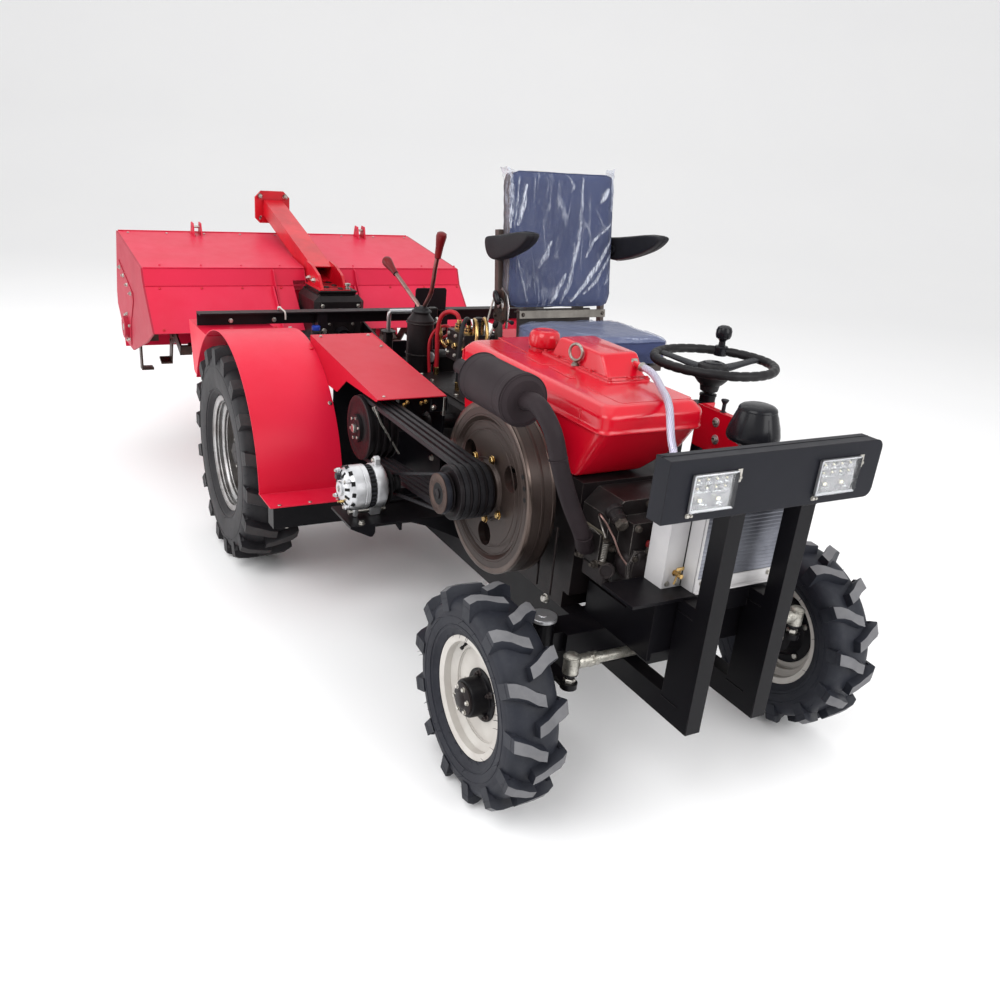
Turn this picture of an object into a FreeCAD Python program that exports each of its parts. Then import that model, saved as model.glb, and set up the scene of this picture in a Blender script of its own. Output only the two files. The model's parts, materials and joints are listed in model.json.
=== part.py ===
# Four-wheel rotary tiller: a small open tractor with a horizontal single-cylinder engine in front,
# an offset seat, and a powered rotary tiller hung on a hydraulic lift behind the rear axle.
# Units: millimetres.  +X forward, +Y to the machine's left, +Z up, Z = 0 at the ground.
# Working coordinates are measured from the ground point under the middle of the front axle;
# origin_shift_x / origin_shift_y move everything to the middle of the machine's outline.
import FreeCAD, Part
import os
import math

V = FreeCAD.Vector
doc = FreeCAD.newDocument("four_wheel_rotary_tiller")
sheet = doc.addObject("Spreadsheet::Sheet", "Dims")


# ---------------------------------------------------------------- driving dimensions
class Q(object):
    """A number together with the spreadsheet expression that gives it."""

    def __init__(self, v, t):
        self.v = float(v)
        self.t = t

    def _op(self, other, sign, swap=False):
        ov = other.v if isinstance(other, Q) else float(other)
        ot = other.t if isinstance(other, Q) else repr(float(other))
        a, b = (ov, self.v) if swap else (self.v, ov)
        ta, tb = (ot, self.t) if swap else (self.t, ot)
        r = {"+": lambda: a + b, "-": lambda: a - b, "*": lambda: a * b, "/": lambda: a / b}[sign]()
        return Q(r, "(%s %s %s)" % (ta, sign, tb))

    def __add__(self, o): return self._op(o, "+")
    def __radd__(self, o): return self._op(o, "+", True)
    def __sub__(self, o): return self._op(o, "-")
    def __rsub__(self, o): return self._op(o, "-", True)
    def __mul__(self, o): return self._op(o, "*")
    def __rmul__(self, o): return self._op(o, "*", True)
    def __truediv__(self, o): return self._op(o, "/")
    def __neg__(self): return self._op(-1.0, "*")
    def __float__(self): return self.v


DIMS = [
    ("origin_shift_x", 1558.5), ("origin_shift_y", 57.25),
    # running gear
    ("rear_axle_x", -1700.0), ("front_half_track", 530.0), ("rear_half_track", 706.0),
    ("front_tyre_radius", 296.0), ("front_tyre_width", 140.0), ("front_flange_radius", 166.0), ("front_rim_width", 104.0),
    ("rear_tyre_radius", 414.0), ("rear_tyre_width", 205.0), ("rear_flange_radius", 221.0), ("rear_rim_width", 146.0),
    ("kingpin_half_span", 380.0), ("kingpin_radius", 16.0), ("steering_arm_length", 150.0), ("spindle_radius", 17.0),
    ("running_gap", 0.3),
    # frame
    ("rail_inner", 190.0), ("rail_outer", 250.0), ("rail_bottom", 330.0), ("rail_top", 450.0),
    ("rail_front", -50.0), ("rail_rear", -1950.0), ("tray_top", 640.0), ("beam_bottom", 350.0), ("beam_top", 460.0),
    ("sheet_thickness", 3.0), ("deck_height", 890.0),
    ("fender_inner", 500.0), ("fender_outer", 800.0), ("fender_radius", 490.0), ("fender_centre_x", -1660.0), ("fender_centre_z", 400.0),
    # engine
    ("crank_x", -336.0), ("crank_z", 733.0), ("flywheel_radius", 240.0), ("flywheel_outer", -395.0), ("flywheel_depth", 80.0),
    ("pulley_radius", 76.0), ("pulley_inner", -405.0), ("pulley_outer", -505.0),
    ("clutch_x", -1020.0), ("clutch_z", 706.0), ("clutch_radius", 106.0), ("belt_thickness", 13.0),
    ("alternator_x", -670.0), ("alternator_z", 640.0), ("alternator_radius", 68.0),
    ("tank_rear", -800.0), ("tank_front", -12.0), ("tank_right", -262.0), ("tank_left", 62.0), ("tank_bottom", 830.0), ("tank_top", 1042.0),
    # front end
    ("bumper_face", 350.0), ("bumper_right", -346.0), ("bumper_left", 292.0), ("bumper_bottom", 895.0), ("bumper_top", 1040.0),
    ("post_right", -147.0), ("post_left", 71.0), ("post_width", 46.0), ("post_depth", 50.0), ("post_bottom", 295.0),
    # steering wheel and seat
    ("wheel_x", -360.0), ("wheel_y", 370.0), ("wheel_z", 1050.0), ("wheel_radius", 178.0), ("wheel_grip", 14.0),
    ("seat_right", 108.0), ("seat_left", 535.0), ("seat_top", 1020.0),
    # tiller
    ("hood_right", -900.0), ("hood_left", 670.0), ("hood_sheet", 4.0), ("end_plate", 8.0),
    ("rotor_x", -3165.0), ("rotor_z", 600.0), ("rotor_radius", 235.0), ("rotor_tube", 38.0),
    ("lift_x", -2080.0), ("lift_z", 660.0), ("lift_pin", 15.0),
    ("cyl_base_x", -2000.0), ("cyl_base_z", 440.0), ("cyl_eye_x", -2420.0), ("cyl_eye_z", 560.0),
]
D = {}
for _row, (_alias, _val) in enumerate(DIMS, start=1):
    sheet.set("A%d" % _row, _alias)
    sheet.set("B%d" % _row, repr(_val))
    sheet.setAlias("B%d" % _row, _alias)
    D[_alias] = Q(_val, "Dims.%s" % _alias)
doc.recompute()
SX, SY = D["origin_shift_x"], D["origin_shift_y"]


def num(a):
    return a.v if isinstance(a, Q) else float(a)


def bind(obj, prop, a):
    if isinstance(a, Q):
        obj.setExpression(prop, a.t)
    return num(a)


COUNT = [0]


def uid(stem):
    COUNT[0] += 1
    return "%s_%03d" % (stem, COUNT[0])


def place(obj, base, rot=None, shift=True):
    """Put an object at base (working coordinates); the outline shift is added by expression."""
    x, y, z = base
    if shift:
        x, y = x + SX, y + SY
    obj.Placement = FreeCAD.Placement(V(num(x), num(y), num(z)), rot if rot is not None else FreeCAD.Rotation())
    for prop, a in ((".Placement.Base.x", x), (".Placement.Base.y", y), (".Placement.Base.z", z)):
        if isinstance(a, Q):
            obj.setExpression(prop, a.t)
    return obj


# ---------------------------------------------------------------- shape helpers
def box(x0, x1, y0, y1, z0, z1):
    o = doc.addObject("Part::Box", uid("box"))
    for prop, lo, hi in (("Length", x0, x1), ("Width", y0, y1), ("Height", z0, z1)):
        size = hi - lo if (isinstance(hi, Q) or isinstance(lo, Q)) else float(hi) - float(lo)
        setattr(o, prop, num(size))
        bind(o, prop, size)
    return place(o, (x0, y0, z0))


AXES = {"x": FreeCAD.Rotation(V(0, 1, 0), 90), "y": FreeCAD.Rotation(V(1, 0, 0), -90), "z": FreeCAD.Rotation(),
        "-x": FreeCAD.Rotation(V(0, 1, 0), -90), "-y": FreeCAD.Rotation(V(1, 0, 0), 90), "-z": FreeCAD.Rotation(V(1, 0, 0), 180)}


def cyl(base, axis, r, length):
    o = doc.addObject("Part::Cylinder", uid("cyl"))
    o.Radius, o.Height = num(r), num(length)
    bind(o, "Radius", r)
    bind(o, "Height", length)
    return place(o, base, AXES[axis] if isinstance(axis, str) else axis)


def cone(base, axis, r1, r2, length):
    o = doc.addObject("Part::Cone", uid("cone"))
    o.Radius1, o.Radius2, o.Height = num(r1), num(r2), num(length)
    bind(o, "Radius1", r1)
    bind(o, "Radius2", r2)
    bind(o, "Height", length)
    return place(o, base, AXES[axis] if isinstance(axis, str) else axis)


def ball(centre, r):
    o = doc.addObject("Part::Sphere", uid("ball"))
    o.Radius = num(r)
    bind(o, "Radius", r)
    return place(o, centre)


def ring(centre, axis, r1, r2):
    o = doc.addObject("Part::Torus", uid("ring"))
    o.Radius1, o.Radius2 = num(r1), num(r2)
    bind(o, "Radius1", r1)
    bind(o, "Radius2", r2)
    return place(o, centre, AXES[axis])


def fuse(*objs):
    if len(objs) == 1:
        return objs[0]
    o = doc.addObject("Part::MultiFuse", uid("fuse"))
    o.Shapes = list(objs)
    o.Refine = True
    return o


def cut(base, *tools):
    tool = fuse(*tools)
    o = doc.addObject("Part::Cut", uid("cut"))
    o.Base, o.Tool = base, tool
    o.Refine = True
    return o


def chamfer_all(base, size, pick):
    """Chamfer the edges of base whose midpoint satisfies pick(point in working coordinates)."""
    doc.recompute()
    idx = []
    for i, e in enumerate(base.Shape.Edges, start=1):
        m = e.valueAt((e.FirstParameter + e.LastParameter) / 2.0)
        if pick(m.x - SX.v, m.y - SY.v, m.z, e):
            idx.append((i, num(size), num(size)))
    o = doc.addObject("Part::Chamfer", uid("chamfer"))
    o.Base = base
    o.Edges = idx
    return o


def fillet_all(base, size, pick):
    doc.recompute()
    idx = []
    for i, e in enumerate(base.Shape.Edges, start=1):
        m = e.valueAt((e.FirstParameter + e.LastParameter) / 2.0)
        if pick(m.x - SX.v, m.y - SY.v, m.z, e):
            idx.append((i, num(size), num(size)))
    o = doc.addObject("Part::Fillet", uid("fillet"))
    o.Base = base
    o.Edges = idx
    return o


def sketch(body, role, profile, name, offset=0.0):
    """A closed profile: each entry is (a, b) for a corner, or (a, b, am, bm) for a corner reached by an arc
    from the one before through (am, bm).  Every corner is dimensioned from the sketch origin."""
    plane = [f for f in body.Origin.OriginFeatures if f.Role == role][0]
    sk = body.newObject("Sketcher::SketchObject", name)
    sk.AttachmentSupport = (plane, [""])
    sk.MapMode = "FlatFace"
    sk.AttachmentOffset = FreeCAD.Placement(V(0, 0, num(offset)), FreeCAD.Rotation())
    if isinstance(offset, Q):
        sk.setExpression(".AttachmentOffset.Base.z", offset.t)
    n = len(profile)
    pts = [(num(p[0]), num(p[1])) for p in profile]
    arcs = []
    for i in range(n):
        a, b = pts[i], pts[(i + 1) % n]
        nxt = profile[(i + 1) % n]
        if len(nxt) == 4:
            m = (num(nxt[2]), num(nxt[3]))
            sk.addGeometry(Part.Arc(V(a[0], a[1], 0), V(m[0], m[1], 0), V(b[0], b[1], 0)), False)
            arcs.append(i)
        else:
            sk.addGeometry(Part.LineSegment(V(a[0], a[1], 0), V(b[0], b[1], 0)), False)

    def pos_at(g, p):
        for k in (1, 2):
            q = sk.getPoint(g, k)
            if math.hypot(q.x - p[0], q.y - p[1]) < 1e-4:
                return k
        raise RuntimeError("no such end in " + name)

    import Sketcher
    for i in range(n):
        prev = (i - 1) % n
        kp, kn = pos_at(prev, pts[i]), pos_at(i, pts[i])
        sk.addConstraint(Sketcher.Constraint("Coincident", prev, kp, i, kn))
        for kind, val, src in (("DistanceX", pts[i][0], profile[i][0]), ("DistanceY", pts[i][1], profile[i][1])):
            c = sk.addConstraint(Sketcher.Constraint(kind, -1, 1, i, kn, val))
            if isinstance(src, Q):
                sk.setExpression("Constraints[%d]" % c, src.t)
    for g in arcs:
        sk.addConstraint(Sketcher.Constraint("Radius", g, sk.Geometry[g].Radius))
    return sk


def pad_body(stem, role, profile, lo, hi):
    """Extruded profile.  role XZ_Plane: (x, z) from y = lo to hi; YZ_Plane: (y, z) along x; XY_Plane: (x, y) along z."""
    body = doc.addObject("PartDesign::Body", uid(stem))
    if role == "XZ_Plane":
        off = -hi
    else:
        off = lo
    sk = sketch(body, role, profile, uid(stem + "_sketch"), off)
    pad = body.newObject("PartDesign::Pad", uid(stem + "_pad"))
    pad.Profile = sk
    length = hi - lo
    pad.Length = num(length)
    bind(pad, "Length", length)
    body.Tip = pad
    sk.Visibility = False
    return place(body, (0.0, 0.0, 0.0))


def turned_body(stem, profile, centre):
    """Body of revolution about the Y axis.  profile is (radius, y) measured from centre."""
    body = doc.addObject("PartDesign::Body", uid(stem))
    sk = sketch(body, "XY_Plane", profile, uid(stem + "_section"))
    rev = body.newObject("PartDesign::Revolution", uid(stem + "_turn"))
    rev.Profile = sk
    axis = [f for f in body.Origin.OriginFeatures if f.Role == "Y_Axis"][0]
    rev.ReferenceAxis = (axis, [""])
    rev.Angle = 360.0
    body.Tip = rev
    sk.Visibility = False
    return place(body, centre)


def raw(shape, stem):
    """Shape worked out with Part's own functions in working coordinates."""
    o = doc.addObject("Part::Feature", uid(stem))
    o.Shape = shape
    return place(o, (0.0, 0.0, 0.0))


def rod_shape(points, r):
    """Round bar or tube along straight runs joined by tangent arcs as large as the runs allow."""
    pts = [V(*[num(c) for c in p]) for p in points]
    edges, start = [], pts[0]
    for i in range(1, len(pts) - 1):
        a, b, c = pts[i - 1], pts[i], pts[i + 1]
        u, w = (a - b), (c - b)
        lu, lw = u.Length, w.Length
        u.normalize()
        w.normalize()
        turn = math.pi - math.acos(max(-1.0, min(1.0, u.dot(w))))
        if turn < 1e-3:
            continue
        tl = 0.45 * min(lu, lw)
        t1, t2 = b + u * tl, b + w * tl
        bis = u + w
        bis.normalize()
        rad = tl / math.tan(turn / 2.0)
        dist = math.hypot(tl, rad)
        mid = b + bis * (dist - rad)
        if (t1 - start).Length > 1e-6:
            edges.append(Part.LineSegment(start, t1).toShape())
        edges.append(Part.Arc(t1, mid, t2).toShape())
        start = t2
    edges.append(Part.LineSegment(start, pts[-1]).toShape())
    wire = Part.Wire(edges)
    d = pts[1] - pts[0]
    circle = Part.Wire([Part.Circle(pts[0], d, num(r)).toShape()])
    pipe = wire.makePipeShell([circle], True, True)
    return pipe


def slab_shape(pts, normal_axis, lo, hi):
    """Extruded polygon; normal_axis y: pts are (x, z); z: pts are (x, y); x: pts are (y, z)."""
    def p3(p):
        a, b = num(p[0]), num(p[1])
        return {"y": V(a, num(lo), b), "z": V(a, b, num(lo)), "x": V(num(lo), a, b)}[normal_axis]
    ring_pts = [p3(p) for p in pts]
    face = Part.Face(Part.makePolygon(ring_pts + [ring_pts[0]]))
    d = {"y": V(0, 1, 0), "z": V(0, 0, 1), "x": V(1, 0, 0)}[normal_axis] * (num(hi) - num(lo))
    return face.extrude(d)


def loop_shape(c1, r1, c2, r2, y0, y1, t):
    """Open-belt loop of thickness t around two discs whose centres are (x, z)."""
    def outline(ra, rb):
        ax, az, bx, bz = num(c1[0]), num(c1[1]), num(c2[0]), num(c2[1])
        d = math.hypot(bx - ax, bz - az)
        ux, uz = (bx - ax) / d, (bz - az) / d
        s = (ra - rb) / d
        c = math.sqrt(1.0 - s * s)
        n1 = (ux * s - uz * c, uz * s + ux * c)
        n2 = (ux * s + uz * c, uz * s - ux * c)
        y = num(y0)
        P = lambda x, z: V(x, y, z)
        a1, a2 = P(ax + ra * n1[0], az + ra * n1[1]), P(ax + ra * n2[0], az + ra * n2[1])
        b1, b2 = P(bx + rb * n1[0], bz + rb * n1[1]), P(bx + rb * n2[0], bz + rb * n2[1])
        am, bm = P(ax - ra * ux, az - ra * uz), P(bx + rb * ux, bz + rb * uz)
        w = Part.Wire([Part.LineSegment(a1, b1).toShape(), Part.Arc(b1, bm, b2).toShape(),
                       Part.LineSegment(b2, a2).toShape(), Part.Arc(a2, am, a1).toShape()])
        return Part.Face(w).extrude(V(0, num(y1) - num(y0), 0))
    g = num(t)
    return outline(num(r1) + g, num(r2) + g).cut(outline(num(r1), num(r2)))


NODES = []


def node(name, obj):
    obj.Label = name
    NODES.append((name, obj))
    return obj


# =============================================================== running gear
def tyre_profile(R, W, flange_r, half_w):
    """Rounded tyre section as (radius, y); the bead sits between the rim flanges and wraps over their edges."""
    h = W / 2.0
    bead_r = flange_r - 13.6
    return [
        (bead_r, -(half_w - 8.6)),
        (flange_r + 0.4, -(half_w - 2.6)),
        (flange_r + 0.4, -(half_w + 3.4)),
        (flange_r + 14.0, -(h - 4.0)),
        (R - 36.0, -h, (R + bead_r) / 2.0 + 6.0, -(h + 3.0)),
        (R - 6.0, -(h - 24.0), R - 16.0, -(h - 8.0)),
        (R - 6.0, h - 24.0, R, 0.0),
        (R - 36.0, h, R - 16.0, h - 8.0),
        (flange_r + 14.0, h - 4.0, (R + bead_r) / 2.0 + 6.0, h + 3.0),
        (flange_r + 0.4, half_w + 3.4),
        (flange_r + 0.4, half_w - 2.6),
        (bead_r, half_w - 8.6),
    ]


def rim_profile(flange_r, half_w, disc_y, disc_in, hub_r, bore_r, hub_lo, hub_hi, sgn):
    """Dropped-centre rim with a dished disc and a hub, one turned piece, as (radius, y).
    sgn is +1 when the outer face of the wheel is towards +Y."""
    t = 4.0
    seat = flange_r - 14.0
    well = flange_r - 34.0
    pts = [
        (seat, -(half_w - 8.0)), (flange_r, -(half_w - 2.0)), (flange_r, -half_w - 3.0),
        (seat - t, -half_w + 2.0), (seat - t, -(half_w - 22.0)), (well - t, -(half_w - 34.0)),
        (well - t, disc_y - 5.0),
        (disc_in, disc_y - 5.0),
        (hub_r, disc_y - 5.0),
        (hub_r, hub_lo), (bore_r, hub_lo), (bore_r, hub_hi), (hub_r, hub_hi),
        (hub_r, disc_y + 5.0), (disc_in, disc_y + 5.0), (well - t, disc_y + 5.0),
        (well - t, half_w - 34.0), (seat - t, half_w - 22.0), (seat - t, half_w - 2.0),
        (flange_r, half_w + 3.0), (flange_r, half_w - 2.0), (seat, half_w - 8.0),
        (seat, half_w - 20.0), (well, half_w - 32.0), (well, -(half_w - 32.0)), (seat, -(half_w - 20.0)),
    ]
    clean = []
    for r, y in pts:
        y = y * sgn if isinstance(y, Q) else float(y) * sgn
        if clean and abs(num(clean[-1][0]) - num(r)) < 1e-6 and abs(num(clean[-1][1]) - num(y)) < 1e-6:
            continue
        clean.append((r, y))
    return clean


FR, RR = D["front_flange_radius"], D["rear_flange_radius"]
for side, s in (("right", -1.0), ("left", 1.0)):
    # front wheel
    c = (0.0, D["front_half_track"] * s, D["front_tyre_radius"])
    node("front_tyre_" + side, turned_body("front_tyre", tyre_profile(D["front_tyre_radius"], D["front_tyre_width"], FR, D["front_rim_width"] / 2.0), c))
    hw = D["front_rim_width"] / 2.0
    node("front_rim_" + side, turned_body("front_rim", rim_profile(FR, hw, 6.0, 70.0, 44.0, D["spindle_radius"] + D["running_gap"], -72.0, 40.0, s), c))
    # rear wheel
    c = (D["rear_axle_x"], D["rear_half_track"] * s, D["rear_tyre_radius"])
    node("rear_tyre_" + side, turned_body("rear_tyre", tyre_profile(D["rear_tyre_radius"], D["rear_tyre_width"], RR, D["rear_rim_width"] / 2.0), c))
    hw = D["rear_rim_width"] / 2.0
    node("rear_rim_" + side, turned_body("rear_rim", rim_profile(RR, hw, -18.0, 100.0, 62.0, 30.3, -142.0, 30.0, s), c))

# =============================================================== front axle, knuckles, steering linkage
kp = D["kingpin_half_span"]
beam_parts = [box(-50.0, 50.0, -(kp - 50.0), kp - 50.0, D["beam_bottom"], D["beam_top"])]
for s in (-1.0, 1.0):
    ys = sorted([(kp - 50.0) * s, (kp - 20.0) * s], key=num)
    beam_parts.append(box(-30.0, 30.0, ys[0], ys[1], 402.0, D["beam_top"]))
    beam_parts.append(cyl((0.0, kp * s, 402.0), "z", 34.0, 88.0))
beam = fuse(*beam_parts)
holes = [cyl((0.0, kp * s, 390.0), "z", D["kingpin_radius"] + D["running_gap"], 120.0) for s in (-1.0, 1.0)]
node("front_axle_beam", cut(beam, *holes))

AL = D["steering_arm_length"]
for side, s in (("right", -1.0), ("left", 1.0)):
    ky = kp * s
    pin = cyl((0.0, ky, 385.0), "z", D["kingpin_radius"], 112.0)
    disc = cyl((0.0, ky, 493.0), "z", 38.0, 10.0)
    post = cyl((0.0, ky, 262.0), "z", 29.0, 136.0)
    yl, yh = sorted([ky, ky + s * 46.0], key=num)
    block = box(-26.0, 26.0, yl, yh, 268.0, 324.0)
    spin = cyl((0.0, ky, D["front_tyre_radius"]), "y" if s > 0 else "-y", D["spindle_radius"], 190.0)
    arm = box(0.0, AL, ky - 17.0, ky + 17.0, 374.0, 390.0)
    arm_end = cyl((AL, ky, 374.0), "z", 22.0, 16.0)
    stud = cyl((AL, ky, 390.0), "z", 9.0, 24.0)
    node("steering_knuckle_" + side, fuse(pin, disc, post, block, spin, arm, arm_end, stud))

# tie rod: ball housings sit over the studs of both steering arms with clearance for the studs
rod = cyl((AL, -(kp - 30.0), 445.0), "y", 14.0, kp * 2.0 - 60.0)
ends = []
for s in (-1.0, 1.0):
    ends.append(cyl((AL, kp * s, 418.0), "z", 21.0, 46.0))
    ends.append(cyl((AL, (kp - 75.0) * s if s > 0 else -(kp - 15.0), 445.0), "y", 18.0, 60.0))
node("tie_rod", fuse(rod, *ends))

# =============================================================== frame
ri, ro, rb, rt = D["rail_inner"], D["rail_outer"], D["rail_bottom"], D["rail_top"]
rails = [box(D["rail_rear"], D["rail_front"], -ro, -ri, rb, rt), box(D["rail_rear"], D["rail_front"], ri, ro, rb, rt)]
rails += [box(D["rail_front"] - 60.0, D["rail_front"], -ri, ri, rb + 10.0, rt - 10.0),
          box(-800.0, -740.0, -ri, ri, rb + 10.0, rt - 10.0),
          box(-1340.0, -1280.0, -ri, ri, rb + 10.0, rt - 10.0)]

front = [box(-50.0, 230.0, -212.0, -200.0, D["beam_top"], 556.0), box(-50.0, 230.0, 200.0, 212.0, D["beam_top"], 556.0),
         box(122.0, 230.0, -212.0, -200.0, 550.0, D["tray_top"] - 4.0), box(122.0, 230.0, 200.0, 212.0, 550.0, D["tray_top"] - 4.0),
         box(120.0, 252.0, -300.0, 215.0, D["tray_top"] - 8.0, D["tray_top"]),
         box(222.0, 230.0, -212.0, 212.0, D["beam_top"] + 20.0, D["tray_top"] - 8.0),
         box(-50.0, -42.0, -212.0, 212.0, D["beam_top"], D["beam_top"] + 90.0),
         box(-50.0, 100.0, -212.0, 212.0, 548.0, 556.0)]
front += [box(-50.0, -20.0, -212.0, 212.0, D["beam_top"], D["beam_top"] + 8.0)]
node("chassis_frame", fuse(*(rails + front)))

# =============================================================== bumper
bf, pt = D["bumper_face"], 3.0
corner = []
bl_, bb_, bt_, br_ = D["bumper_left"].v, D["bumper_bottom"].v, D["bumper_top"].v, 22.0
for k in range(5):
    a = math.radians(-90.0 + 22.5 * k)
    corner.append((bl_ - br_ + br_ * math.cos(a), bb_ + br_ + br_ * math.sin(a)))
for k in range(5):
    a = math.radians(22.5 * k)
    corner.append((bl_ - br_ + br_ * math.cos(a), bt_ - br_ + br_ * math.sin(a)))
panel = [raw(slab_shape([(D["bumper_right"], bb_)] + corner + [(D["bumper_right"], bt_)], "x", bf - pt, bf), "face"),
         box(bf - 50.0, bf - 1.0, D["bumper_right"], D["bumper_left"] - 22.0, D["bumper_top"] - pt, D["bumper_top"]),
         box(bf - 50.0, bf - 1.0, D["bumper_right"], D["bumper_right"] + pt, D["bumper_bottom"], D["bumper_top"]),
         box(bf - 50.0, bf - 1.0, D["bumper_left"] - 26.0, D["bumper_left"] - 22.0, D["bumper_bottom"], D["bumper_top"])]
node("bumper_panel", fuse(*panel))
lamps = []
for y0, y1 in ((-281.0, -157.0), (92.0, 220.0)):
    lamps.append(fillet_all(box(bf, bf + 12.0, y0, y1, 918.0, 1006.0), 8.0, lambda x, y, z, e: abs(e.Vertexes[0].Point.x - e.Vertexes[-1].Point.x) > 5.0))
node("work_lamps", fuse(*lamps))
pw, pd, pb = D["post_width"], D["post_depth"], D["post_bottom"]
posts = []
for y0 in (D["post_right"], D["post_left"]):
    posts.append(box(bf - pt - pd, bf - pt, y0, y0 + pw, 600.0, 1030.0))
    posts.append(box(bf - pt - 112.0, bf - pt, y0, y0 + pw, pb, D["tray_top"] - 8.0))
    posts.append(box(-48.0, bf - pt, y0, y0 + pw, pb, D["beam_bottom"]))
    posts.append(box(50.0, bf - pt - 100.0, y0, y0 + pw, D["beam_bottom"], D["beam_bottom"] + 12.0))
posts.append(box(bf - pt - 112.0, bf - pt - 100.0, D["post_right"], D["post_left"] + pw, D["tray_top"] - 60.0, D["tray_top"] - 8.0))
posts.append(box(10.0, 40.0, D["post_right"], D["post_left"] + pw, pb + 10.0, D["beam_bottom"]))
node("bumper_posts", fuse(*posts))

# =============================================================== radiator
rad = [box(178.0, 238.0, -112.0, 190.0, D["tray_top"], 925.0), box(125.0, 194.0, -174.0, -112.0, D["tray_top"], 915.0),
       box(150.0, 178.0, -112.0, 150.0, D["tray_top"] + 30.0, 900.0), box(185.0, 232.0, -104.0, 182.0, 925.0, 950.0), cyl((208.0, 60.0, 950.0), "z", 22.0, 22.0),
       cyl((138.0, -156.0, 915.0), "z", 12.0, 26.0)]
node("radiator", fuse(*rad))

# =============================================================== engine
cx, cz = D["crank_x"], D["crank_z"]
block = pad_body("engine_block", "XZ_Plane", [(-750.0, 500.0), (-80.0, 500.0), (-80.0, 826.0), (-640.0, 826.0), (-750.0, 740.0)], -ro, 96.0)
base_flange = box(-700.0, -110.0, -ro, ro, rt, 500.0)
gear_cover = cyl((cx, 96.0, cz - 20.0), "y", 150.0, 34.0)
bearing_boss = cyl((cx, -296.0, cz), "y", 70.0, 46.0)
bore = cyl((cx, -310.0, cz), "y", 35.3, 70.0)
node("engine_block", cut(fuse(block, base_flange, gear_cover, bearing_boss), bore))
head = [raw(slab_shape([(-240.0, 645.0), (-196.0, 600.0), (-196.0, 560.0), (80.0, 560.0), (80.0, 815.0), (-200.0, 815.0), (-240.0, 775.0)], "x", -80.0, 36.0), "head"),
        box(36.0, 92.0, -205.0, 52.0, 585.0, 775.0), fillet_all(box(92.0, 112.0, -190.0, -60.0, 600.0, 700.0), 6.0, lambda x, y, z, e: True),
        box(-60.0, 24.0, -250.0, -240.0, 632.0, 722.0), cyl((46.0, 52.0, 740.0), "y", 26.0, 60.0)]
node("cylinder_head", fuse(*head))

fo, fd = D["flywheel_outer"], D["flywheel_depth"]
fr = D["flywheel_radius"]
fw = turned_body("flywheel", [(30.0, 46.0), (64.0, 46.0), (64.0, 30.0), (fr - 46.0, 30.0), (fr - 46.0, fd), (fr, fd), (fr, 6.0), (fr - 8.0, 0.0),
                              (fr - 40.0, 0.0), (fr - 52.0, 10.0), (80.0, 10.0), (72.0, 0.0), (30.0, 0.0)], (cx, fo, cz))
shaft = cyl((cx, fo - 30.0, cz), "y", 34.8, 180.0)
slots = []
for k in range(3):
    a = math.radians(30.0 + 120.0 * k)
    slots.append(cyl((cx + 135.0 * math.cos(a), fo - 20.0, cz + 135.0 * math.sin(a)), "y", 36.0, 80.0))
node("flywheel", fuse(cut(fw, *slots), shaft))
pr, pi_, po = D["pulley_radius"], D["pulley_inner"], D["pulley_outer"]
pul_profile = [(34.9, 0.0), (34.9, 100.0), (60.0, 100.0), (pr, 100.0)]
y = 100.0
for k in range(4):
    y -= 4.0
    pul_profile += [(pr, y), (pr - 12.0, y - 1.5), (pr - 12.0, y - 15.5), (pr, y - 17.0)]
    y -= 17.0
    if k < 3:
        y -= 2.0
pul_profile += [(pr, 6.0), (pr, 0.0)]
crank_pulley = turned_body("crank_pulley", pul_profile, (cx, po, cz))
nose = turned_body("generator_pulley", [(10.0, -1.0), (10.0, -34.0), (56.0, -34.0), (56.0, -31.0), (48.0, -28.0), (48.0, -14.0), (56.0, -11.0), (56.0, -9.0), (30.0, -9.0), (30.0, 8.0), (34.0, 8.0), (34.0, -1.0)], (cx, po, cz))
node("crank_pulley", fuse(crank_pulley, cyl((cx, po - 30.0, cz), "y", 36.0, 40.0), nose))

# drive belts: four V-belts side by side, riding just above the groove bottoms
bt = D["belt_thickness"]
belts = []
for k in range(4):
    y1 = po.v + 100.0 - 4.0 - 2.2 - 23.0 * k
    y0 = y1 - 12.6
    belts.append(loop_shape((cx, cz), pr.v - 11.0, (D["clutch_x"], D["clutch_z"]), D["clutch_radius"].v - 11.0, y0, y1, bt))
cl_profile = [(22.0, 0.0), (22.0, 100.0)] + [(D["clutch_radius"], q[1]) if abs(num(q[0]) - pr.v) < 1e-6 else ((D["clutch_radius"] - 12.0, q[1]) if abs(num(q[0]) - (pr.v - 12.0)) < 1e-6 else (60.0, q[1])) for q in pul_profile[2:]]
clutch = turned_body("clutch_pulley", cl_profile, (D["clutch_x"], po, D["clutch_z"]))
node("clutch_pulley", fuse(clutch, cyl((D["clutch_x"], po - 14.0, D["clutch_z"]), "y", 46.0, 18.0), cyl((D["clutch_x"], po - 14.0, D["clutch_z"]), "y", 24.0, 364.0)))

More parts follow.
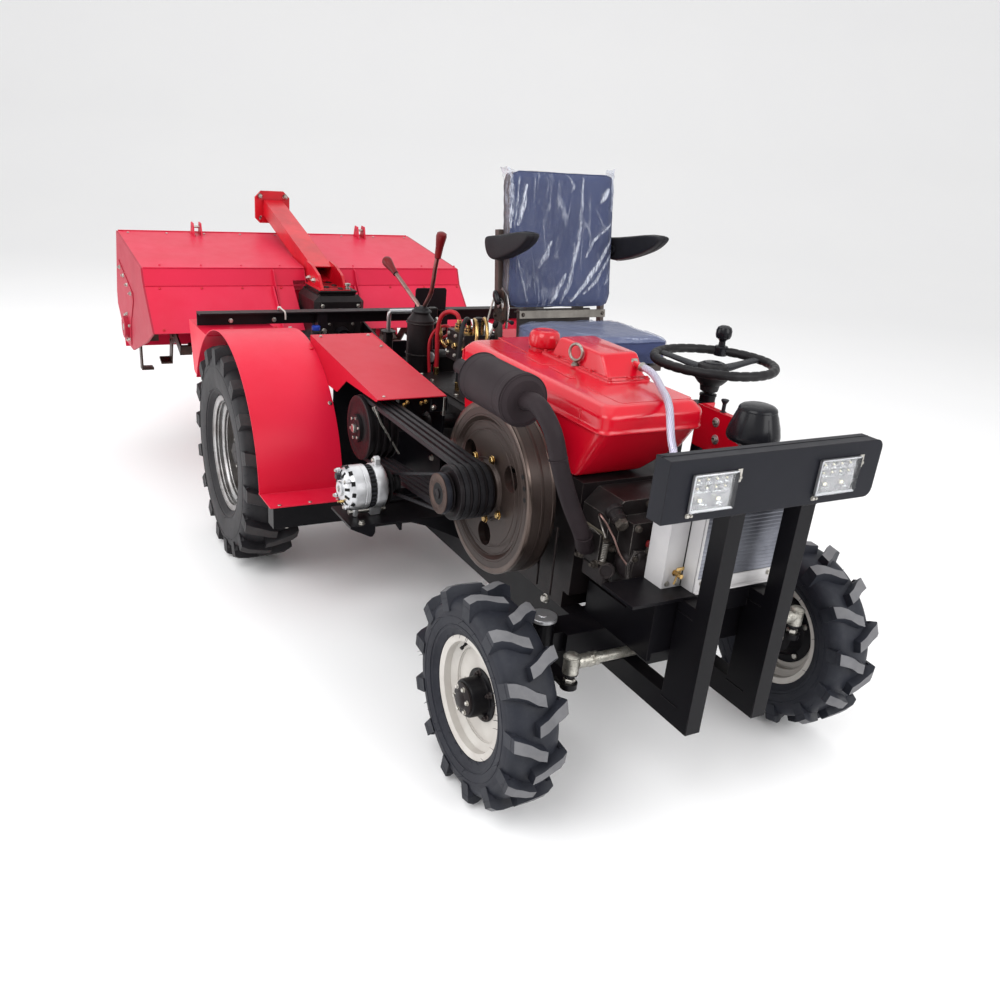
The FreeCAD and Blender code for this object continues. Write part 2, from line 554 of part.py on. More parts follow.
# generator with its belt and carrier
ax_, az_, ar = D["alternator_x"], D["alternator_z"], D["alternator_radius"]
alt = turned_body("alternator", [(8.0, 0.0), (40.0, 0.0), (52.0, 6.0), (ar - 2.0, 20.0), (ar, 26.0), (ar, 78.0), (ar - 5.0, 80.0), (ar - 5.0, 98.0), (ar, 100.0), (ar, 134.0), (ar - 14.0, 146.0), (8.0, 146.0)], (ax_, -700.0, az_))
lug1 = box(ax_ - 12.0, ax_ + 12.0, -604.0, -568.0, az_ - 92.0, az_ - 60.0)
lug2 = box(ax_ - 12.0, ax_ + 12.0, -656.0, -640.0, az_ - 92.0, az_ - 60.0)
shaft_a = cyl((ax_, -704.0, az_), "y", 9.0, 190.0)
fan = cyl((ax_, -552.0, az_), "y", 58.0, 6.0)
apul = turned_body("alt_pulley", [(9.0, 0.0), (34.0, 0.0), (34.0, 2.0), (26.0, 5.0), (26.0, 18.0), (34.0, 21.0), (34.0, 23.0), (9.0, 23.0)], (ax_, po - 32.0, az_))
node("alternator", fuse(alt, lug1, lug2, shaft_a, fan, apul, cyl((ax_, -546.0, az_), "y", 20.0, 12.0)))
belts.append(loop_shape((cx, cz), 48.6, (ax_, az_), 26.6, po.v - 25.0, po.v - 16.5, 7.0))
node("drive_belts", raw(Part.makeCompound(belts), "drive_belts"))
carrier = [box(-760.0, -590.0, -690.0, -ro, 540.0, 547.5),
           raw(slab_shape([(-500.0, 541.0), (-250.0, 541.0), (-250.0, 450.0), (-300.0, 450.0), (-440.0, 520.0)], "x", -760.0, -752.0), "carrier"),
           raw(slab_shape([(-500.0, 541.0), (-250.0, 541.0), (-250.0, 450.0), (-300.0, 450.0), (-440.0, 520.0)], "x", -598.0, -590.0), "carrier"),
           raw(slab_shape([(-690.0, 541.0), (-612.0, 541.0), (-612.0, 522.0), (-620.0, 509.0), (-628.0, 509.0)], "x", -598.0, -590.0), "carrier"),
           raw(slab_shape([(-548.0, 541.0), (-526.0, 541.0), (-526.0, 519.0), (-534.0, 519.0)], "x", -598.0, -590.0), "carrier")]
node("alternator_bracket", fuse(*carrier))

# exhaust
my, mz = -440.0, 1049.0
muffler = [cyl((-330.0, my, mz), "x", 64.0, 226.0), cone((-104.0, my, mz), "x", 64.0, 52.0, 8.0), cone((-330.0, my, mz), "-x", 64.0, 40.0, 14.0),
           cyl((-128.0, my, mz), "x", 66.5, 16.0), cyl((-450.0, my, mz), "x", 20.0, 130.0)]
pipe_path = [(-110.0, my, mz), (-40.0, my, 1064.0), (16.0, -424.0, 1010.0), (20.0, -392.0, 905.0), (24.0, -352.0, 812.0), (14.0, -300.0, 728.0), (-18.0, -268.0, 677.0), (-18.0, -250.3, 677.0)]
node("exhaust", fuse(raw(rod_shape(pipe_path, 22.0), "exhaust_pipe"), *muffler))

# fuel tank and what stands on it
tr, tf, tl, trr = D["tank_rear"], D["tank_front"], D["tank_left"], D["tank_right"]
tb, tt = D["tank_bottom"], D["tank_top"]
side_view = pad_body("tank_body", "XZ_Plane", [(tr + 12.0, tb + 60.0), (tr + 40.0, tb), (tf - 105.0, tb), (tf - 6.0, 975.0), (tr + 8.0, 975.0)], trr + 5.0, tl - 6.0)
lower = cut(side_view, raw(slab_shape([(tl.v - 110.0, tb.v - 1.0), (tl.v + 20.0, tb.v - 1.0), (tl.v + 20.0, tb.v + 78.0), (tl.v - 5.0, tb.v + 78.0)], "x", tr.v - 10.0, tf.v + 10.0), "tank_bevel"))
upper = chamfer_all(box(tr, tf, trr, tl, 975.0, tt), 22.0, lambda x, y, z, e: z > tt.v - 1.0)
node("fuel_cap", fuse(cyl((-630.0, -66.0, tt), "z", 38.0, 16.0), cyl((-630.0, -66.0, tt + 16.0), "z", 48.0, 30.0), cyl((-630.0, -66.0, tt + 46.0), "z", 40.0, 12.0)))
hop = pad_body("tank_hopper", "XZ_Plane", [(-560.0, tt), (-255.0, tt), (-305.0, 1104.0), (-520.0, 1104.0)], -86.0, 62.0 - 22.0)
node("fuel_tank", fuse(lower, upper, hop, box(-585.0, -225.0, -104.0, 36.0, tt, tt + 6.0), cyl((-300.0, 18.0, 1076.0), "x", 9.0, 44.0)))
node("air_cleaner", fuse(cone((72.0, 150.0, 956.0), "z", 58.0, 69.0, 12.0), cone((72.0, 150.0, 968.0), "z", 69.0, 48.0, 76.0), cone((72.0, 150.0, 1044.0), "z", 48.0, 32.0, 12.0),
                         cyl((72.0, 150.0, 766.0), "z", 24.0, 190.0), box(16.0, 100.0, 112.3, 176.0, 714.0, 766.0)))

# =============================================================== dash, steering column and wheel
dash = [box(-250.0, 50.0, 240.0, 243.0, 840.0, 960.0), box(-250.0, 50.0, 240.0, 262.0, 957.0, 960.0), box(-250.0, -247.0, 240.0, 300.0, 840.0, 960.0),
        box(-204.0, -164.0, 243.0, 268.0, 500.0, 957.0), box(10.0, 50.0, 243.0, 250.0, D["tray_top"], 957.0), box(10.0, 50.0, 212.0, 250.0, 548.0, D["tray_top"])]
node("dash_panel", fuse(*dash))
wx, wy, wz = D["wheel_x"], D["wheel_y"], D["wheel_z"]
column = [cyl((wx, wy, 520.0), "z", 24.0, 430.0), box(wx - 50.0, wx + 50.0, ro, wy + 50.0, 430.0, 520.0), box(wx - 20.0, wx + 20.0, wy - 102.0, wy - 20.0, 900.0, 930.0), box(wx - 20.0, wx + 20.0, wy - 104.0, wy - 84.0, 500.3, 930.0)]
node("steering_column", cut(fuse(*column), cyl((wx, wy, 850.0), "z", 12.3, 110.0)))
spokes = []
for k in range(3):
    a = math.radians(90.0 + 120.0 * k)
    c1 = (wx.v + 20.0 * math.cos(a), wy.v + 20.0 * math.sin(a), wz.v - 30.0)
    c2 = (wx.v + 178.0 * math.cos(a), wy.v + 178.0 * math.sin(a), wz.v)
    spokes.append(raw(Part.makeCylinder(8.0, math.dist(c1, c2), V(*c1), V(*c2) - V(*c1)), "spoke"))
knob_a = math.radians(133.0)
kx, ky = wx.v + 150.0 * math.cos(knob_a), wy.v + 150.0 * math.sin(knob_a)
wheel = [ring((wx, wy, wz), "z", D["wheel_radius"], D["wheel_grip"]), cyl((wx, wy, wz - 50.0), "z", 34.0, 46.0), cyl((wx, wy, 870.0), "z", 12.0, 140.0)] + spokes
kx, ky = wx.v + 178.0 * math.cos(knob_a), wy.v + 178.0 * math.sin(knob_a)
node("steering_wheel", fuse(*(wheel + [cyl((kx, ky, wz), "z", 12.0, 42.0), ball((kx, ky, wz + 58.0), 24.0)])))

# =============================================================== transmission
gx0, gx1 = D["rail_rear"], -1380.0
case = chamfer_all(box(gx0, gx1, -170.0, 170.0, 330.0, 700.0), 26.0, lambda x, y, z, e: abs(e.Vertexes[0].Point.x - e.Vertexes[-1].Point.x) > 100.0)
side_feet = [box(-1900.0, -1800.0, -ri, -165.0, 360.0, 420.0), box(-1900.0, -1800.0, 165.0, ri, 360.0, 420.0), box(-1480.0, -1400.0, -ri, -165.0, 360.0, 420.0), box(-1480.0, -1400.0, 165.0, ri, 360.0, 420.0)]
clutch_box = (cut(chamfer_all(box(-1380.0, -940.0, -160.0, 160.0, 540.0, 780.0), 20.0, lambda x, y, z, e: abs(e.Vertexes[0].Point.x - e.Vertexes[-1].Point.x) > 100.0),
                          cyl((D["clutch_x"], -165.0, D["clutch_z"]), "y", 24.3, 100.0)))
axle = []
for s in (-1.0, 1.0):
    d = "y" if s > 0 else "-y"
    axle.append(fuse(cyl((D["rear_axle_x"], ro * s, D["rear_tyre_radius"]), d, 56.0, 300.0),
                     cyl((D["rear_axle_x"], 500.0 * s, D["rear_tyre_radius"]), d, 95.0, 52.0),
                     cyl((D["rear_axle_x"], 540.0 * s, D["rear_tyre_radius"]), d, 30.0, 190.0)))
axles = doc.addObject("Part::Compound", uid("axles"))
axles.Links = axle
node("rear_axle_housing", axles)
node("transmission_case", fuse(case, clutch_box, *(side_feet + [cyl((-1450.0, -100.0, 700.0), "z", 50.0, 265.0), cone((-1450.0, -100.0, 965.0), "z", 50.0, 26.0, 30.0), box(-1500.0, -1400.0, -150.0, -50.0, 700.0, 760.0)])))
levers = fuse(raw(rod_shape([(-1450.0, -110.0, 1003.0), (-1500.0, -118.0, 1042.0), (-1660.0, -152.6, 1138.6)], 8.0), "lever"), ball((-1662.0, -153.0, 1140.0), 20.0))
lever2 = fuse(raw(rod_shape([(-1450.0, -85.0, 1003.0), (-1400.0, -88.0, 1070.0), (-1375.0, -92.0, 1120.0), (-1340.0, -96.0, 1215.0)], 8.0), "lever"), cyl((-1340.0, -96.0, 1205.0), "z", 18.0, 90.0))
node("gear_levers", fuse(levers, lever2, cyl((-1450.0, -98.0, 995.0), "z", 24.0, 18.0)))

# hydraulic control valve on its stand
valve = [box(-1300.0, -1160.0, -60.0, 60.0, 860.0, 965.0), box(-1250.0, -1210.0, -20.0, 20.0, 780.0, 860.0), cyl((-1270.0, -30.0, 965.0), "z", 14.0, 20.0), cyl((-1195.0, -30.0, 965.0), "z", 14.0, 20.0),
         cyl((-1230.0, 30.0, 965.0), "z", 10.0, 40.0)]
node("hydraulic_valve", fuse(*valve))
node("hose_supply", raw(rod_shape([(-1270.0, -30.0, 985.1), (-1270.0, -30.0, 1014.0), (-1304.0, -52.0, 1026.0), (-1338.0, -74.0, 1002.0), (-1346.0, -80.0, 935.0), (-1342.0, -76.0, 865.0), (-1342.0, -76.0, 780.2)], 8.0), "hose"))
node("hose_return", raw(rod_shape([(-1195.0, -30.0, 985.1), (-1195.0, -30.0, 1014.0), (-1162.0, -60.0, 1026.0), (-1130.0, -90.0, 1000.0), (-1122.0, -98.0, 935.0), (-1124.0, -96.0, 865.0), (-1124.0, -96.0, 780.2)], 8.0), "hose"))

# =============================================================== bodywork
st, dh = D["sheet_thickness"], D["deck_height"]
fcx, fcz, frad = D["fender_centre_x"], D["fender_centre_z"], D["fender_radius"]
fi, fo_ = D["fender_inner"], D["fender_outer"]


def arc_sheet(y0, y1):
    c = V(fcx.v, y0, fcz.v)
    a0, a1 = 5.0, 154.0
    outer = Part.makeCylinder(frad.v, y1 - y0, c, V(0, 1, 0)).cut(Part.makeCylinder(frad.v - st.v, y1 - y0, c, V(0, 1, 0)))
    big = 900.0
    wedge = [V(fcx.v, y0, fcz.v)]
    for a in (a0, 50.0, 100.0, a1):
        wedge.append(V(fcx.v + big * math.cos(math.radians(a)), y0, fcz.v + big * math.sin(math.radians(a))))
    w = Part.Face(Part.makePolygon(wedge + [wedge[0]])).extrude(V(0, y1 - y0, 0))
    return outer.common(w)


fenders, decks = [], []
for side, s in (("right", -1.0), ("left", 1.0)):
    y0, y1 = sorted([fi.v * s, fo_.v * s])
    inner = sorted([fi.v * s, (fi.v + st.v) * s])
    outer_e = sorted([(fo_.v - st.v) * s, fo_.v * s])
    arc = arc_sheet(y0, y1)
    # level tail plate behind the arch, on which the cross beam rests
    top = Part.makeBox(312.0, y1 - y0, st.v, V(-2200.0, y0, 829.8 - st.v))
    # inner wall closes the arch above the axle tube
    wall_pts = [(fcx.v + (frad.v - 1.0) * math.cos(math.radians(a)), fcz.v + (frad.v - 1.0) * math.sin(math.radians(a))) for a in range(26, 156, 8)]
    wall = slab_shape(wall_pts + [(-2100.0, 612.0), (-1230.0, 612.0)], "y", inner[0], inner[1])
    gus_pts = [(fcx.v + (frad.v - 1.5) * math.cos(math.radians(a)), fcz.v + (frad.v - 1.5) * math.sin(math.radians(a))) for a in (119.0, 125.0, 132.0, 140.0, 147.0, 153.0)]
    gus = slab_shape([(-2200.0, 828.0)] + gus_pts + [(-2128.0, 628.0), (-2142.0, 634.0)], "y", outer_e[0], outer_e[1])
    foot = Part.makeBox(140.0, y1 - y0, st.v, V(-1185.0, y0, 440.0))
    sh = arc.fuse([top, wall, gus, foot]).removeSplitter()
    fenders.append(sh)
    # footboard that slopes forward from the arch to the engine
    di0, di1 = sorted([258.0 * s, (fi.v - 0.5) * s])
    deck = slab_shape([(-1540.0, 897.0), (-880.0, 836.0), (-880.0, 839.0), (-1540.0, 900.0)], "y", di0, di1)
    e0, e1 = sorted([(fi.v - 3.5) * s, (fi.v - 0.5) * s])
    flange = slab_shape([(-1540.0, 898.0), (-880.0, 837.0), (-890.0, 829.0), (-1160.0, 826.0), (-1250.0, 765.0), (-1540.0, 765.0)], "y", e0, e1)
    decks.append(deck.fuse(flange).removeSplitter())
node("fenders", raw(Part.makeCompound(fenders), "fenders"))
node("deck_plates", raw(Part.makeCompound(decks), "deck_plates"))

# black side plates carry the footboards and the seat frame on the rails
plates = []
for s in (-1.0, 1.0):
    p0, p1 = sorted([250.0 * s, 257.5 * s])
    sp = slab_shape([(-1540.0, 380.0), (-900.0, 380.0), (-900.0, 834.5), (-1540.0, 893.5)], "y", p0, p1)
    if s < 0:
        sp = sp.cut(Part.makeCylinder(40.0, 30.0, V(D["clutch_x"].v, -265.0, D["clutch_z"].v), V(0, 1, 0)))
    sp = sp.cut(Part.makeBox(240.0, 60.0, 200.0, V(-1500.0, -30.0 + (p0 + p1) / 2.0, 520.0)))
    # cross web that closes the space between the arch and the footboard
    sp = sp.fuse(Part.makeBox(6.0, 240.0, 424.0, V(-1300.0, -495.5 if s < 0 else 255.5, 449.0)))
    # outrigger that carries the foot of the fender
    sp = sp.fuse(Part.makeBox(60.0, 534.0, 73.6, V(-1105.0, -790.0 if s < 0 else 256.0, 366.0)))
    plates.append(sp)
node("side_plates", raw(Part.makeCompound(plates), "side_plates"))

rear = [box(-2078.0, -2072.0, -794.0, 794.0, 830.0, 886.0), box(-2072.0, -2020.0, -794.0, 794.0, 880.0, 886.0)]
for s in (-1.0, 1.0):
    p0, p1 = sorted([262.0 * s, 302.0 * s])
    q0, q1 = sorted([236.0 * s, 302.0 * s])
    rear.append(box(-2072.0, -2032.0, p0, p1, 440.0, 880.0))
    rear.append(box(-2072.0, D["rail_rear"], q0, q1, 400.0, 440.0))
node("rear_cross_beam", fuse(*rear))

# =============================================================== seat
sr, sl, stp = D["seat_right"], D["seat_left"], D["seat_top"]
seat_frame = [box(-1150.0, -800.0, sr, sl, 905.0, 925.0), box(-1150.0, -1110.0, sr + 20.0, sr + 60.0, 780.3, 905.0),
              box(-870.0, -820.0, 258.0, 300.0, 700.0, 905.0), box(-870.0, -820.0, 200.0, 300.0, 640.0, 700.0), box(-870.0, -820.0, 200.0, 240.0, rt, 640.0),
              box(-1190.0, -1150.0, sr + 60.0, sl - 60.0, 905.0, 985.0)]
lean = FreeCAD.Rotation(V(0, 1, 0), -9.0)


def leaning(x0, x1, y0, y1, z0, z1):
    """Box that leans back with the backrest; x0..z1 are measured upright from its hinge line at (-1120, 1000)."""
    o = box(0.0, x1 - x0, y0, y1, 0.0, z1 - z0)
    off = lean.multVec(V(x0, 0.0, z0))
    return place(o, (-1120.0 + off.x, y0, 1000.0 + off.z), lean)


seat_frame += [leaning(-80.0, -62.0, sr + 60.0, sl - 60.0, -40.0, 60.0), leaning(-82.0, -62.0, 77.0, 533.5, 290.0, 330.0),
               leaning(-82.0, -62.0, sr + 90.0, sr + 130.0, 50.0, 300.0), leaning(-82.0, -62.0, sl - 130.0, sl - 90.0, 50.0, 300.0),
               leaning(-82.0, -56.0, 77.0, 97.0, -60.0, 330.0), leaning(-82.0, -56.0, 518.0, 533.5, -60.0, 330.0)]
node("seat_frame", fuse(*seat_frame))
arm_side = [(-1262.0, 1288.0), (-1250.0, 1245.0), (-1215.0, 1224.0), (-1174.0, 1222.0), (-1085.0, 1243.0), (-1005.0, 1272.0), (-940.0, 1312.0), (-918.0, 1331.0), (-930.0, 1342.0), (-1100.0, 1318.0)]
node("armrests", raw(Part.makeCompound([slab_shape(arm_side, "y", 24.0, 76.5), slab_shape(arm_side, "y", 534.0, 586.5)]), "armrests"))
cushion = fillet_all(box(-1130.0, -780.0, sr, sl + 25.0, 926.0, stp), 24.0, lambda x, y, z, e: True)
node("seat_cushion", cushion)
back_block = leaning(-60.0, 0.0, 100.0, 515.0, 60.0, 520.0)
node("seat_back", fillet_all(back_block, 22.0, lambda x, y, z, e: True))

# foot platform and pedals on the left, ahead of the seat
plat = [box(-900.0, -560.0, ro, 560.0, 420.0, 424.0), box(-900.0, -896.0, ro, 560.0, 380.0, 420.0), box(-564.0, -560.0, ro, 560.0, 380.0, 420.0)]
ped = []
for yc in (310.0, 500.0):
    ped.append(raw(rod_shape([(-620.0, yc, 424.0), (-590.0, yc, 500.0), (-600.0, yc, 580.0)], 9.0), "pedal"))
    ped.append(box(-640.0, -560.0, yc - 35.0, yc + 35.0, 575.0, 585.0))
node("foot_platform", fuse(*(plat + ped)))

# braided water hose from the hopper to the radiator
node("hose_water", raw(rod_shape([(-256.0, 18.0, 1076.0), (-215.0, 18.0, 1076.0), (-152.0, -4.0, 1066.0), (-92.0, -36.0, 1061.0), (-37.0, -63.0, 1058.0), (12.0, -92.0, 1054.0), (50.0, -115.0, 1042.0),
                                  (84.0, -136.0, 1020.0), (112.0, -150.0, 994.0), (138.0, -156.0, 970.0), (138.0, -156.0, 941.1)], 10.0), "hose"))

# =============================================================== tiller
hr, hl, hs, ep = D["hood_right"], D["hood_left"], D["hood_sheet"], D["end_plate"]
rx, rz = D["rotor_x"], D["rotor_z"]
OUT = [(-3477.0, 724.0), (-3343.0, 1034.0), (-2690.0, 956.0), (-2657.0, 883.0), (-2481.0, 711.0)]


def offset_path(pts, t):
    """Closed strip: the open path and its copy moved t towards its right-hand side."""
    out = []
    n = len(pts)
    for i in range(n):
        def seg_n(a, b):
            dx, dz = b[0] - a[0], b[1] - a[1]
            l = math.hypot(dx, dz)
            return (dz / l, -dx / l)
        if i == 0:
            nx, nz = seg_n(pts[0], pts[1])
            out.append((pts[0][0] + nx * t, pts[0][1] + nz * t))
        elif i == n - 1:
            nx, nz = seg_n(pts[-2], pts[-1])
            out.append((pts[-1][0] + nx * t, pts[-1][1] + nz * t))
        else:
            n1, n2 = seg_n(pts[i - 1], pts[i]), seg_n(pts[i], pts[i + 1])
            k = t / (1.0 + n1[0] * n2[0] + n1[1] * n2[1])
            out.append((pts[i][0] + (n1[0] + n2[0]) * k, pts[i][1] + (n1[1] + n2[1]) * k))
    return list(pts) + out[::-1]


hood = pad_body("tiller_hood", "XZ_Plane", offset_path(OUT, hs.v), hr + ep, hl - ep)
notch = box(-2700.0, -2440.0, -212.0, 52.0, 600.0, 905.0)
ears = []
for yc in (-520.0, 360.0):
    ears.append(raw(slab_shape([(-3330.0, 1031.0), (-3250.0, 1021.5), (-3270.0, 1085.0), (-3310.0, 1088.0)], "y", yc - 22.0, yc - 16.0), "ear"))
    ears.append(raw(slab_shape([(-3330.0, 1031.0), (-3250.0, 1021.5), (-3270.0, 1085.0), (-3310.0, 1088.0)], "y", yc + 16.0, yc + 22.0), "ear"))
ribs = []
for yc in (-318.0, 86.0):
    ribs.append(raw(slab_shape([(-2657.0, 881.0), (-2481.0, 709.0), (-2466.0, 724.0), (-2630.0, 884.0)], "y", yc - 4.0, yc + 4.0), "rib"))
slot = box(-2900.0, -2640.0, -150.0, -36.0, 800.0, 1100.0)
node("tiller_hood", fuse(cut(hood, notch, slot), *(ears + ribs)))

END = [(-3477.0, 724.0), (-3343.0, 1034.0), (-2690.0, 956.0), (-2657.0, 883.0), (-2481.0, 711.0), (-2640.0, 640.0), (-3069.0, 505.0), (-3280.0, 505.0), (-3479.0, 657.0)]
ends = []
for y0, y1 in ((hr, hr + ep), (hl - ep, hl)):
    ends.append((y0, y1))
plates = []
for (y0, y1), s in zip(ends, (-1.0, 1.0)):
    plate = pad_body("tiller_end_plate", "XZ_Plane", END, y0, y1)
    yo = y0 if s < 0 else y1
    hub = cyl((rx, yo, rz), "-y" if s < 0 else "y", 52.0, 26.0)
    plates.append(cut(fuse(plate, hub), cyl((rx, y0 - 40.0, rz), "y", 22.3, 100.0)))
node("tiller_end_plates", fuse(*plates))

# levelling board behind the rotor
board = slab_shape([(-3477.0, 722.0), (-3520.0 + 60.0, 640.0), (-3420.0, 520.0), (-3400.0, 450.0), (-3395.0, 451.5), (-3415.0, 521.0), (-3456.0, 641.0), (-3473.0, 721.0)], "y", hr.v + ep.v + 4.0, hl.v - ep.v - 4.0)
node("tiller_rear_board", raw(board, "tiller_rear_board"))

# central gearbox with a drop case to the rotor
gb_box = chamfer_all(box(-2640.0, -2370.0, -200.0, 40.0, 640.0, 880.0), 22.0, lambda x, y, z, e: True)
drop = slab_shape([(-2640.0, 690.0), (-2640.0, 830.0), (-3150.0, 672.0), (-3210.0, 655.0), (-3240.0, 600.0), (-3210.0, 545.0), (-3150.0, 530.0)], "y", -112.0, -48.0)
lid = [box(-2600.0, -2420.0, -170.0, 10.0, 880.0, 894.0)]
node("tiller_gearbox", fuse(gb_box, raw(drop, "drop_case"), *lid))

# arm over the hood with its four-bolt end flange
ayc, ahw = -93.0, 50.0
arm_dir = V(-3400.0 + 2600.0, 0, 1160.0 - 945.0)
arm_len = arm_dir.Length
tube = Part.makeBox(arm_len, 2 * ahw, 76.0, V(0, -ahw, -38.0)).cut(Part.makeBox(arm_len, 2 * ahw - 10.0, 66.0, V(0, -ahw + 5.0, -33.0)))
rot = FreeCAD.Rotation(V(1, 0, 0), arm_dir)
tube.Placement = FreeCAD.Placement(V(-2600.0, ayc, 945.0), rot)
fl = slab_shape([(-68.0, -80.0), (68.0, -80.0), (92.5, -56.0), (92.5, 48.0), (60.0, 80.0), (-60.0, 80.0), (-92.5, 48.0), (-92.5, -56.0)], "x", -6.0, 6.0)
for dy in (-65.0, 65.0):
    for dz in (-52.0, 52.0):
        fl = fl.cut(Part.makeCylinder(8.5, 40.0, V(-20.0, dy, dz), V(1, 0, 0)))
fl.Placement = FreeCAD.Placement(V(-3406.0, ayc, 1160.0), FreeCAD.Rotation())
foot = Part.makeBox(210.0, 150.0, 12.0, V(-2615.0, ayc - 75.0, 894.0))
ear1 = slab_shape([(-2610.0, 906.0), (-2420.0, 906.0), (-2470.0, 960.0), (-2560.0, 990.0), (-2640.0, 1000.0)], "y", ayc - 62.0, ayc - 50.0)
ear2 = slab_shape([(-2610.0, 906.0), (-2420.0, 906.0), (-2470.0, 960.0), (-2560.0, 990.0), (-2640.0, 1000.0)], "y", ayc + 50.0, ayc + 62.0)
tube = tube.cut(Part.makeBox(400.0, 400.0, 200.0, V(-2800.0, ayc - 200.0, 706.0)))
arm_shape = tube.fuse([fl, foot, ear1, ear2]).removeSplitter()
node("tiller_arm", raw(arm_shape, "tiller_arm"))

# lift frame: two cheek plates with trunnions, a cross plate and the cylinder's clevis
lx, lz, lp = D["lift_x"], D["lift_z"], D["lift_pin"]
cheek = [(lx.v + 34.0, lz.v - 26.0), (lx.v + 34.0, lz.v + 26.0), (lx.v - 20.0, lz.v + 44.0), (-2600.0, 800.0), (-2600.0, 660.0), (-2400.0, 540.0), (-2380.0, 540.0), (lx.v - 20.0, lz.v - 40.0)]
lf = [slab_shape(cheek, "y", -211.0, -201.0), slab_shape(cheek, "y", 41.0, 51.0)]
lf.append(Part.makeBox(12.0, 252.0, 60.0, V(-2366.0, -201.0 - 5.0, 566.0)))
lf.append(Part.makeCylinder(lp.v, 36.0, V(lx.v, -236.0, lz.v), V(0, 1, 0)))
lf.append(Part.makeCylinder(lp.v, 36.0, V(lx.v, 40.0, lz.v), V(0, 1, 0)))
ex, ez = D["cyl_eye_x"].v, D["cyl_eye_z"].v
for y0 in (-118.0, -54.0):
    lf.append(slab_shape([(-2366.0, 566.0), (-2366.0, 620.0), (ex - 22.0, 600.0), (ex - 22.0, ez - 16.0), (ex + 4.0, ez - 22.0)], "y", y0, y0 + 12.0))
lf.append(Part.makeCylinder(9.0, 76.0, V(ex, -118.0, ez), V(0, 1, 0)))
lift = lf[0].fuse(lf[1:]).removeSplitter()
node("tiller_lift_frame", raw(lift, "tiller_lift_frame"))
node("drive_shaft", fuse(cyl((lx + 2.0, -80.0, lz + 2.0), FreeCAD.Rotation(V(0, 0, 1), V(-280.0, 0, 60.0)), 20.0, 290.0),
                         cyl((-2318.0, -80.0, 713.4), FreeCAD.Rotation(V(0, 0, 1), V(-280.0, 0, 60.0)), 32.0, 36.0), ball((lx + 2.0, -80.0, lz + 2.0), 30.0)))

# rotor: two tubes with flanges and L-shaped blades
R, rtb = D["rotor_radius"].v, D["rotor_tube"].v


def blade(yc, ang, side):
    flat = Part.makeBox(150.0, 8.0, 48.0, V(60.0, -4.0, -24.0))
    bend = Part.makeBox(12.0, 58.0, 52.0, V(203.0, -4.0 if side > 0 else -54.0, -26.0))
    b = flat.fuse(bend)
    b.Placement = FreeCAD.Placement(V(rx.v, yc, rz.v), FreeCAD.Rotation(V(0, 1, 0), ang))
    return b


def rotor_half(y0, y1, flanges, stub):
    parts = [Part.makeCylinder(rtb, y1 - y0, V(rx.v, y0, rz.v), V(0, 1, 0))]
    if stub < 0:
        parts.append(Part.makeCylinder(22.0, 34.0, V(rx.v, y0 - 30.0, rz.v), V(0, 1, 0)))
    else:
        parts.append(Part.makeCylinder(22.0, 34.0, V(rx.v, y1 - 4.0, rz.v), V(0, 1, 0)))
    for k, yc in enumerate(flanges):
        parts.append(Part.makeCylinder(88.0, 8.0, V(rx.v, yc - 4.0, rz.v), V(0, 1, 0)))
        for j in range(4):
            side = 1 if (j % 2 == 0) else -1
            if k == 0 and stub < 0:
                side = 1
            if k == len(flanges) - 1 and stub > 0:
                side = -1
            parts.append(blade(yc, 90.0 * j + 22.5 * k + (0.0 if stub < 0 else 45.0), side))
    return parts[0].fuse(parts[1:]).removeSplitter()


halves = [rotor_half(-884.0, -120.0, [-850.0, -690.0, -530.0, -370.0, -210.0], -1), rotor_half(-40.0, 654.0, [50.0, 190.0, 330.0, 475.0, 620.0], 1)]
node("tiller_rotor", raw(Part.makeCompound(halves), "tiller_rotor"))

# =============================================================== rear hitch and lift cylinder
hx = D["rail_rear"].v
hitch = [Part.makeBox(14.0, 300.0, 400.0, V(hx - 14.0, -230.0, 370.0))]
earp = [(hx - 14.0, 560.0), (hx - 14.0, 760.0), (lx.v, lz.v + 30.0), (lx.v - 24.0, lz.v + 16.0), (lx.v - 24.0, lz.v - 16.0), (lx.v, lz.v - 30.0)]
hitch += [slab_shape(earp, "y", -226.0, -214.0), slab_shape(earp, "y", 54.0, 66.0)]
bx, bz = D["cyl_base_x"].v, D["cyl_base_z"].v
for y0 in (-118.0, -54.0):
    hitch.append(slab_shape([(hx - 14.0, 400.0), (hx - 14.0, 480.0), (bx - 8.0, 462.0), (bx - 20.0, 440.0), (bx - 8.0, 418.0)], "y", y0, y0 + 12.0))
hit = hitch[0].fuse(hitch[1:])
for y0, l in ((-240.0, 40.0), (40.0, 40.0)):
    hit = hit.cut(Part.makeCylinder(lp.v + 0.3, l, V(lx.v, y0, lz.v), V(0, 1, 0)))
hit = hit.fuse(Part.makeCylinder(10.0, 76.0, V(bx, -118.0, bz), V(0, 1, 0))).removeSplitter()
node("rear_hitch", raw(hit, "rear_hitch"))

cdir = V(ex - bx, 0, ez - bz)
clen = cdir.Length
cdir.normalize()
crot = FreeCAD.Rotation(V(0, 0, 1), cdir)
byc = -80.0
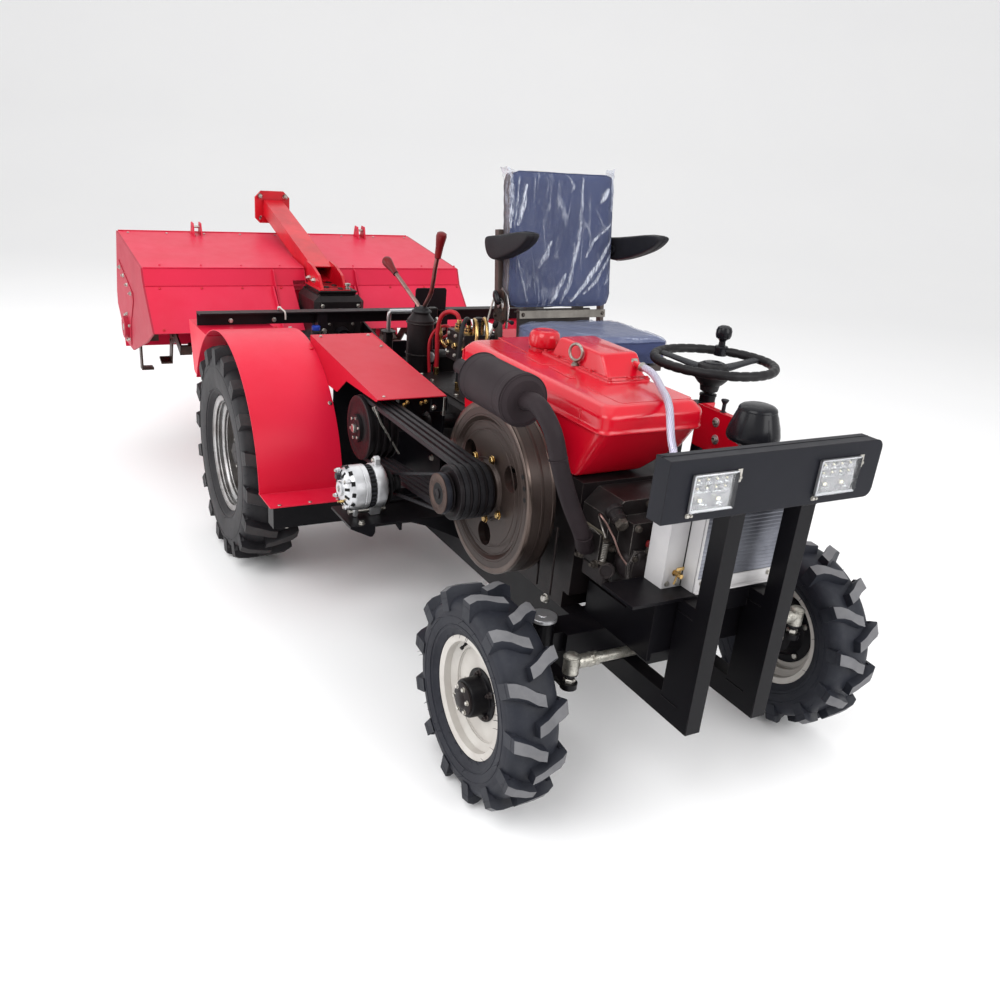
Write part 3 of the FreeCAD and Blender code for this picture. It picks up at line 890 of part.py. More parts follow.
# barrel
eye = Part.makeCylinder(22.0, 40.0, V(bx, byc - 20.0, bz), V(0, 1, 0))
tube = Part.makeCylinder(25.5, 232.0, V(bx, byc, bz) + cdir * 18.0, cdir)
gland = Part.makeCylinder(31.0, 18.0, V(bx, byc, bz) + cdir * 240.0, cdir)
bore = Part.makeCylinder(15.4, 230.0, V(bx, byc, bz) + cdir * 36.0, cdir)
barrel = eye.fuse([tube, gland]).cut(bore).cut(Part.makeCylinder(10.3, 60.0, V(bx, byc - 30.0, bz), V(0, 1, 0))).removeSplitter()
node("lift_cylinder_barrel", raw(barrel, "lift_cylinder_barrel"))
rodb = Part.makeCylinder(15.0, clen - 20.0 - 130.0, V(bx, byc, bz) + cdir * 130.0, cdir)
reye = Part.makeCylinder(23.0, 40.0, V(ex, byc - 20.0, ez), V(0, 1, 0))
rodb = rodb.fuse(reye).cut(Part.makeCylinder(14.0, 60.0, V(ex, byc - 30.0, ez), V(0, 1, 0))).removeSplitter()
node("lift_cylinder_rod", raw(rodb, "lift_cylinder_rod"))

# =============================================================== check and write
doc.recompute()
bad = []
for o in doc.Objects:
    if any(k in str(o.State) for k in ("Invalid", "Error")):
        bad.append("%s (%s) state %s" % (o.Name, o.Label, o.State))
for name, o in NODES:
    if o.Shape.isNull() or not o.Shape.isValid() or not o.Shape.Solids:
        bad.append("node %s has a bad shape" % name)
if bad:
    raise RuntimeError("; ".join(bad))
names = [n for n, _ in NODES]
assert len(set(names)) == len(names) and len(names) <= 60
os.makedirs("parts", exist_ok=True)
box_all = FreeCAD.BoundBox()
for name, o in NODES:
    o.Shape.exportStep("parts/%s.step" % name)
    b = o.Shape.optimalBoundingBox(True, False)
    box_all.add(b)
    print("%-24s solids %2d  x %8.1f %8.1f  y %8.1f %8.1f  z %7.1f %7.1f  vol %9.1f cm3" % (name, len(o.Shape.Solids), b.XMin - SX.v, b.XMax - SX.v, b.YMin - SY.v, b.YMax - SY.v, b.ZMin, b.ZMax, o.Shape.Volume / 1000.0))
print("nodes", len(NODES), "outline x %.1f %.1f y %.1f %.1f z %.1f %.1f" % (box_all.XMin, box_all.XMax, box_all.YMin, box_all.YMax, box_all.ZMin, box_all.ZMax))
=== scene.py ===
"""Looks of the four-wheel rotary tiller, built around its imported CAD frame."""
import bpy, bmesh, json, math, random
from mathutils import Matrix, Vector, noise


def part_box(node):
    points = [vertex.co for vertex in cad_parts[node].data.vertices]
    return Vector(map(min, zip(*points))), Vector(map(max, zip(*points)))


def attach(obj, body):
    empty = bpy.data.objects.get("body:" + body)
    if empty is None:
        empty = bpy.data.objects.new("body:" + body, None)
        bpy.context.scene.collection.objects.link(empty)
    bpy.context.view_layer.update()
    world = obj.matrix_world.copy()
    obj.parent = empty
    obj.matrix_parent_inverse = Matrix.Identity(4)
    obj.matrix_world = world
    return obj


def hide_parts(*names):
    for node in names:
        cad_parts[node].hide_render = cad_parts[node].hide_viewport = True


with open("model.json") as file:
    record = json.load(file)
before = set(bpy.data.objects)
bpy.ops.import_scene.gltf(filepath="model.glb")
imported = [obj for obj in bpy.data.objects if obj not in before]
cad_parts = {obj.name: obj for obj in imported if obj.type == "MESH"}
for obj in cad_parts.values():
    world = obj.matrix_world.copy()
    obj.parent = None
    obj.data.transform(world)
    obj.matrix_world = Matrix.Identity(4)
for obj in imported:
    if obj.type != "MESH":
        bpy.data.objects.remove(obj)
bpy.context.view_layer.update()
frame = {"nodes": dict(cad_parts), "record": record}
NODES = frame["nodes"]
SLOTS = {m.get("slot") for m in frame["record"].get("materials", [])}
_a, _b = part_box("front_axle_beam")
SX, SY = (_a.x + _b.x) / 2.0, (_a.y + _b.y) / 2.0       # front axle centre in the row frame
rnd = random.Random(7)


def W(x, y, z):
    """Point in millimetres from the ground under the front axle, to the row frame in metres."""
    return Vector((x / 1000.0 + SX, y / 1000.0 + SY, z / 1000.0))


# ================================================================ materials
def srgb(r, g, b):
    def f(c):
        c /= 255.0
        return c / 12.92 if c <= 0.04045 else ((c + 0.055) / 1.055) ** 2.4
    return (f(r), f(g), f(b), 1.0)


class Mat:
    def __init__(self, name, bevel=0.0, samples=3):
        self.m = bpy.data.materials.new(name)
        self.m.use_nodes = True
        self.nt = self.m.node_tree
        self.b = self.nt.nodes["Principled BSDF"]
        self.tc = self.nt.nodes.new("ShaderNodeTexCoord")
        self.geo = self.nt.nodes.new("ShaderNodeNewGeometry")
        self.normal = None
        self.bev = None
        if bevel:
            n = self.nt.nodes.new("ShaderNodeBevel")
            n.samples = samples
            n.inputs["Radius"].default_value = bevel
            self.bev = n.outputs[0]
            self.normal = n.outputs[0]

    def new(self, kind, **kw):
        n = self.nt.nodes.new(kind)
        for k, v in kw.items():
            setattr(n, k, v)
        return n

    def link(self, a, b):
        self.nt.links.new(a, b)

    def vec(self, scale=(1, 1, 1), rot=(0, 0, 0)):
        mp = self.new("ShaderNodeMapping")
        mp.inputs["Scale"].default_value = scale
        mp.inputs["Rotation"].default_value = rot
        self.link(self.tc.outputs["Object"], mp.inputs["Vector"])
        return mp.outputs[0]

    def noise(self, scale, detail=3.0, rough=0.55, dist=0.0, vec=None):
        n = self.new("ShaderNodeTexNoise")
        n.inputs["Scale"].default_value = scale
        n.inputs["Detail"].default_value = detail
        n.inputs["Roughness"].default_value = rough
        n.inputs["Distortion"].default_value = dist
        self.link(vec if vec is not None else self.tc.outputs["Object"], n.inputs["Vector"])
        return n.outputs["Fac"]

    def voronoi(self, scale, feature="F1", vec=None):
        n = self.new("ShaderNodeTexVoronoi", feature=feature)
        n.inputs["Scale"].default_value = scale
        self.link(vec if vec is not None else self.tc.outputs["Object"], n.inputs["Vector"])
        return n.outputs["Distance"]

    def wave(self, scale, vec=None, direction="X", dist=0.0, detail=1.0, profile="SIN"):
        n = self.new("ShaderNodeTexWave", bands_direction=direction, wave_profile=profile)
        n.inputs["Scale"].default_value = scale
        n.inputs["Distortion"].default_value = dist
        n.inputs["Detail"].default_value = detail
        self.link(vec if vec is not None else self.tc.outputs["Object"], n.inputs["Vector"])
        return n.outputs["Fac"]

    def ramp(self, fac, stops):
        n = self.new("ShaderNodeValToRGB")
        e = n.color_ramp.elements
        while len(e) < len(stops):
            e.new(0.5)
        for i, (p, c) in enumerate(stops):
            e[i].position = p
            e[i].color = c if hasattr(c, "__len__") else (c, c, c, 1.0)
        self.link(fac, n.inputs[0])
        return n.outputs[0]

    def math(self, op, a, b=None, clamp=False):
        n = self.new("ShaderNodeMath", operation=op, use_clamp=clamp)
        for i, v in enumerate((a, b)):
            if v is None:
                continue
            if isinstance(v, (int, float)):
                n.inputs[i].default_value = v
            else:
                self.link(v, n.inputs[i])
        return n.outputs[0]

    def mix(self, fac, a, b, blend="MIX"):
        n = self.new("ShaderNodeMix", data_type="RGBA", blend_type=blend)
        for k, v in ((0, fac), (6, a), (7, b)):
            if isinstance(v, (int, float)):
                n.inputs[k].default_value = v
            elif hasattr(v, "__len__"):
                n.inputs[k].default_value = v
            else:
                self.link(v, n.inputs[k])
        return n.outputs[2]

    def map(self, fac, lo, hi):
        n = self.new("ShaderNodeMapRange")
        n.inputs["To Min"].default_value = lo
        n.inputs["To Max"].default_value = hi
        self.link(fac, n.inputs["Value"])
        return n.outputs[0]

    def bump(self, height, strength=0.3, dist=0.001):
        n = self.new("ShaderNodeBump")
        n.inputs["Strength"].default_value = strength
        n.inputs["Distance"].default_value = dist
        self.link(height, n.inputs["Height"])
        if self.normal is not None:
            self.link(self.normal, n.inputs["Normal"])
        self.normal = n.outputs[0]
        return self

    def edges(self, lo=0.02, hi=0.16):
        """1 along rounded edges, 0 on flats."""
        d = self.new("ShaderNodeVectorMath", operation="DOT_PRODUCT")
        self.link(self.bev, d.inputs[0])
        self.link(self.geo.outputs["Normal"], d.inputs[1])
        inv = self.math("SUBTRACT", 1.0, d.outputs["Value"])
        return self.ramp(inv, [(lo, 0.0), (hi, 1.0)])

    def up(self, lo=0.55, hi=0.98):
        s = self.new("ShaderNodeSeparateXYZ")
        self.link(self.geo.outputs["Normal"], s.inputs[0])
        return self.ramp(s.outputs["Z"], [(lo, 0.0), (hi, 1.0)])

    def done(self, color=None, rough=None, metal=0.0, coat=0.0, coat_rough=0.1, spec=0.5, trans=0.0, ior=1.45, alpha=None, sheen=0.0, emission=None):
        b = self.b.inputs
        for key, v in (("Base Color", color), ("Roughness", rough), ("Alpha", alpha)):
            if v is None:
                continue
            if isinstance(v, (int, float)):
                b[key].default_value = v
            elif hasattr(v, "__len__"):
                b[key].default_value = v
            else:
                self.link(v, b[key])
        if isinstance(metal, (int, float)):
            b["Metallic"].default_value = metal
        else:
            self.link(metal, b["Metallic"])
        b["Coat Weight"].default_value = coat
        b["Coat Roughness"].default_value = coat_rough
        b["Specular IOR Level"].default_value = spec
        b["Transmission Weight"].default_value = trans
        b["IOR"].default_value = ior
        b["Sheen Weight"].default_value = sheen
        if sheen:
            b["Sheen Roughness"].default_value = 0.4
        if emission is not None:
            b["Emission Color"].default_value = emission[0]
            b["Emission Strength"].default_value = emission[1]
        if self.normal is not None:
            self.link(self.normal, b["Normal"])
            if coat:
                self.link(self.normal, b["Coat Normal"])
        return self.m


def paint(name, base, shade, rough=(0.28, 0.42), coat=0.0, coat_rough=0.08, bevel=0.0018, peel=0.12, edge=None, edge_amount=0.5, patch_tint=None, patch_tint_amount=0.25, spec=0.5, big=2.6, chips=None):
    """Sprayed or brushed paint: tone drifts over the sheet, orange peel, a tint along the edges, a patchy tint on what
    faces up. The edge tint is wear on the dark paints and a painted highlight on the reds, the cream rims and the
    radiator; the top tint is a dusting on the dark paints and the radiator and a painted sheen on the reds.
    """
    k = Mat(name, bevel)
    n1 = k.noise(big, 4.0, 0.55, 0.4)
    col = k.mix(k.ramp(n1, [(0.32, 0.0), (0.70, 1.0)]), base, shade)
    fine = k.noise(62.0, 5.0, 0.65)
    # tint along the edges: wear on the dark paints, a painted highlight on the reds, the cream rims and the radiator
    if edge is not None:
        edge_tint_mask = k.math("MULTIPLY", k.edges(), k.ramp(fine, [(0.38, 0.25), (0.66, 1.0)]))
        col = k.mix(k.math("MULTIPLY", edge_tint_mask, edge_amount), col, edge)
    if chips is not None:
        spots = k.ramp(k.noise(210.0, 2.0, 0.5), [(0.74, 0.0), (0.79, 1.0)])
        col = k.mix(k.math("MULTIPLY", spots, 0.6), col, chips)
    # patchy tint on what faces up: a dusting on the dark paints and the radiator, a painted sheen on the reds
    if patch_tint is not None:
        d = k.math("MULTIPLY", k.up(), k.ramp(k.noise(9.0, 6.0, 0.7), [(0.35, 0.0), (0.75, 1.0)]))
        col = k.mix(k.math("MULTIPLY", d, patch_tint_amount), col, patch_tint)
    r = k.map(k.noise(17.0, 5.0, 0.6), rough[0], rough[1])
    k.bump(k.noise(420.0, 2.0, 0.5), peel, 0.0004)
    k.bump(k.noise(14.0, 2.0, 0.5), 0.10, 0.0012)
    return k.done(col, r, 0.0, coat, coat_rough, spec)


def metal(name, base, shade, rough=(0.25, 0.45), bevel=0.0012, grain=(1, 1, 1), grain_scale=120.0, grain_amount=0.15, spots=None, spots_scale=26.0, spots_range=(0.55, 0.72), big=8.0, metallic=1.0, cast=0.0, edge=None, edge_amount=0.6, spec=0.22):
    k = Mat(name, bevel)
    col = k.mix(k.ramp(k.noise(big, 5.0, 0.6), [(0.3, 0.0), (0.7, 1.0)]), base, shade)
    if edge is not None:
        edge_tint_mask = k.math("MULTIPLY", k.edges(), k.ramp(k.noise(55.0, 4.0, 0.6), [(0.34, 0.3), (0.62, 1.0)]))
        col = k.mix(k.math("MULTIPLY", edge_tint_mask, edge_amount), col, edge)
    m = metallic
    r = k.map(k.noise(30.0, 5.0, 0.65), rough[0], rough[1])
    if spots is not None:
        s = k.ramp(k.noise(spots_scale, 7.0, 0.7, 0.3), [(spots_range[0], 0.0), (spots_range[1], 1.0)])
        col = k.mix(s, col, spots)
        m = k.math("MULTIPLY", k.math("SUBTRACT", 1.0, s), metallic)
    k.bump(k.noise(grain_scale, 3.0, 0.6, 0.0, k.vec(grain)), grain_amount, 0.0004)
    if cast:
        k.bump(k.noise(330.0, 4.0, 0.7), cast, 0.0009)
    return k.done(col, r, m, spec=spec)


def rubber(name, base, shade, rough=(0.5, 0.7), patch_tint=None, patch_tint_amount=0.35, bevel=0.0, pores=0.15, big=5.0, spec=0.25):
    k = Mat(name, bevel)
    col = k.mix(k.ramp(k.noise(big, 5.0, 0.6), [(0.3, 0.0), (0.72, 1.0)]), base, shade)
    if patch_tint is not None:
        d = k.ramp(k.noise(34.0, 7.0, 0.75), [(0.46, 0.0), (0.8, 1.0)])
        col = k.mix(k.math("MULTIPLY", d, patch_tint_amount), col, patch_tint)
    r = k.map(k.noise(22.0, 4.0, 0.6), rough[0], rough[1])
    k.bump(k.noise(300.0, 3.0, 0.6), pores, 0.0005)
    return k.done(col, r, 0.0, spec=spec)


M = {}
# reds: satin sheet metal, and the brighter gloss of the pressed tank; on every red the light tint along the edges is a
# painted highlight, and where set the pink tint on what faces up is a painted sheen
M["red_sheet"] = paint("red_sheet", srgb(214, 20, 58), srgb(200, 14, 44), (0.34, 0.48), 0.08, 0.3, 0.0016, 0.10, srgb(240, 100, 124), 0.45, srgb(226, 100, 124), 0.10, spec=0.3, big=1.5)
M["red_deck"] = paint("red_deck", srgb(188, 12, 42), srgb(176, 9, 34), (0.36, 0.50), 0.06, 0.3, 0.0016, 0.10, srgb(226, 84, 108), 0.4, srgb(206, 84, 106), 0.10, spec=0.26, big=1.5)
M["red_end"] = paint("red_end", srgb(176, 34, 60), srgb(158, 26, 48), (0.4, 0.54), 0.04, 0.3, 0.0016, 0.14, srgb(210, 104, 122), 0.4, srgb(190, 108, 122), 0.16, spec=0.24, big=1.2)
M["red_tiller"] = paint("red_tiller", srgb(214, 26, 68), srgb(200, 18, 52), (0.36, 0.50), 0.06, 0.3, 0.0016, 0.12, srgb(240, 100, 124), 0.45, srgb(230, 116, 140), 0.14, spec=0.3, big=1.2)
M["red_gloss"] = paint("red_gloss", srgb(203, 8, 36), srgb(186, 5, 27), (0.2, 0.3), 0.45, 0.08, 0.004, 0.05, srgb(240, 70, 80), 0.35, None, 0.0, big=2.2, spec=0.4)
M["red_cast"] = paint("red_cast", srgb(206, 12, 34), srgb(176, 8, 26), (0.30, 0.46), 0.2, 0.2, 0.0015, 0.35, srgb(236, 90, 104), 0.45, None, 0.0, big=9.0, spec=0.35)
# blacks
M["black_frame"] = paint("black_frame", srgb(13, 12, 16), srgb(8, 7, 10), (0.28, 0.44), 0.0, 0.2, 0.0018, 0.14, srgb(74, 68, 70), 0.35, srgb(56, 50, 50), 0.16, big=3.0, chips=srgb(52, 46, 44), spec=0.16)
M["black_panel"] = paint("black_panel", srgb(26, 27, 34), srgb(19, 20, 26), (0.36, 0.48), 0.0, 0.3, 0.003, 0.22, srgb(80, 72, 70), 0.35, srgb(60, 56, 58), 0.10, big=2.0, spec=0.18)
M["black_beam"] = paint("black_beam", srgb(25, 18, 22), srgb(16, 12, 16), (0.34, 0.50), 0.0, 0.3, 0.0018, 0.18, srgb(80, 64, 64), 0.3, srgb(56, 46, 46), 0.14, big=2.6, spec=0.16)
M["engine_black"] = metal("engine_black", srgb(40, 34, 35), srgb(20, 17, 19), (0.30, 0.50), 0.0022, (1, 1, 1), 90.0, 0.2, srgb(28, 23, 23), 20.0, (0.55, 0.75), 7.0, 0.30, 0.5, srgb(118, 108, 104), 0.6)
M["head_grey"] = metal("head_grey", srgb(58, 54, 54), srgb(32, 28, 29), (0.28, 0.46), 0.0020, (1, 1, 1), 90.0, 0.2, srgb(30, 25, 25), 26.0, (0.52, 0.74), 9.0, 0.45, 0.45, srgb(190, 184, 178), 0.9)
M["edge_steel"] = metal("edge_steel", srgb(178, 174, 168), srgb(110, 104, 100), (0.26, 0.42), 0.0, (1, 1, 1), 160.0, 0.25, srgb(60, 54, 50), 60.0, (0.60, 0.8), 12.0)
M["muffler"] = paint("muffler", srgb(46, 38, 41), srgb(34, 28, 31), (0.50, 0.66), 0.0, 0.3, 0.0012, 0.9, srgb(76, 66, 66), 0.3, None, 0.0, big=5.0, spec=0.15)
M["pipe"] = paint("pipe", srgb(56, 53, 58), srgb(44, 42, 48), (0.42, 0.58), 0.0, 0.3, 0.0, 0.25, None, 0.0, None, 0.0, big=6.0)
# irons and steels
M["flywheel"] = metal("flywheel", srgb(66, 54, 49), srgb(50, 43, 41), (0.32, 0.44), 0.0018, (1, 1, 1), 60.0, 0.12, srgb(46, 35, 32), 5.0, (0.46, 0.80), 3.0, 0.42, 0.12, spec=0.3)
M["rim_polish"] = metal("rim_polish", srgb(104, 92, 86), srgb(70, 60, 57), (0.24, 0.38), 0.0, (1, 1, 1), 80.0, 0.1, srgb(80, 66, 60), 14.0, (0.5, 0.8), 5.0)
M["pulley"] = metal("pulley", srgb(38, 34, 36), srgb(24, 22, 24), (0.34, 0.5), 0.0012, (1, 1, 1), 120.0, 0.3, srgb(24, 20, 20), 30.0, (0.5, 0.75), 10.0, 0.35, 0.3)
M["zinc"] = metal("zinc", srgb(206, 203, 196), srgb(150, 146, 140), (0.26, 0.44), 0.0, (1, 1, 1), 200.0, 0.25, srgb(78, 70, 64), 90.0, (0.60, 0.80), 20.0)
M["dim_zinc"] = metal("dim_zinc", srgb(112, 106, 100), srgb(52, 46, 42), (0.34, 0.55), 0.0012, (1, 1, 1), 200.0, 0.5, srgb(40, 34, 30), 90.0, (0.42, 0.66), 20.0, 1.0, 0.5)
M["seat_bar"] = metal("seat_bar", srgb(128, 124, 118), srgb(92, 88, 84), (0.4, 0.56), 0.0014, (1, 1, 1), 60.0, 0.3, srgb(84, 74, 66), 12.0, (0.58, 0.82), 12.0)
M["zinc_rod"] = metal("zinc_rod", srgb(190, 188, 180), srgb(120, 116, 108), (0.3, 0.5), 0.0012, (1, 1, 1), 240.0, 0.5, srgb(62, 56, 50), 120.0, (0.5, 0.72), 26.0, 1.0, 0.5)
M["galv"] = metal("galv", srgb(196, 196, 196), srgb(140, 136, 134), (0.24, 0.38), 0.0016, (1, 1, 1), 50.0, 0.2, srgb(118, 98, 88), 9.0, (0.62, 0.85), 12.0)
M["chrome"] = metal("chrome", srgb(225, 226, 228), srgb(190, 192, 196), (0.06, 0.16), 0.0, (1, 1, 1), 200.0, 0.05)
M["brass"] = metal("brass", srgb(206, 176, 118), srgb(150, 118, 72), (0.18, 0.34), 0.0, (1, 1, 1), 160.0, 0.15, srgb(120, 84, 30), 60.0, (0.66, 0.85), 18.0)
M["aluminium"] = metal("aluminium", srgb(226, 226, 228), srgb(186, 187, 190), (0.30, 0.44), 0.0016, (1, 1, 1), 140.0, 0.2, srgb(150, 148, 146), 40.0, (0.66, 0.86), 8.0, 0.9, 0.35)
M["blade"] = metal("blade", srgb(92, 74, 66), srgb(56, 44, 42), (0.32, 0.5), 0.002, (1, 1, 1), 80.0, 0.3, srgb(46, 33, 30), 16.0, (0.46, 0.68), 8.0, 0.75, 0.4)
M["lever_steel"] = metal("lever_steel", srgb(158, 128, 122), srgb(104, 84, 80), (0.26, 0.42), 0.0, (1, 1, 1), 120.0, 0.2, srgb(90, 62, 56), 34.0, (0.55, 0.78), 14.0)
M["old_iron"] = metal("old_iron", srgb(78, 66, 60), srgb(44, 38, 36), (0.4, 0.6), 0.0014, (1, 1, 1), 90.0, 0.3, srgb(74, 46, 34), 22.0, (0.5, 0.72), 9.0, 0.6, 0.6)
M["rail_brown"] = paint("rail_brown", srgb(74, 60, 54), srgb(52, 42, 40), (0.36, 0.5), 0.1, 0.3, 0.001, 0.2, srgb(120, 104, 96), 0.5, None, 0.0, big=6.0)
# cream rims: the whiter tint along the edges is a painted highlight; the darker chips are real
M["cream_rim"] = paint("cream_rim", srgb(198, 194, 188), srgb(178, 172, 166), (0.34, 0.5), 0.15, 0.3, 0.0016, 0.15, srgb(236, 234, 230), 0.4, None, 0.0, big=9.0, chips=srgb(150, 138, 126))
# radiator: the white tint along the edges is a painted highlight; the beige tint on what faces up is dust
M["radiator"] = paint("radiator", srgb(200, 198, 198), srgb(182, 180, 182), (0.30, 0.44), 0.2, 0.2, 0.0016, 0.12, srgb(240, 240, 240), 0.6, srgb(190, 180, 170), 0.12, big=5.0)
M["rad_core"] = metal("rad_core", srgb(128, 130, 138), srgb(92, 94, 102), (0.35, 0.5), 0.0, (1, 1, 1), 120.0, 0.2, None, 26.0, (0.5, 0.7), 10.0, 0.7)
# rubbers and plastics
M["tyre"] = rubber("tyre", srgb(40, 42, 50), srgb(26, 28, 35), (0.42, 0.60), srgb(70, 72, 76), 0.22)
M["tyre_side"] = rubber("tyre_side", srgb(34, 36, 44), srgb(25, 26, 34), (0.46, 0.64), srgb(62, 62, 68), 0.25)
M["lug_top"] = rubber("lug_top", srgb(112, 112, 115), srgb(92, 92, 95), (0.62, 0.78), srgb(122, 121, 120), 0.4, 0.0, 0.35, 12.0)
M["tyre_rear"] = rubber("tyre_rear", srgb(36, 35, 38), srgb(26, 25, 29), (0.44, 0.62), srgb(62, 56, 54), 0.3)
M["lug_rear"] = rubber("lug_rear", srgb(58, 55, 56), srgb(42, 40, 42), (0.6, 0.75), srgb(74, 68, 64), 0.4, 0.0, 0.35, 12.0)
M["belt"] = rubber("belt", srgb(34, 33, 36), srgb(22, 21, 24), (0.42, 0.6), srgb(52, 50, 52), 0.3, 0.0006, 0.3, 14.0)
M["rubber"] = rubber("rubber", srgb(30, 29, 31), srgb(20, 19, 21), (0.4, 0.55), None, 0.0, 0.0)
M["black_plastic"] = rubber("black_plastic", srgb(36, 37, 42), srgb(28, 29, 33), (0.32, 0.46), None, 0.0, 0.0012, 0.25, 7.0)
M["gloss_plastic"] = rubber("gloss_plastic", srgb(26, 26, 30), srgb(18, 18, 22), (0.16, 0.28), None, 0.0, 0.001, 0.05, 7.0)
M["arm_foam"] = rubber("arm_foam", srgb(30, 30, 34), srgb(24, 24, 28), (0.5, 0.62), srgb(46, 46, 50), 0.2, 0.0, 0.5, 9.0)
M["grip_red"] = rubber("grip_red", srgb(112, 22, 26), srgb(84, 14, 18), (0.24, 0.38), None, 0.0, 0.0008, 0.1, 16.0)
M["hose_red"] = rubber("hose_red", srgb(176, 34, 44), srgb(140, 22, 32), (0.3, 0.45), None, 0.0, 0.0, 0.1, 16.0)
M["blue_cap"] = rubber("blue_cap", srgb(44, 70, 170), srgb(30, 50, 130), (0.3, 0.4), None, 0.0, 0.0, 0.1, 16.0)
M["gasket"] = rubber("gasket", srgb(120, 114, 100), srgb(94, 88, 78), (0.6, 0.8), None, 0.0, 0.0, 0.2, 16.0)
# near-black; in the hand holes, the balance holes, the cooling windows and the radiator gap it is painted shade
M["vent_dark"] = rubber("vent_dark", srgb(18, 17, 19), srgb(12, 12, 13), (0.55, 0.7), None, 0.0, 0.0, 0.1, 16.0)


def braided():
    """Clear hose with a silver braid under the skin."""
    k = Mat("braided_hose")
    a = k.wave(330.0, k.vec((1, 1, 1), (0.6, 0.0, 0.78)), "X")
    b = k.wave(330.0, k.vec((1, 1, 1), (0.0, 0.6, -0.78)), "Y")
    cross = k.math("MAXIMUM", a, b)
    col = k.mix(k.ramp(cross, [(0.45, 0.0), (0.85, 1.0)]), srgb(96, 86, 120), srgb(206, 202, 220))
    k.bump(cross, 0.35, 0.0008)
    return k.done(col, k.map(k.noise(60.0), 0.16, 0.30), 0.35, 0.4, 0.1)


def lens():
    k = Mat("lamp_lens")
    k.bump(k.wave(420.0, k.vec(), "Z"), 0.10, 0.0004)
    return k.done(srgb(236, 240, 244), 0.04, 0.0, 0.0, 0.05, 0.5, 0.92, 1.35, 0.28)


def reflector():
    k = Mat("lamp_reflector")
    k.bump(k.voronoi(150.0), 0.5, 0.002)
    col = k.mix(k.noise(60.0), srgb(190, 190, 190), srgb(118, 119, 122))
    return k.done(col, 0.10, 1.0)


def led():
    k = Mat("lamp_led")
    col = k.mix(k.noise(300.0), srgb(250, 246, 226), srgb(236, 220, 170))
    return k.done(col, 0.3, 0.0, 0.5, 0.05, emission=(srgb(255, 250, 236), 0.5))


M["braid"], M["lens"], M["reflector"], M["led"] = braided(), lens(), reflector(), led()


def label_blank():
    k = Mat("blank_plate")
    k.bump(k.noise(500.0, 2.0), 0.1, 0.0003)
    return k.done(k.mix(k.noise(20.0), srgb(200, 200, 202), srgb(168, 168, 172)), k.map(k.noise(40.0), 0.24, 0.4), 0.9)


M["blank_plate"] = label_blank()


# ================================================================ mesh building
AX = {"x": Vector((1, 0, 0)), "y": Vector((0, 1, 0)), "z": Vector((0, 0, 1)), "-x": Vector((-1, 0, 0)), "-y": Vector((0, -1, 0)), "-z": Vector((0, 0, -1))}


def axes_of(axis):
    w = AX[axis] if isinstance(axis, str) else Vector(axis).normalized()
    ref = Vector((0, 0, 1)) if abs(w.z) < 0.9 else Vector((1, 0, 0))
    u = ref.cross(w).normalized()
    return u, w.cross(u), w


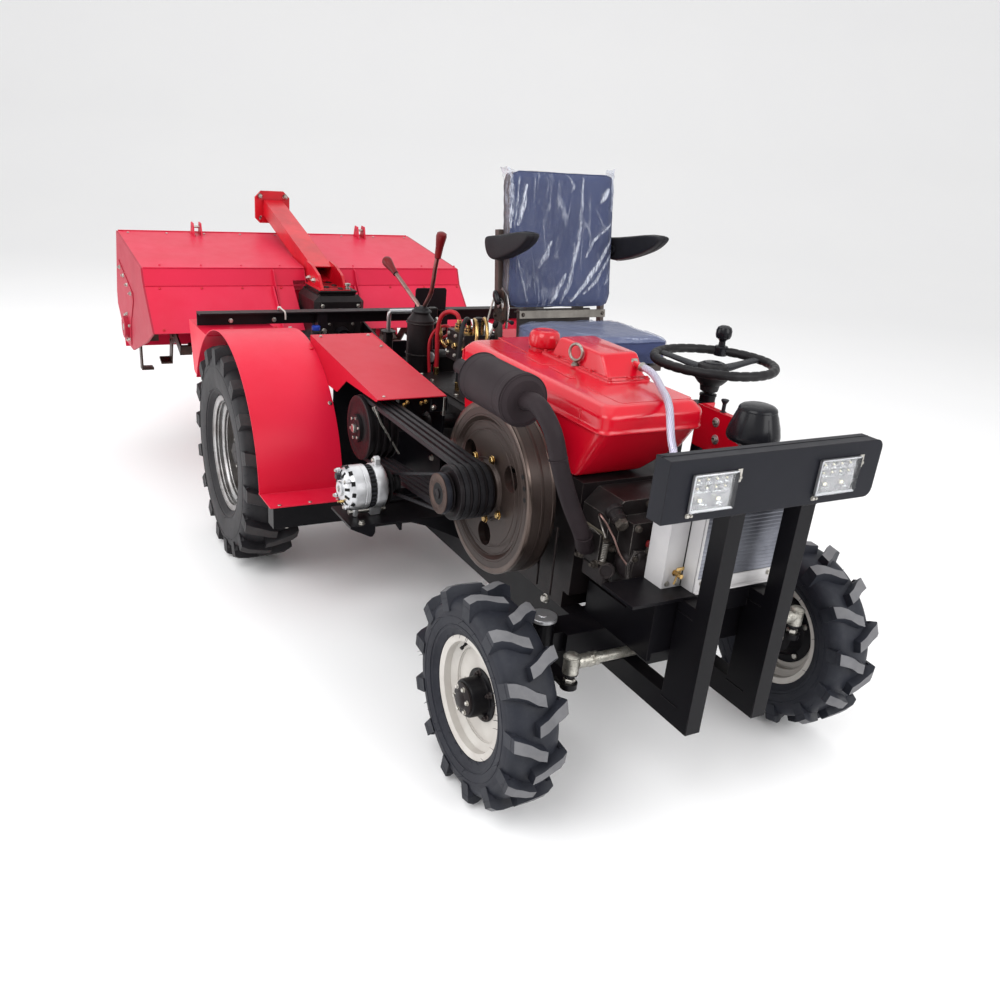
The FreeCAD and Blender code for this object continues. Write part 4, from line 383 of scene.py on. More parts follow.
class Build:
    """Collects faces in millimetres, then makes one piece that rides on a body."""

    def __init__(self):
        self.v, self.f, self.m = [], [], []

    def add(self, verts, faces, mat=0):
        o = len(self.v)
        self.v += [tuple(p) for p in verts]
        self.f += [tuple(o + i for i in f) for f in faces]
        self.m += [mat] * len(faces)

    def lathe(self, base, axis, profile, seg=32, mat=0, closed=False, start=0.0, sweep=360.0, wobble=None):
        """profile: (radius, height along axis). Rings with radius 0 become one point."""
        u, v, w = axes_of(axis)
        b = Vector(base)
        rings = []
        full = abs(sweep) >= 359.9
        n = seg if full else seg + 1
        for r, h in profile:
            if r <= 1e-6:
                rings.append([b + w * h])
                continue
            ring = []
            for i in range(n):
                a = math.radians(start + sweep * i / seg)
                rr = r if wobble is None else r * wobble(a, h)
                ring.append(b + w * h + (u * math.cos(a) + v * math.sin(a)) * rr)
            rings.append(ring)
        verts, offs = [], []
        for ring in rings:
            offs.append(len(verts))
            verts += ring
        faces = []
        pairs = list(zip(range(len(rings) - 1), range(1, len(rings))))
        if closed:
            pairs.append((len(rings) - 1, 0))
        for p, q in pairs:
            A, B = rings[p], rings[q]
            for i in range(n if full else n - 1):
                j = (i + 1) % n
                if len(A) == 1 and len(B) == 1:
                    continue
                if len(A) == 1:
                    faces.append((offs[p], offs[q] + i, offs[q] + j))
                elif len(B) == 1:
                    faces.append((offs[p] + i, offs[q], offs[p] + j))
                else:
                    faces.append((offs[p] + i, offs[q] + i, offs[q] + j, offs[p] + j))
        self.add(verts, faces, mat)

    def obox(self, c, ax, half, ch=1.5, mat=0):
        """Box with chamfered edges about centre c, along three axes."""
        c = Vector(c)
        ax = [Vector(a).normalized() for a in ax]
        ch = min(ch, 0.45 * min(half))
        verts, idx = [], {}
        for sx in (-1, 1):
            for sy in (-1, 1):
                for sz in (-1, 1):
                    s = (sx, sy, sz)
                    for k in range(3):
                        h = [half[i] - (0 if i == k else ch) for i in range(3)]
                        idx[(s, k)] = len(verts)
                        verts.append(c + ax[0] * (s[0] * h[0]) + ax[1] * (s[1] * h[1]) + ax[2] * (s[2] * h[2]))
        faces = []
        for k in range(3):
            i, j = [t for t in range(3) if t != k]
            for s in (-1, 1):
                q = []
                for a, b in ((-1, -1), (1, -1), (1, 1), (-1, 1)):
                    t = [0, 0, 0]
                    t[k], t[i], t[j] = s, a, b
                    q.append(idx[(tuple(t), k)])
                faces.append(tuple(q))
            for a in (-1, 1):
                for b in (-1, 1):
                    t0, t1 = [0, 0, 0], [0, 0, 0]
                    t0[k], t1[k] = -1, 1
                    t0[i] = t1[i] = a
                    t0[j] = t1[j] = b
                    faces.append((idx[(tuple(t0), i)], idx[(tuple(t1), i)], idx[(tuple(t1), j)], idx[(tuple(t0), j)]))
        for sx in (-1, 1):
            for sy in (-1, 1):
                for sz in (-1, 1):
                    s = (sx, sy, sz)
                    faces.append((idx[(s, 0)], idx[(s, 1)], idx[(s, 2)]))
        self.add(verts, faces, mat)

    def box(self, x0, x1, y0, y1, z0, z1, ch=1.5, mat=0):
        self.obox(((x0 + x1) / 2, (y0 + y1) / 2, (z0 + z1) / 2), (AX["x"], AX["y"], AX["z"]), ((x1 - x0) / 2, (y1 - y0) / 2, (z1 - z0) / 2), ch, mat)

    def bar(self, p, q, w, t, up=(0, 0, 1), ch=1.0, mat=0):
        """Flat bar from p to q: w wide across, t thick along up."""
        p, q = Vector(p), Vector(q)
        d = (q - p).normalized()
        n = Vector(up)
        n = (n - d * n.dot(d)).normalized()
        self.obox((p + q) / 2, (d, d.cross(n), n), ((q - p).length / 2, w / 2, t / 2), ch, mat)

    def prism(self, pts, axis, lo, hi, mat=0, ch=0.8):
        """Plate from an outline: pts are (y,z) for x, (x,z) for y, (x,y) for z; both rims chamfered."""
        area = sum(a[0] * b[1] - b[0] * a[1] for a, b in zip(pts, pts[1:] + pts[:1]))
        if area < 0:
            pts = pts[::-1]
        n = len(pts)
        ch = min(ch, abs(hi - lo) * 0.4)
        inner = []
        for i in range(n):
            p0, p1, p2 = Vector(pts[i - 1]), Vector(pts[i]), Vector(pts[(i + 1) % n])
            e1, e2 = (p1 - p0).normalized(), (p2 - p1).normalized()
            n1, n2 = Vector((-e1.y, e1.x)), Vector((-e2.y, e2.x))
            m = n1 + n2
            m = n1 if m.length < 1e-4 else m / max(0.35, m.length_squared / 2.0) * 1.0
            m = m if (n1 + n2).length < 1e-4 else (n1 + n2) / max(0.6, 1.0 + n1.dot(n2))
            inner.append(p1 + m * ch)

        def p3(a, h):
            return {"x": Vector((h, a[0], a[1])), "y": Vector((a[0], h, a[1])), "z": Vector((a[0], a[1], h))}[axis]
        rings = [[p3(a, lo) for a in inner], [p3(a, lo + ch) for a in pts], [p3(a, hi - ch) for a in pts], [p3(a, hi) for a in inner]]
        verts = [p for r in rings for p in r]
        faces = [tuple(range(n)), tuple(range(3 * n, 4 * n))]
        for k in range(3):
            for i in range(n):
                j = (i + 1) % n
                faces.append((k * n + i, k * n + j, (k + 1) * n + j, (k + 1) * n + i))
        self.add(verts, faces, mat)

    def tube(self, pts, r, seg=12, mat=0, closed=False, radii=None, caps=True, flat=1.0):
        pts = [Vector(p) for p in pts]
        n = len(pts)
        tang = []
        for i in range(n):
            a = pts[i - 1] if (i > 0 or closed) else pts[i]
            b = pts[(i + 1) % n] if (i < n - 1 or closed) else pts[i]
            tang.append((b - a).normalized())
        u, v, _ = axes_of(tang[0])
        verts, faces = [], []
        for i in range(n):
            t = tang[i]
            u = (u - t * u.dot(t)).normalized()
            v = t.cross(u)
            rr = r if radii is None else radii[i]
            for s in range(seg):
                a = 2 * math.pi * s / seg
                verts.append(pts[i] + u * (rr * math.cos(a)) + v * (rr * flat * math.sin(a)))
        for i in range(n if closed else n - 1):
            j = (i + 1) % n
            for s in range(seg):
                t = (s + 1) % seg
                faces.append((i * seg + s, i * seg + t, j * seg + t, j * seg + s))
        if caps and not closed:
            faces.append(tuple(range(seg))[::-1])
            faces.append(tuple((n - 1) * seg + s for s in range(seg)))
        self.add(verts, faces, mat)

    def torus(self, c, axis, R, r, seg=48, seg2=12, mat=0, start=0.0, sweep=360.0, radii=None):
        u, v, w = axes_of(axis)
        full = abs(sweep) > 359.9
        n = seg if full else seg + 1
        pts = [Vector(c) + (u * math.cos(math.radians(start + sweep * i / seg)) + v * math.sin(math.radians(start + sweep * i / seg))) * R for i in range(n)]
        self.tube(pts, r, seg2, mat, closed=full, radii=radii)

    def bolt(self, pos, axis, af=13.0, h=6.0, mat=0, washer=True, turn=None, stud=0.0):
        """Hexagon head with chamfered crown on a washer; pos is on the surface, axis points out."""
        u, v, w = axes_of(axis)
        p = Vector(pos)
        t = 0.0
        if washer:
            t = 1.6
            self.lathe(p, axis, [(0, -0.6), (af * 0.72, -0.6), (af * 0.72, t - 0.3), (af * 0.68, t), (0, t)], 16, mat)
        R = af / 2 / math.cos(math.pi / 6)
        a0 = rnd.uniform(0, 60) if turn is None else turn
        rings = [(R, t - 0.3), (R, t + h * 0.78), (R * 0.86, t + h), (0, t + h)]
        self.lathe(p, axis, rings, 6, mat, start=a0)
        if stud:
            self.lathe(p, axis, [(af * 0.30, t + h - 0.2), (af * 0.30, t + h + stud), (af * 0.22, t + h + stud + 1.0), (0, t + h + stud + 1.0)], 10, mat)

    def screw(self, pos, axis, d=10.0, mat=0):
        """Round pan head with a cross recess."""
        self.lathe(pos, axis, [(d * 0.5, -0.4), (d * 0.5, d * 0.10), (d * 0.42, d * 0.24), (d * 0.2, d * 0.30), (0, d * 0.30)], 14, mat)
        u, v, w = axes_of(axis)
        c = Vector(pos) + w * (d * 0.30)
        self.obox(c, (u, v, w), (d * 0.22, d * 0.05, 0.3), 0.1, mat)
        self.obox(c, (v, u, w), (d * 0.22, d * 0.05, 0.3), 0.1, mat)

    def weld(self, pts, r=3.0, mat=0, step=4.0, seed=1):
        """Rippled bead along a joint."""
        rr = random.Random(seed)
        pts = resample([Vector(p) for p in pts], step)
        radii = [r * (0.75 + 0.25 * math.sin(i * 1.7) + rr.uniform(-0.12, 0.12)) for i in range(len(pts))]
        self.tube(pts, r, 6, mat, radii=radii)

    def spring(self, base, axis, R, r, turns, length, mat=0, seg=10):
        u, v, w = axes_of(axis)
        pts = []
        for i in range(int(turns * seg) + 1):
            a = 2 * math.pi * i / seg
            pts.append(Vector(base) + w * (length * i / (turns * seg)) + (u * math.cos(a) + v * math.sin(a)) * R)
        self.tube(pts, r, 6, mat)

    def done(self, name, body, mats, slot=None, sharp=32.0, subsurf=0, replaces=()):
        me = bpy.data.meshes.new(name)
        me.from_pydata([W(*p) for p in self.v], [], self.f)
        me.polygons.foreach_set("material_index", self.m)
        for m in mats:
            me.materials.append(M[m])
        bm = bmesh.new()
        bm.from_mesh(me)
        bmesh.ops.recalc_face_normals(bm, faces=bm.faces)
        bm.to_mesh(me)
        bm.free()
        me.polygons.foreach_set("use_smooth", [True] * len(me.polygons))
        if sharp < 180:
            me.set_sharp_from_angle(angle=math.radians(sharp))
        me.update()
        o = bpy.data.objects.new(name, me)
        bpy.context.scene.collection.objects.link(o)
        if subsurf:
            s = o.modifiers.new("round", "SUBSURF")
            s.levels = s.render_levels = subsurf
        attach(o, body)
        if replaces:
            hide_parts(*replaces)
        return o


def resample(pts, step):
    out = [pts[0]]
    for a, b in zip(pts, pts[1:]):
        n = max(1, int(round((b - a).length / step)))
        out += [a.lerp(b, i / n) for i in range(1, n + 1)]
    return out


def curve_through(pts, per=8):
    """Smooth line through points, for bent steel pipes and rods."""
    P = [Vector(p) for p in pts]
    P = [P[0] * 2 - P[1]] + P + [P[-1] * 2 - P[-2]]
    out = []
    for i in range(1, len(P) - 2):
        p0, p1, p2, p3 = P[i - 1], P[i], P[i + 1], P[i + 2]
        for k in range(per):
            t = k / per
            out.append(0.5 * ((2 * p1) + (p2 - p0) * t + (2 * p0 - 5 * p1 + 4 * p2 - p3) * t * t + (3 * p1 - p0 - 3 * p2 + p3) * t ** 3))
    out.append(P[-2])
    return out


def on_circle(c, axis, R, a):
    u, v, w = axes_of(axis)
    return Vector(c) + (u * math.cos(math.radians(a)) + v * math.sin(math.radians(a))) * R


def dress(node, mat):
    """Gives a CAD node its finished material."""
    me = NODES[node].data
    me.materials.clear()
    me.materials.append(M[mat])


# ================================================================ tyres
def tyre(name, nodes, body, cx, cy, cz, R, Wd, flange_r, half_w, N, lug_h, lug_w, side, mats, phase=0.0, reach=12.0, outer=8.0, whiskers=70, seed=3):
    """Cleated tractor tyre: carcass section turned about the axle, with two rows of interlocked bars.
    side is -1 for the right-hand wheel; the bars point the same way on both sides of the machine."""
    B = Build()
    h = Wd / 2.0
    crown = R - lug_h
    # outer half of the section, from the crown to the bead (offset from the centre plane, radius)
    half = [(0.0, crown), (h * 0.22, crown - 0.4), (h * 0.44, crown - 1.6), (h * 0.62, crown - 4.0), (h * 0.78, crown - 9.0), (h * 0.90, crown - 18.0), (h * 0.97, crown - 30.0),
            (h * 1.0, crown - 46.0), (h * 0.995, (crown + flange_r) / 2.0 - 4.0), (h * 0.965, flange_r + 34.0), (h * 0.92, flange_r + 24.0), (h * 0.925, flange_r + 21.0), (h * 0.90, flange_r + 17.5), (h * 0.86, flange_r + 14.0),
            (half_w + 8.0, flange_r + 6.5), (half_w + 4.6, flange_r + 1.4), (half_w + 1.5, flange_r + 0.9), (half_w - 2.4, flange_r + 0.5), (half_w - 8.0, flange_r - 12.9)]
    prof = [(r, -y) for y, r in half[::-1]] + [(r, y) for y, r in half[1:]]
    B.lathe((cx, cy, cz), "y", prof, 96, 0)
    nh = len(half)
    # side faces of the carcass take the side-wall rubber
    base_faces = len(B.f)
    for i in range(base_faces):
        ring = i // 96
        if ring < nh - 7 or ring > nh + 4:
            B.m[i] = 1

    def surf(y):
        """Radius of the carcass at offset y."""
        y = abs(y)
        for (y0, r0), (y1, r1) in zip(half, half[1:]):
            if y0 <= y <= y1:
                return r0 + (r1 - r0) * (y - y0) / (y1 - y0 + 1e-9)
        return half[7][1]

    def top(y):
        """Radius of the bar tops at offset y."""
        t = min(1.0, abs(y) / (h + outer * 0.4))
        return R - 0.6 - 13.0 * max(0.0, t - 0.60) ** 2 / 0.16

    # centre line of a bar in (offset, degrees): from past the centre out over the shoulder, kinked in the middle
    deg = math.degrees(1.0 / R)
    for k in range(N):
        for s in (-1, 1):
            a0 = phase + 360.0 / N * (k + (0.5 if s == side else 0.0))
            line = [(-reach, -30.0), (h * 0.16, -20.0), (h * 0.50, -2.0), (h * 0.80, 8.0), (h + outer * 0.35, 13.0)]
            wid = [lug_w * 0.92, lug_w * 0.98, lug_w, lug_w * 1.06, lug_w * 1.10]
            rows = []
            for i, ((y, t), wd) in enumerate(zip(line, wid)):
                yy = min(y, h + outer)
                rows.append((y * s, t, wd))
            verts, faces = [], []
            for y, t, wd in rows:
                rt = top(y)
                rb = min(surf(min(abs(y), h * 0.97)) - 2.0, rt - 4.0)
                if abs(y) > h * 0.97:
                    rb = crown - 40.0
                for (r, spread) in ((rb, 1.32), (rt - 3.0, 1.04), (rt, 0.94)):
                    for e in (-1, 1):
                        a = math.radians(a0 + (t + e * wd / 2.0 * spread) * deg)
                        yb = y
                        verts.append((cx + r * math.cos(a), cy + yb, cz + r * math.sin(a)))
            n = len(rows)
            for i in range(n - 1):
                o, q = i * 6, (i + 1) * 6
                faces += [(o + 4, o + 5, q + 5, q + 4)]
                mats_top = len(faces)
                faces += [(o + 2, o + 4, q + 4, q + 2), (o + 5, o + 3, q + 3, q + 5), (o, o + 2, q + 2, q), (o + 3, o + 1, q + 1, q + 3), (o + 1, o, q, q + 1)]
            o = 0
            faces += [(o + 2, o + 3, o + 5, o + 4), (o, o + 1, o + 3, o + 2)]
            o = (n - 1) * 6
            faces += [(o + 4, o + 5, o + 3, o + 2), (o + 2, o + 3, o + 1, o)]
            lo = len(B.f)
            B.add(verts, faces, 0)
            for i in range(n - 1):
                B.m[lo + i * 6] = 2
            # shoulder foot that carries the bar down the side wall
            ys = (h - 1.5) * s
            foot = []
            for (r, yo, spread) in ((crown - 4.0, 2.0 + outer * 0.35, 1.10), (crown - 24.0, outer * 0.30, 0.98), (crown - 44.0, 1.2, 0.80)):
                for e in (-1, 1):
                    a = math.radians(a0 + (13.0 + e * lug_w * 0.55 * spread) * deg)
                    foot.append((cx + r * math.cos(a), cy + ys + yo * s, cz + r * math.sin(a)))
                for e in (1, -1):
                    a = math.radians(a0 + (13.0 + e * lug_w * 0.66 * spread) * deg)
                    foot.append((cx + r * math.cos(a), cy + ys - 9.0 * s, cz + r * math.sin(a)))
            ff = []
            for i in range(2):
                for j in range(4):
                    ff.append((i * 4 + j, i * 4 + (j + 1) % 4, (i + 1) * 4 + (j + 1) % 4, (i + 1) * 4 + j))
            ff += [(0, 1, 2, 3), (8, 9, 10, 11)]
            B.add(foot, ff, 1)
    # moulding lines round the side wall
    for s in (-1, 1):
        for rr, yo in ((flange_r + 30.0, h * 0.955), (crown - 52.0, h * 1.0)):
            B.lathe((cx, cy + s * (yo - 0.6), cz), "y" if s > 0 else "-y", [(rr - 1.6, -1.0), (rr - 0.8, 1.4), (rr + 0.8, 1.4), (rr + 1.6, -1.0)], 96, 1)
    # moulding whiskers
    wr = random.Random(seed)
    for i in range(whiskers):
        s = wr.choice((-1, 1, side, side))
        r = wr.choice((flange_r + 8.0, flange_r + 32.0, crown - 50.0, crown - 16.0, flange_r + 6.0))
        a = math.radians(wr.uniform(0, 360))
        ysurf = {flange_r + 8.0: half_w + 8.0, flange_r + 32.0: h * 0.96, crown - 50.0: h * 0.995, crown - 16.0: h * 0.89, flange_r + 6.0: half_w + 7.0}[r]
        p = Vector((cx + r * math.cos(a), cy + s * ysurf, cz + r * math.sin(a)))
        ln = wr.uniform(9.0, 17.0)
        d = Vector((wr.uniform(-0.5, 0.5), s * 1.0, wr.uniform(-0.5, 0.5))).normalized()
        if r < flange_r + 9:
            d = Vector((-math.cos(a) * 0.9, s * 0.35, -math.sin(a) * 0.9)).normalized()
        lim = 104.2 if R > 350.0 else h + 16.0
        pts = [Vector((q.x, cy + max(-lim, min(lim, q.y - cy)), q.z)) for q in (p - d * 2.0, p + d * ln * 0.5, p + d * ln + Vector((0, 0, -ln * 0.14)))]
        B.tube(pts, 0.7, 4, 1, radii=[0.9, 0.7, 0.4])
    return B.done(name, body, mats, "tyre", 30.0, replaces=nodes)


FT = ["tyre", "tyre_side", "lug_top"]
RT = ["tyre_rear", "tyre_rear", "lug_rear"]
tyre("front_tread_right", ["front_tyre_right"], "front_wheel_right", 0, -530, 296, 296.0, 146.0, 166.0, 52.0, 13, 25.0, 34.0, -1, FT, phase=19.6, seed=3)
tyre("front_tread_left", ["front_tyre_left"], "front_wheel_left", 0, 530, 296, 296.0, 146.0, 166.0, 52.0, 13, 25.0, 34.0, 1, FT, phase=9.0, seed=4)
tyre("rear_tread_right", ["rear_tyre_right"], "rear_wheel_right", -1700, -706, 414, 414.0, 204.0, 221.0, 73.0, 18, 30.0, 42.0, -1, RT, phase=4.0, reach=16.0, outer=6.0, whiskers=60, seed=5)
tyre("rear_tread_left", ["rear_tyre_left"], "rear_wheel_left", -1700, 706, 414, 414.0, 204.0, 221.0, 73.0, 18, 30.0, 42.0, 1, RT, phase=11.0, reach=16.0, outer=6.0, whiskers=60, seed=6)


# ================================================================ wheels
def front_hub(side, s):
    """s = -1 right, +1 left; the outer face of the wheel looks along s*Y."""
    body = "front_wheel_" + side
    c = (0.0, 530.0 * s, 296.0)
    out = "y" if s > 0 else "-y"
    inn = "-y" if s > 0 else "y"
    B = Build()
    # outer: drum on the disc with a bolted cap, small clamp ring
    B.lathe(c, out, [(72.0, 11.2), (72.0, 15.0), (68.0, 17.5), (56.0, 18.4), (53.0, 24.0), (52.0, 58.0), (49.0, 63.0), (44.5, 64.0), (44.5, 30.0)], 48, 0)
    B.lathe(c, out, [(44.0, 63.0), (44.0, 69.0), (40.0, 72.0), (26.0, 74.0), (20.0, 80.0), (12.0, 82.0), (0, 82.0)], 32, 1)
    for i in range(6):
        p = on_circle(c, out, 35.0, i * 60 + 14)
        B.bolt(p + AX[out] * 72.0, out, 10.0, 5.0, 2 if i != 2 else 3)
    for i in range(5):
        p = on_circle(c, out, 62.0, i * 72 + 30)
        B.bolt(p + AX[out] * 17.6, out, 13.0, 8.0, 1, True, None, 5.0)
    B.bolt(on_circle(c, out, 52.0, 150) + AX[out] * 40.0, on_circle((0, 0, 0), out, 1.0, 150), 10.0, 5.0, 3)
    # inner: black hub disc with bolt ring, as seen from between the wheels
    B.lathe(c, inn, [(108.0, 0.6), (108.0, 6.0), (100.0, 9.0), (84.0, 9.5), (78.0, 16.0), (66.0, 44.0), (44.6, 52.0), (44.6, 20.0)], 48, 0)
    for i in range(5):
        p = on_circle(c, inn, 92.0, i * 72 + 30)
        B.bolt(p + AX[inn] * 9.0, inn, 17.0, 7.0, 2, False)
    # seat ridge and weld round the disc, tyre valve
    B.weld([on_circle((0, c[1] + s * 12.0, 296), "y", 127.5, a) for a in range(0, 361, 6)], 2.6, 3, 5.0, 4)
    B.weld([on_circle((0, c[1] - s * 0.6, 296), "y", 127.5, a) for a in range(0, 361, 6)], 2.6, 3, 5.0, 5)
    va = math.radians(118)
    vp = Vector((math.cos(va) * 146.0, c[1] + s * 24.0, 296 + math.sin(va) * 146.0))
    vd = Vector((-math.cos(va) * 0.55, s * 0.83, -math.sin(va) * 0.55)).normalized()
    B.lathe(vp, vd, [(7.5, -8.0), (7.5, 2.0), (4.6, 5.0), (4.2, 18.0), (3.4, 19.0), (3.4, 25.0), (5.2, 25.5), (5.2, 33.0), (0, 34.0)], 12, 4)
    for q, t in ((c, 1),):
        for r, hh in ((152.5, 20.0), (132.5, 19.0)):
            B.torus((c[0], c[1] + s * hh, c[2]), "y", r - (3.0 if r > 140 else 0.0), 1.5, 72, 6, 3)
    B.done("front_hub_" + side, body, ["black_frame", "engine_black", "zinc", "cream_rim", "rubber"], "black_paint")
    dress("front_rim_" + side, "cream_rim")


def rear_hub(side, s):
    body = "rear_wheel_" + side
    c = (-1700.0, 706.0 * s, 414.0)
    out = "y" if s > 0 else "-y"
    inn = "-y" if s > 0 else "y"
    B = Build()
    # galvanised steps of the rim barrel, outside
    for r, hh, w in ((204.0, 60.0, 2.6), (203.0, 44.0, 2.2), (188.0, 40.5, 2.4), (184.0, 30.0, 2.4)):
        B.torus((c[0], c[1] + s * hh, c[2]), "y", r - 3.0, w, 96, 8, 0)
    B.lathe(c, out, [(219.0, 76.4), (222.5, 77.6), (224.0, 75.0), (221.4, 73.0)], 96, 0, True)
    # dished centre with pressed ring, hand holes and nuts
    B.lathe(c, out, [(176.0, -12.4), (168.0, -8.5), (150.0, -6.0), (118.0, -6.5), (104.0, -12.6)], 64, 1)
    B.lathe(c, out, [(96.0, -12.8), (96.0, -4.0), (90.0, 2.0), (74.0, 4.0), (66.0, 22.0), (62.4, 26.0)], 48, 2)
    for i in range(6):
        p = on_circle(c, out, 82.0, i * 60 + 20)
        B.bolt(p + AX[out] * 3.0, out, 22.0, 14.0, 3, True, None, 10.0)
    B.lathe(c, out, [(62.0, 30.1), (62.0, 34.0), (56.0, 37.0), (44.0, 38.0), (40.0, 46.0), (22.0, 49.0), (0, 49.0)], 32, 2)
    for i in range(4):
        p = on_circle(c, out, 52.0, i * 90 + 10)
        B.bolt(p + AX[out] * 37.0, out, 10.0, 5.0, 3)
    for i in range(8):
        a = i * 45 + 8
        p = on_circle(c, out, 133.0, a)
        B.lathe(p + AX[out] * -6.4, out, [(15.5, -1.0), (15.5, 0.6), (13.0, 1.6), (12.0, 0.2), (11.0, -3.0)], 20, 1)
        # near-black disc in each hand hole: painted shade of the opening
        B.lathe(p + AX[out] * -7.4, out, [(12.0, 0.0), (0, 0.2)], 20, 4)
    B.weld([on_circle((c[0], c[1] - s * 12.6, c[2]), "y", 183.0, a) for a in range(0, 361, 5)], 3.0, 1, 5.0, 7)
    B.weld([on_circle((c[0], c[1] - s * 23.4, c[2]), "y", 183.0, a) for a in range(0, 361, 5)], 3.0, 1, 5.0, 8)
    va = math.radians(64)
    vp = Vector((c[0] + math.cos(va) * 186.0, c[1] + s * 20.0, c[2] + math.sin(va) * 186.0))
    vd = Vector((-math.cos(va) * 0.4, s * 0.9, -math.sin(va) * 0.4)).normalized()
    B.lathe(vp, vd, [(8.0, -4.0), (8.0, 3.0), (5.0, 6.0), (4.4, 26.0), (5.6, 26.5), (5.6, 36.0), (0, 37.0)], 12, 5)
    # inner face nuts on the axle flange
    for i in range(6):
        p = on_circle(c, inn, 82.0, i * 60 + 20)
        B.bolt(p + AX[inn] * 23.2, inn, 20.0, 8.0, 3)
    B.done("rear_wheel_centre_" + side, body, ["galv", "old_iron", "engine_black", "zinc", "vent_dark", "rubber"], "rear_rim")
    dress("rear_rim_" + side, "galv")


front_hub("right", -1)
front_hub("left", 1)
rear_hub("right", -1)
rear_hub("left", 1)


# ================================================================ finishes of the CAD pieces that stay
for node_name, mat_name in (("front_axle_beam", "black_frame"), ("steering_knuckle_right", "black_frame"), ("steering_knuckle_left", "black_frame"), ("chassis_frame", "black_frame"),
                            ("bumper_posts", "black_frame"), ("alternator_bracket", "black_frame"), ("steering_column", "black_frame"), ("side_plates", "black_frame"),
                            ("foot_platform", "black_frame"), ("tiller_lift_frame", "black_frame"), ("drive_shaft", "black_frame"), ("rear_hitch", "black_frame"),
                            ("lift_cylinder_barrel", "black_frame"), ("tie_rod", "zinc_rod"), ("bumper_panel", "black_panel"), ("engine_block", "engine_black"),
                            ("rear_axle_housing", "engine_black"), ("transmission_case", "engine_black"), ("hydraulic_valve", "engine_black"), ("tiller_gearbox", "engine_black"),
                            ("cylinder_head", "head_grey"), ("flywheel", "flywheel"), ("crank_pulley", "pulley"), ("clutch_pulley", "pulley"), ("drive_belts", "belt"),
                            ("exhaust", "muffler"), ("radiator", "radiator"), ("fuel_tank", "red_gloss"), ("dash_panel", "red_gloss"), ("fenders", "red_sheet"),
                            ("deck_plates", "red_deck"), ("tiller_hood", "red_tiller"), ("tiller_end_plates", "red_end"), ("tiller_rear_board", "red_tiller"),
                            ("tiller_arm", "red_cast"), ("rear_cross_beam", "black_beam"), ("seat_frame", "rail_brown"), ("tiller_rotor", "blade"), ("lift_cylinder_rod", "chrome")):
    for real in sorted(NODES):
        if real == node_name or (real.startswith(node_name + "_") and real[len(node_name) + 1:] in ("right", "left", "front", "rear")):
            dress(real, mat_name)


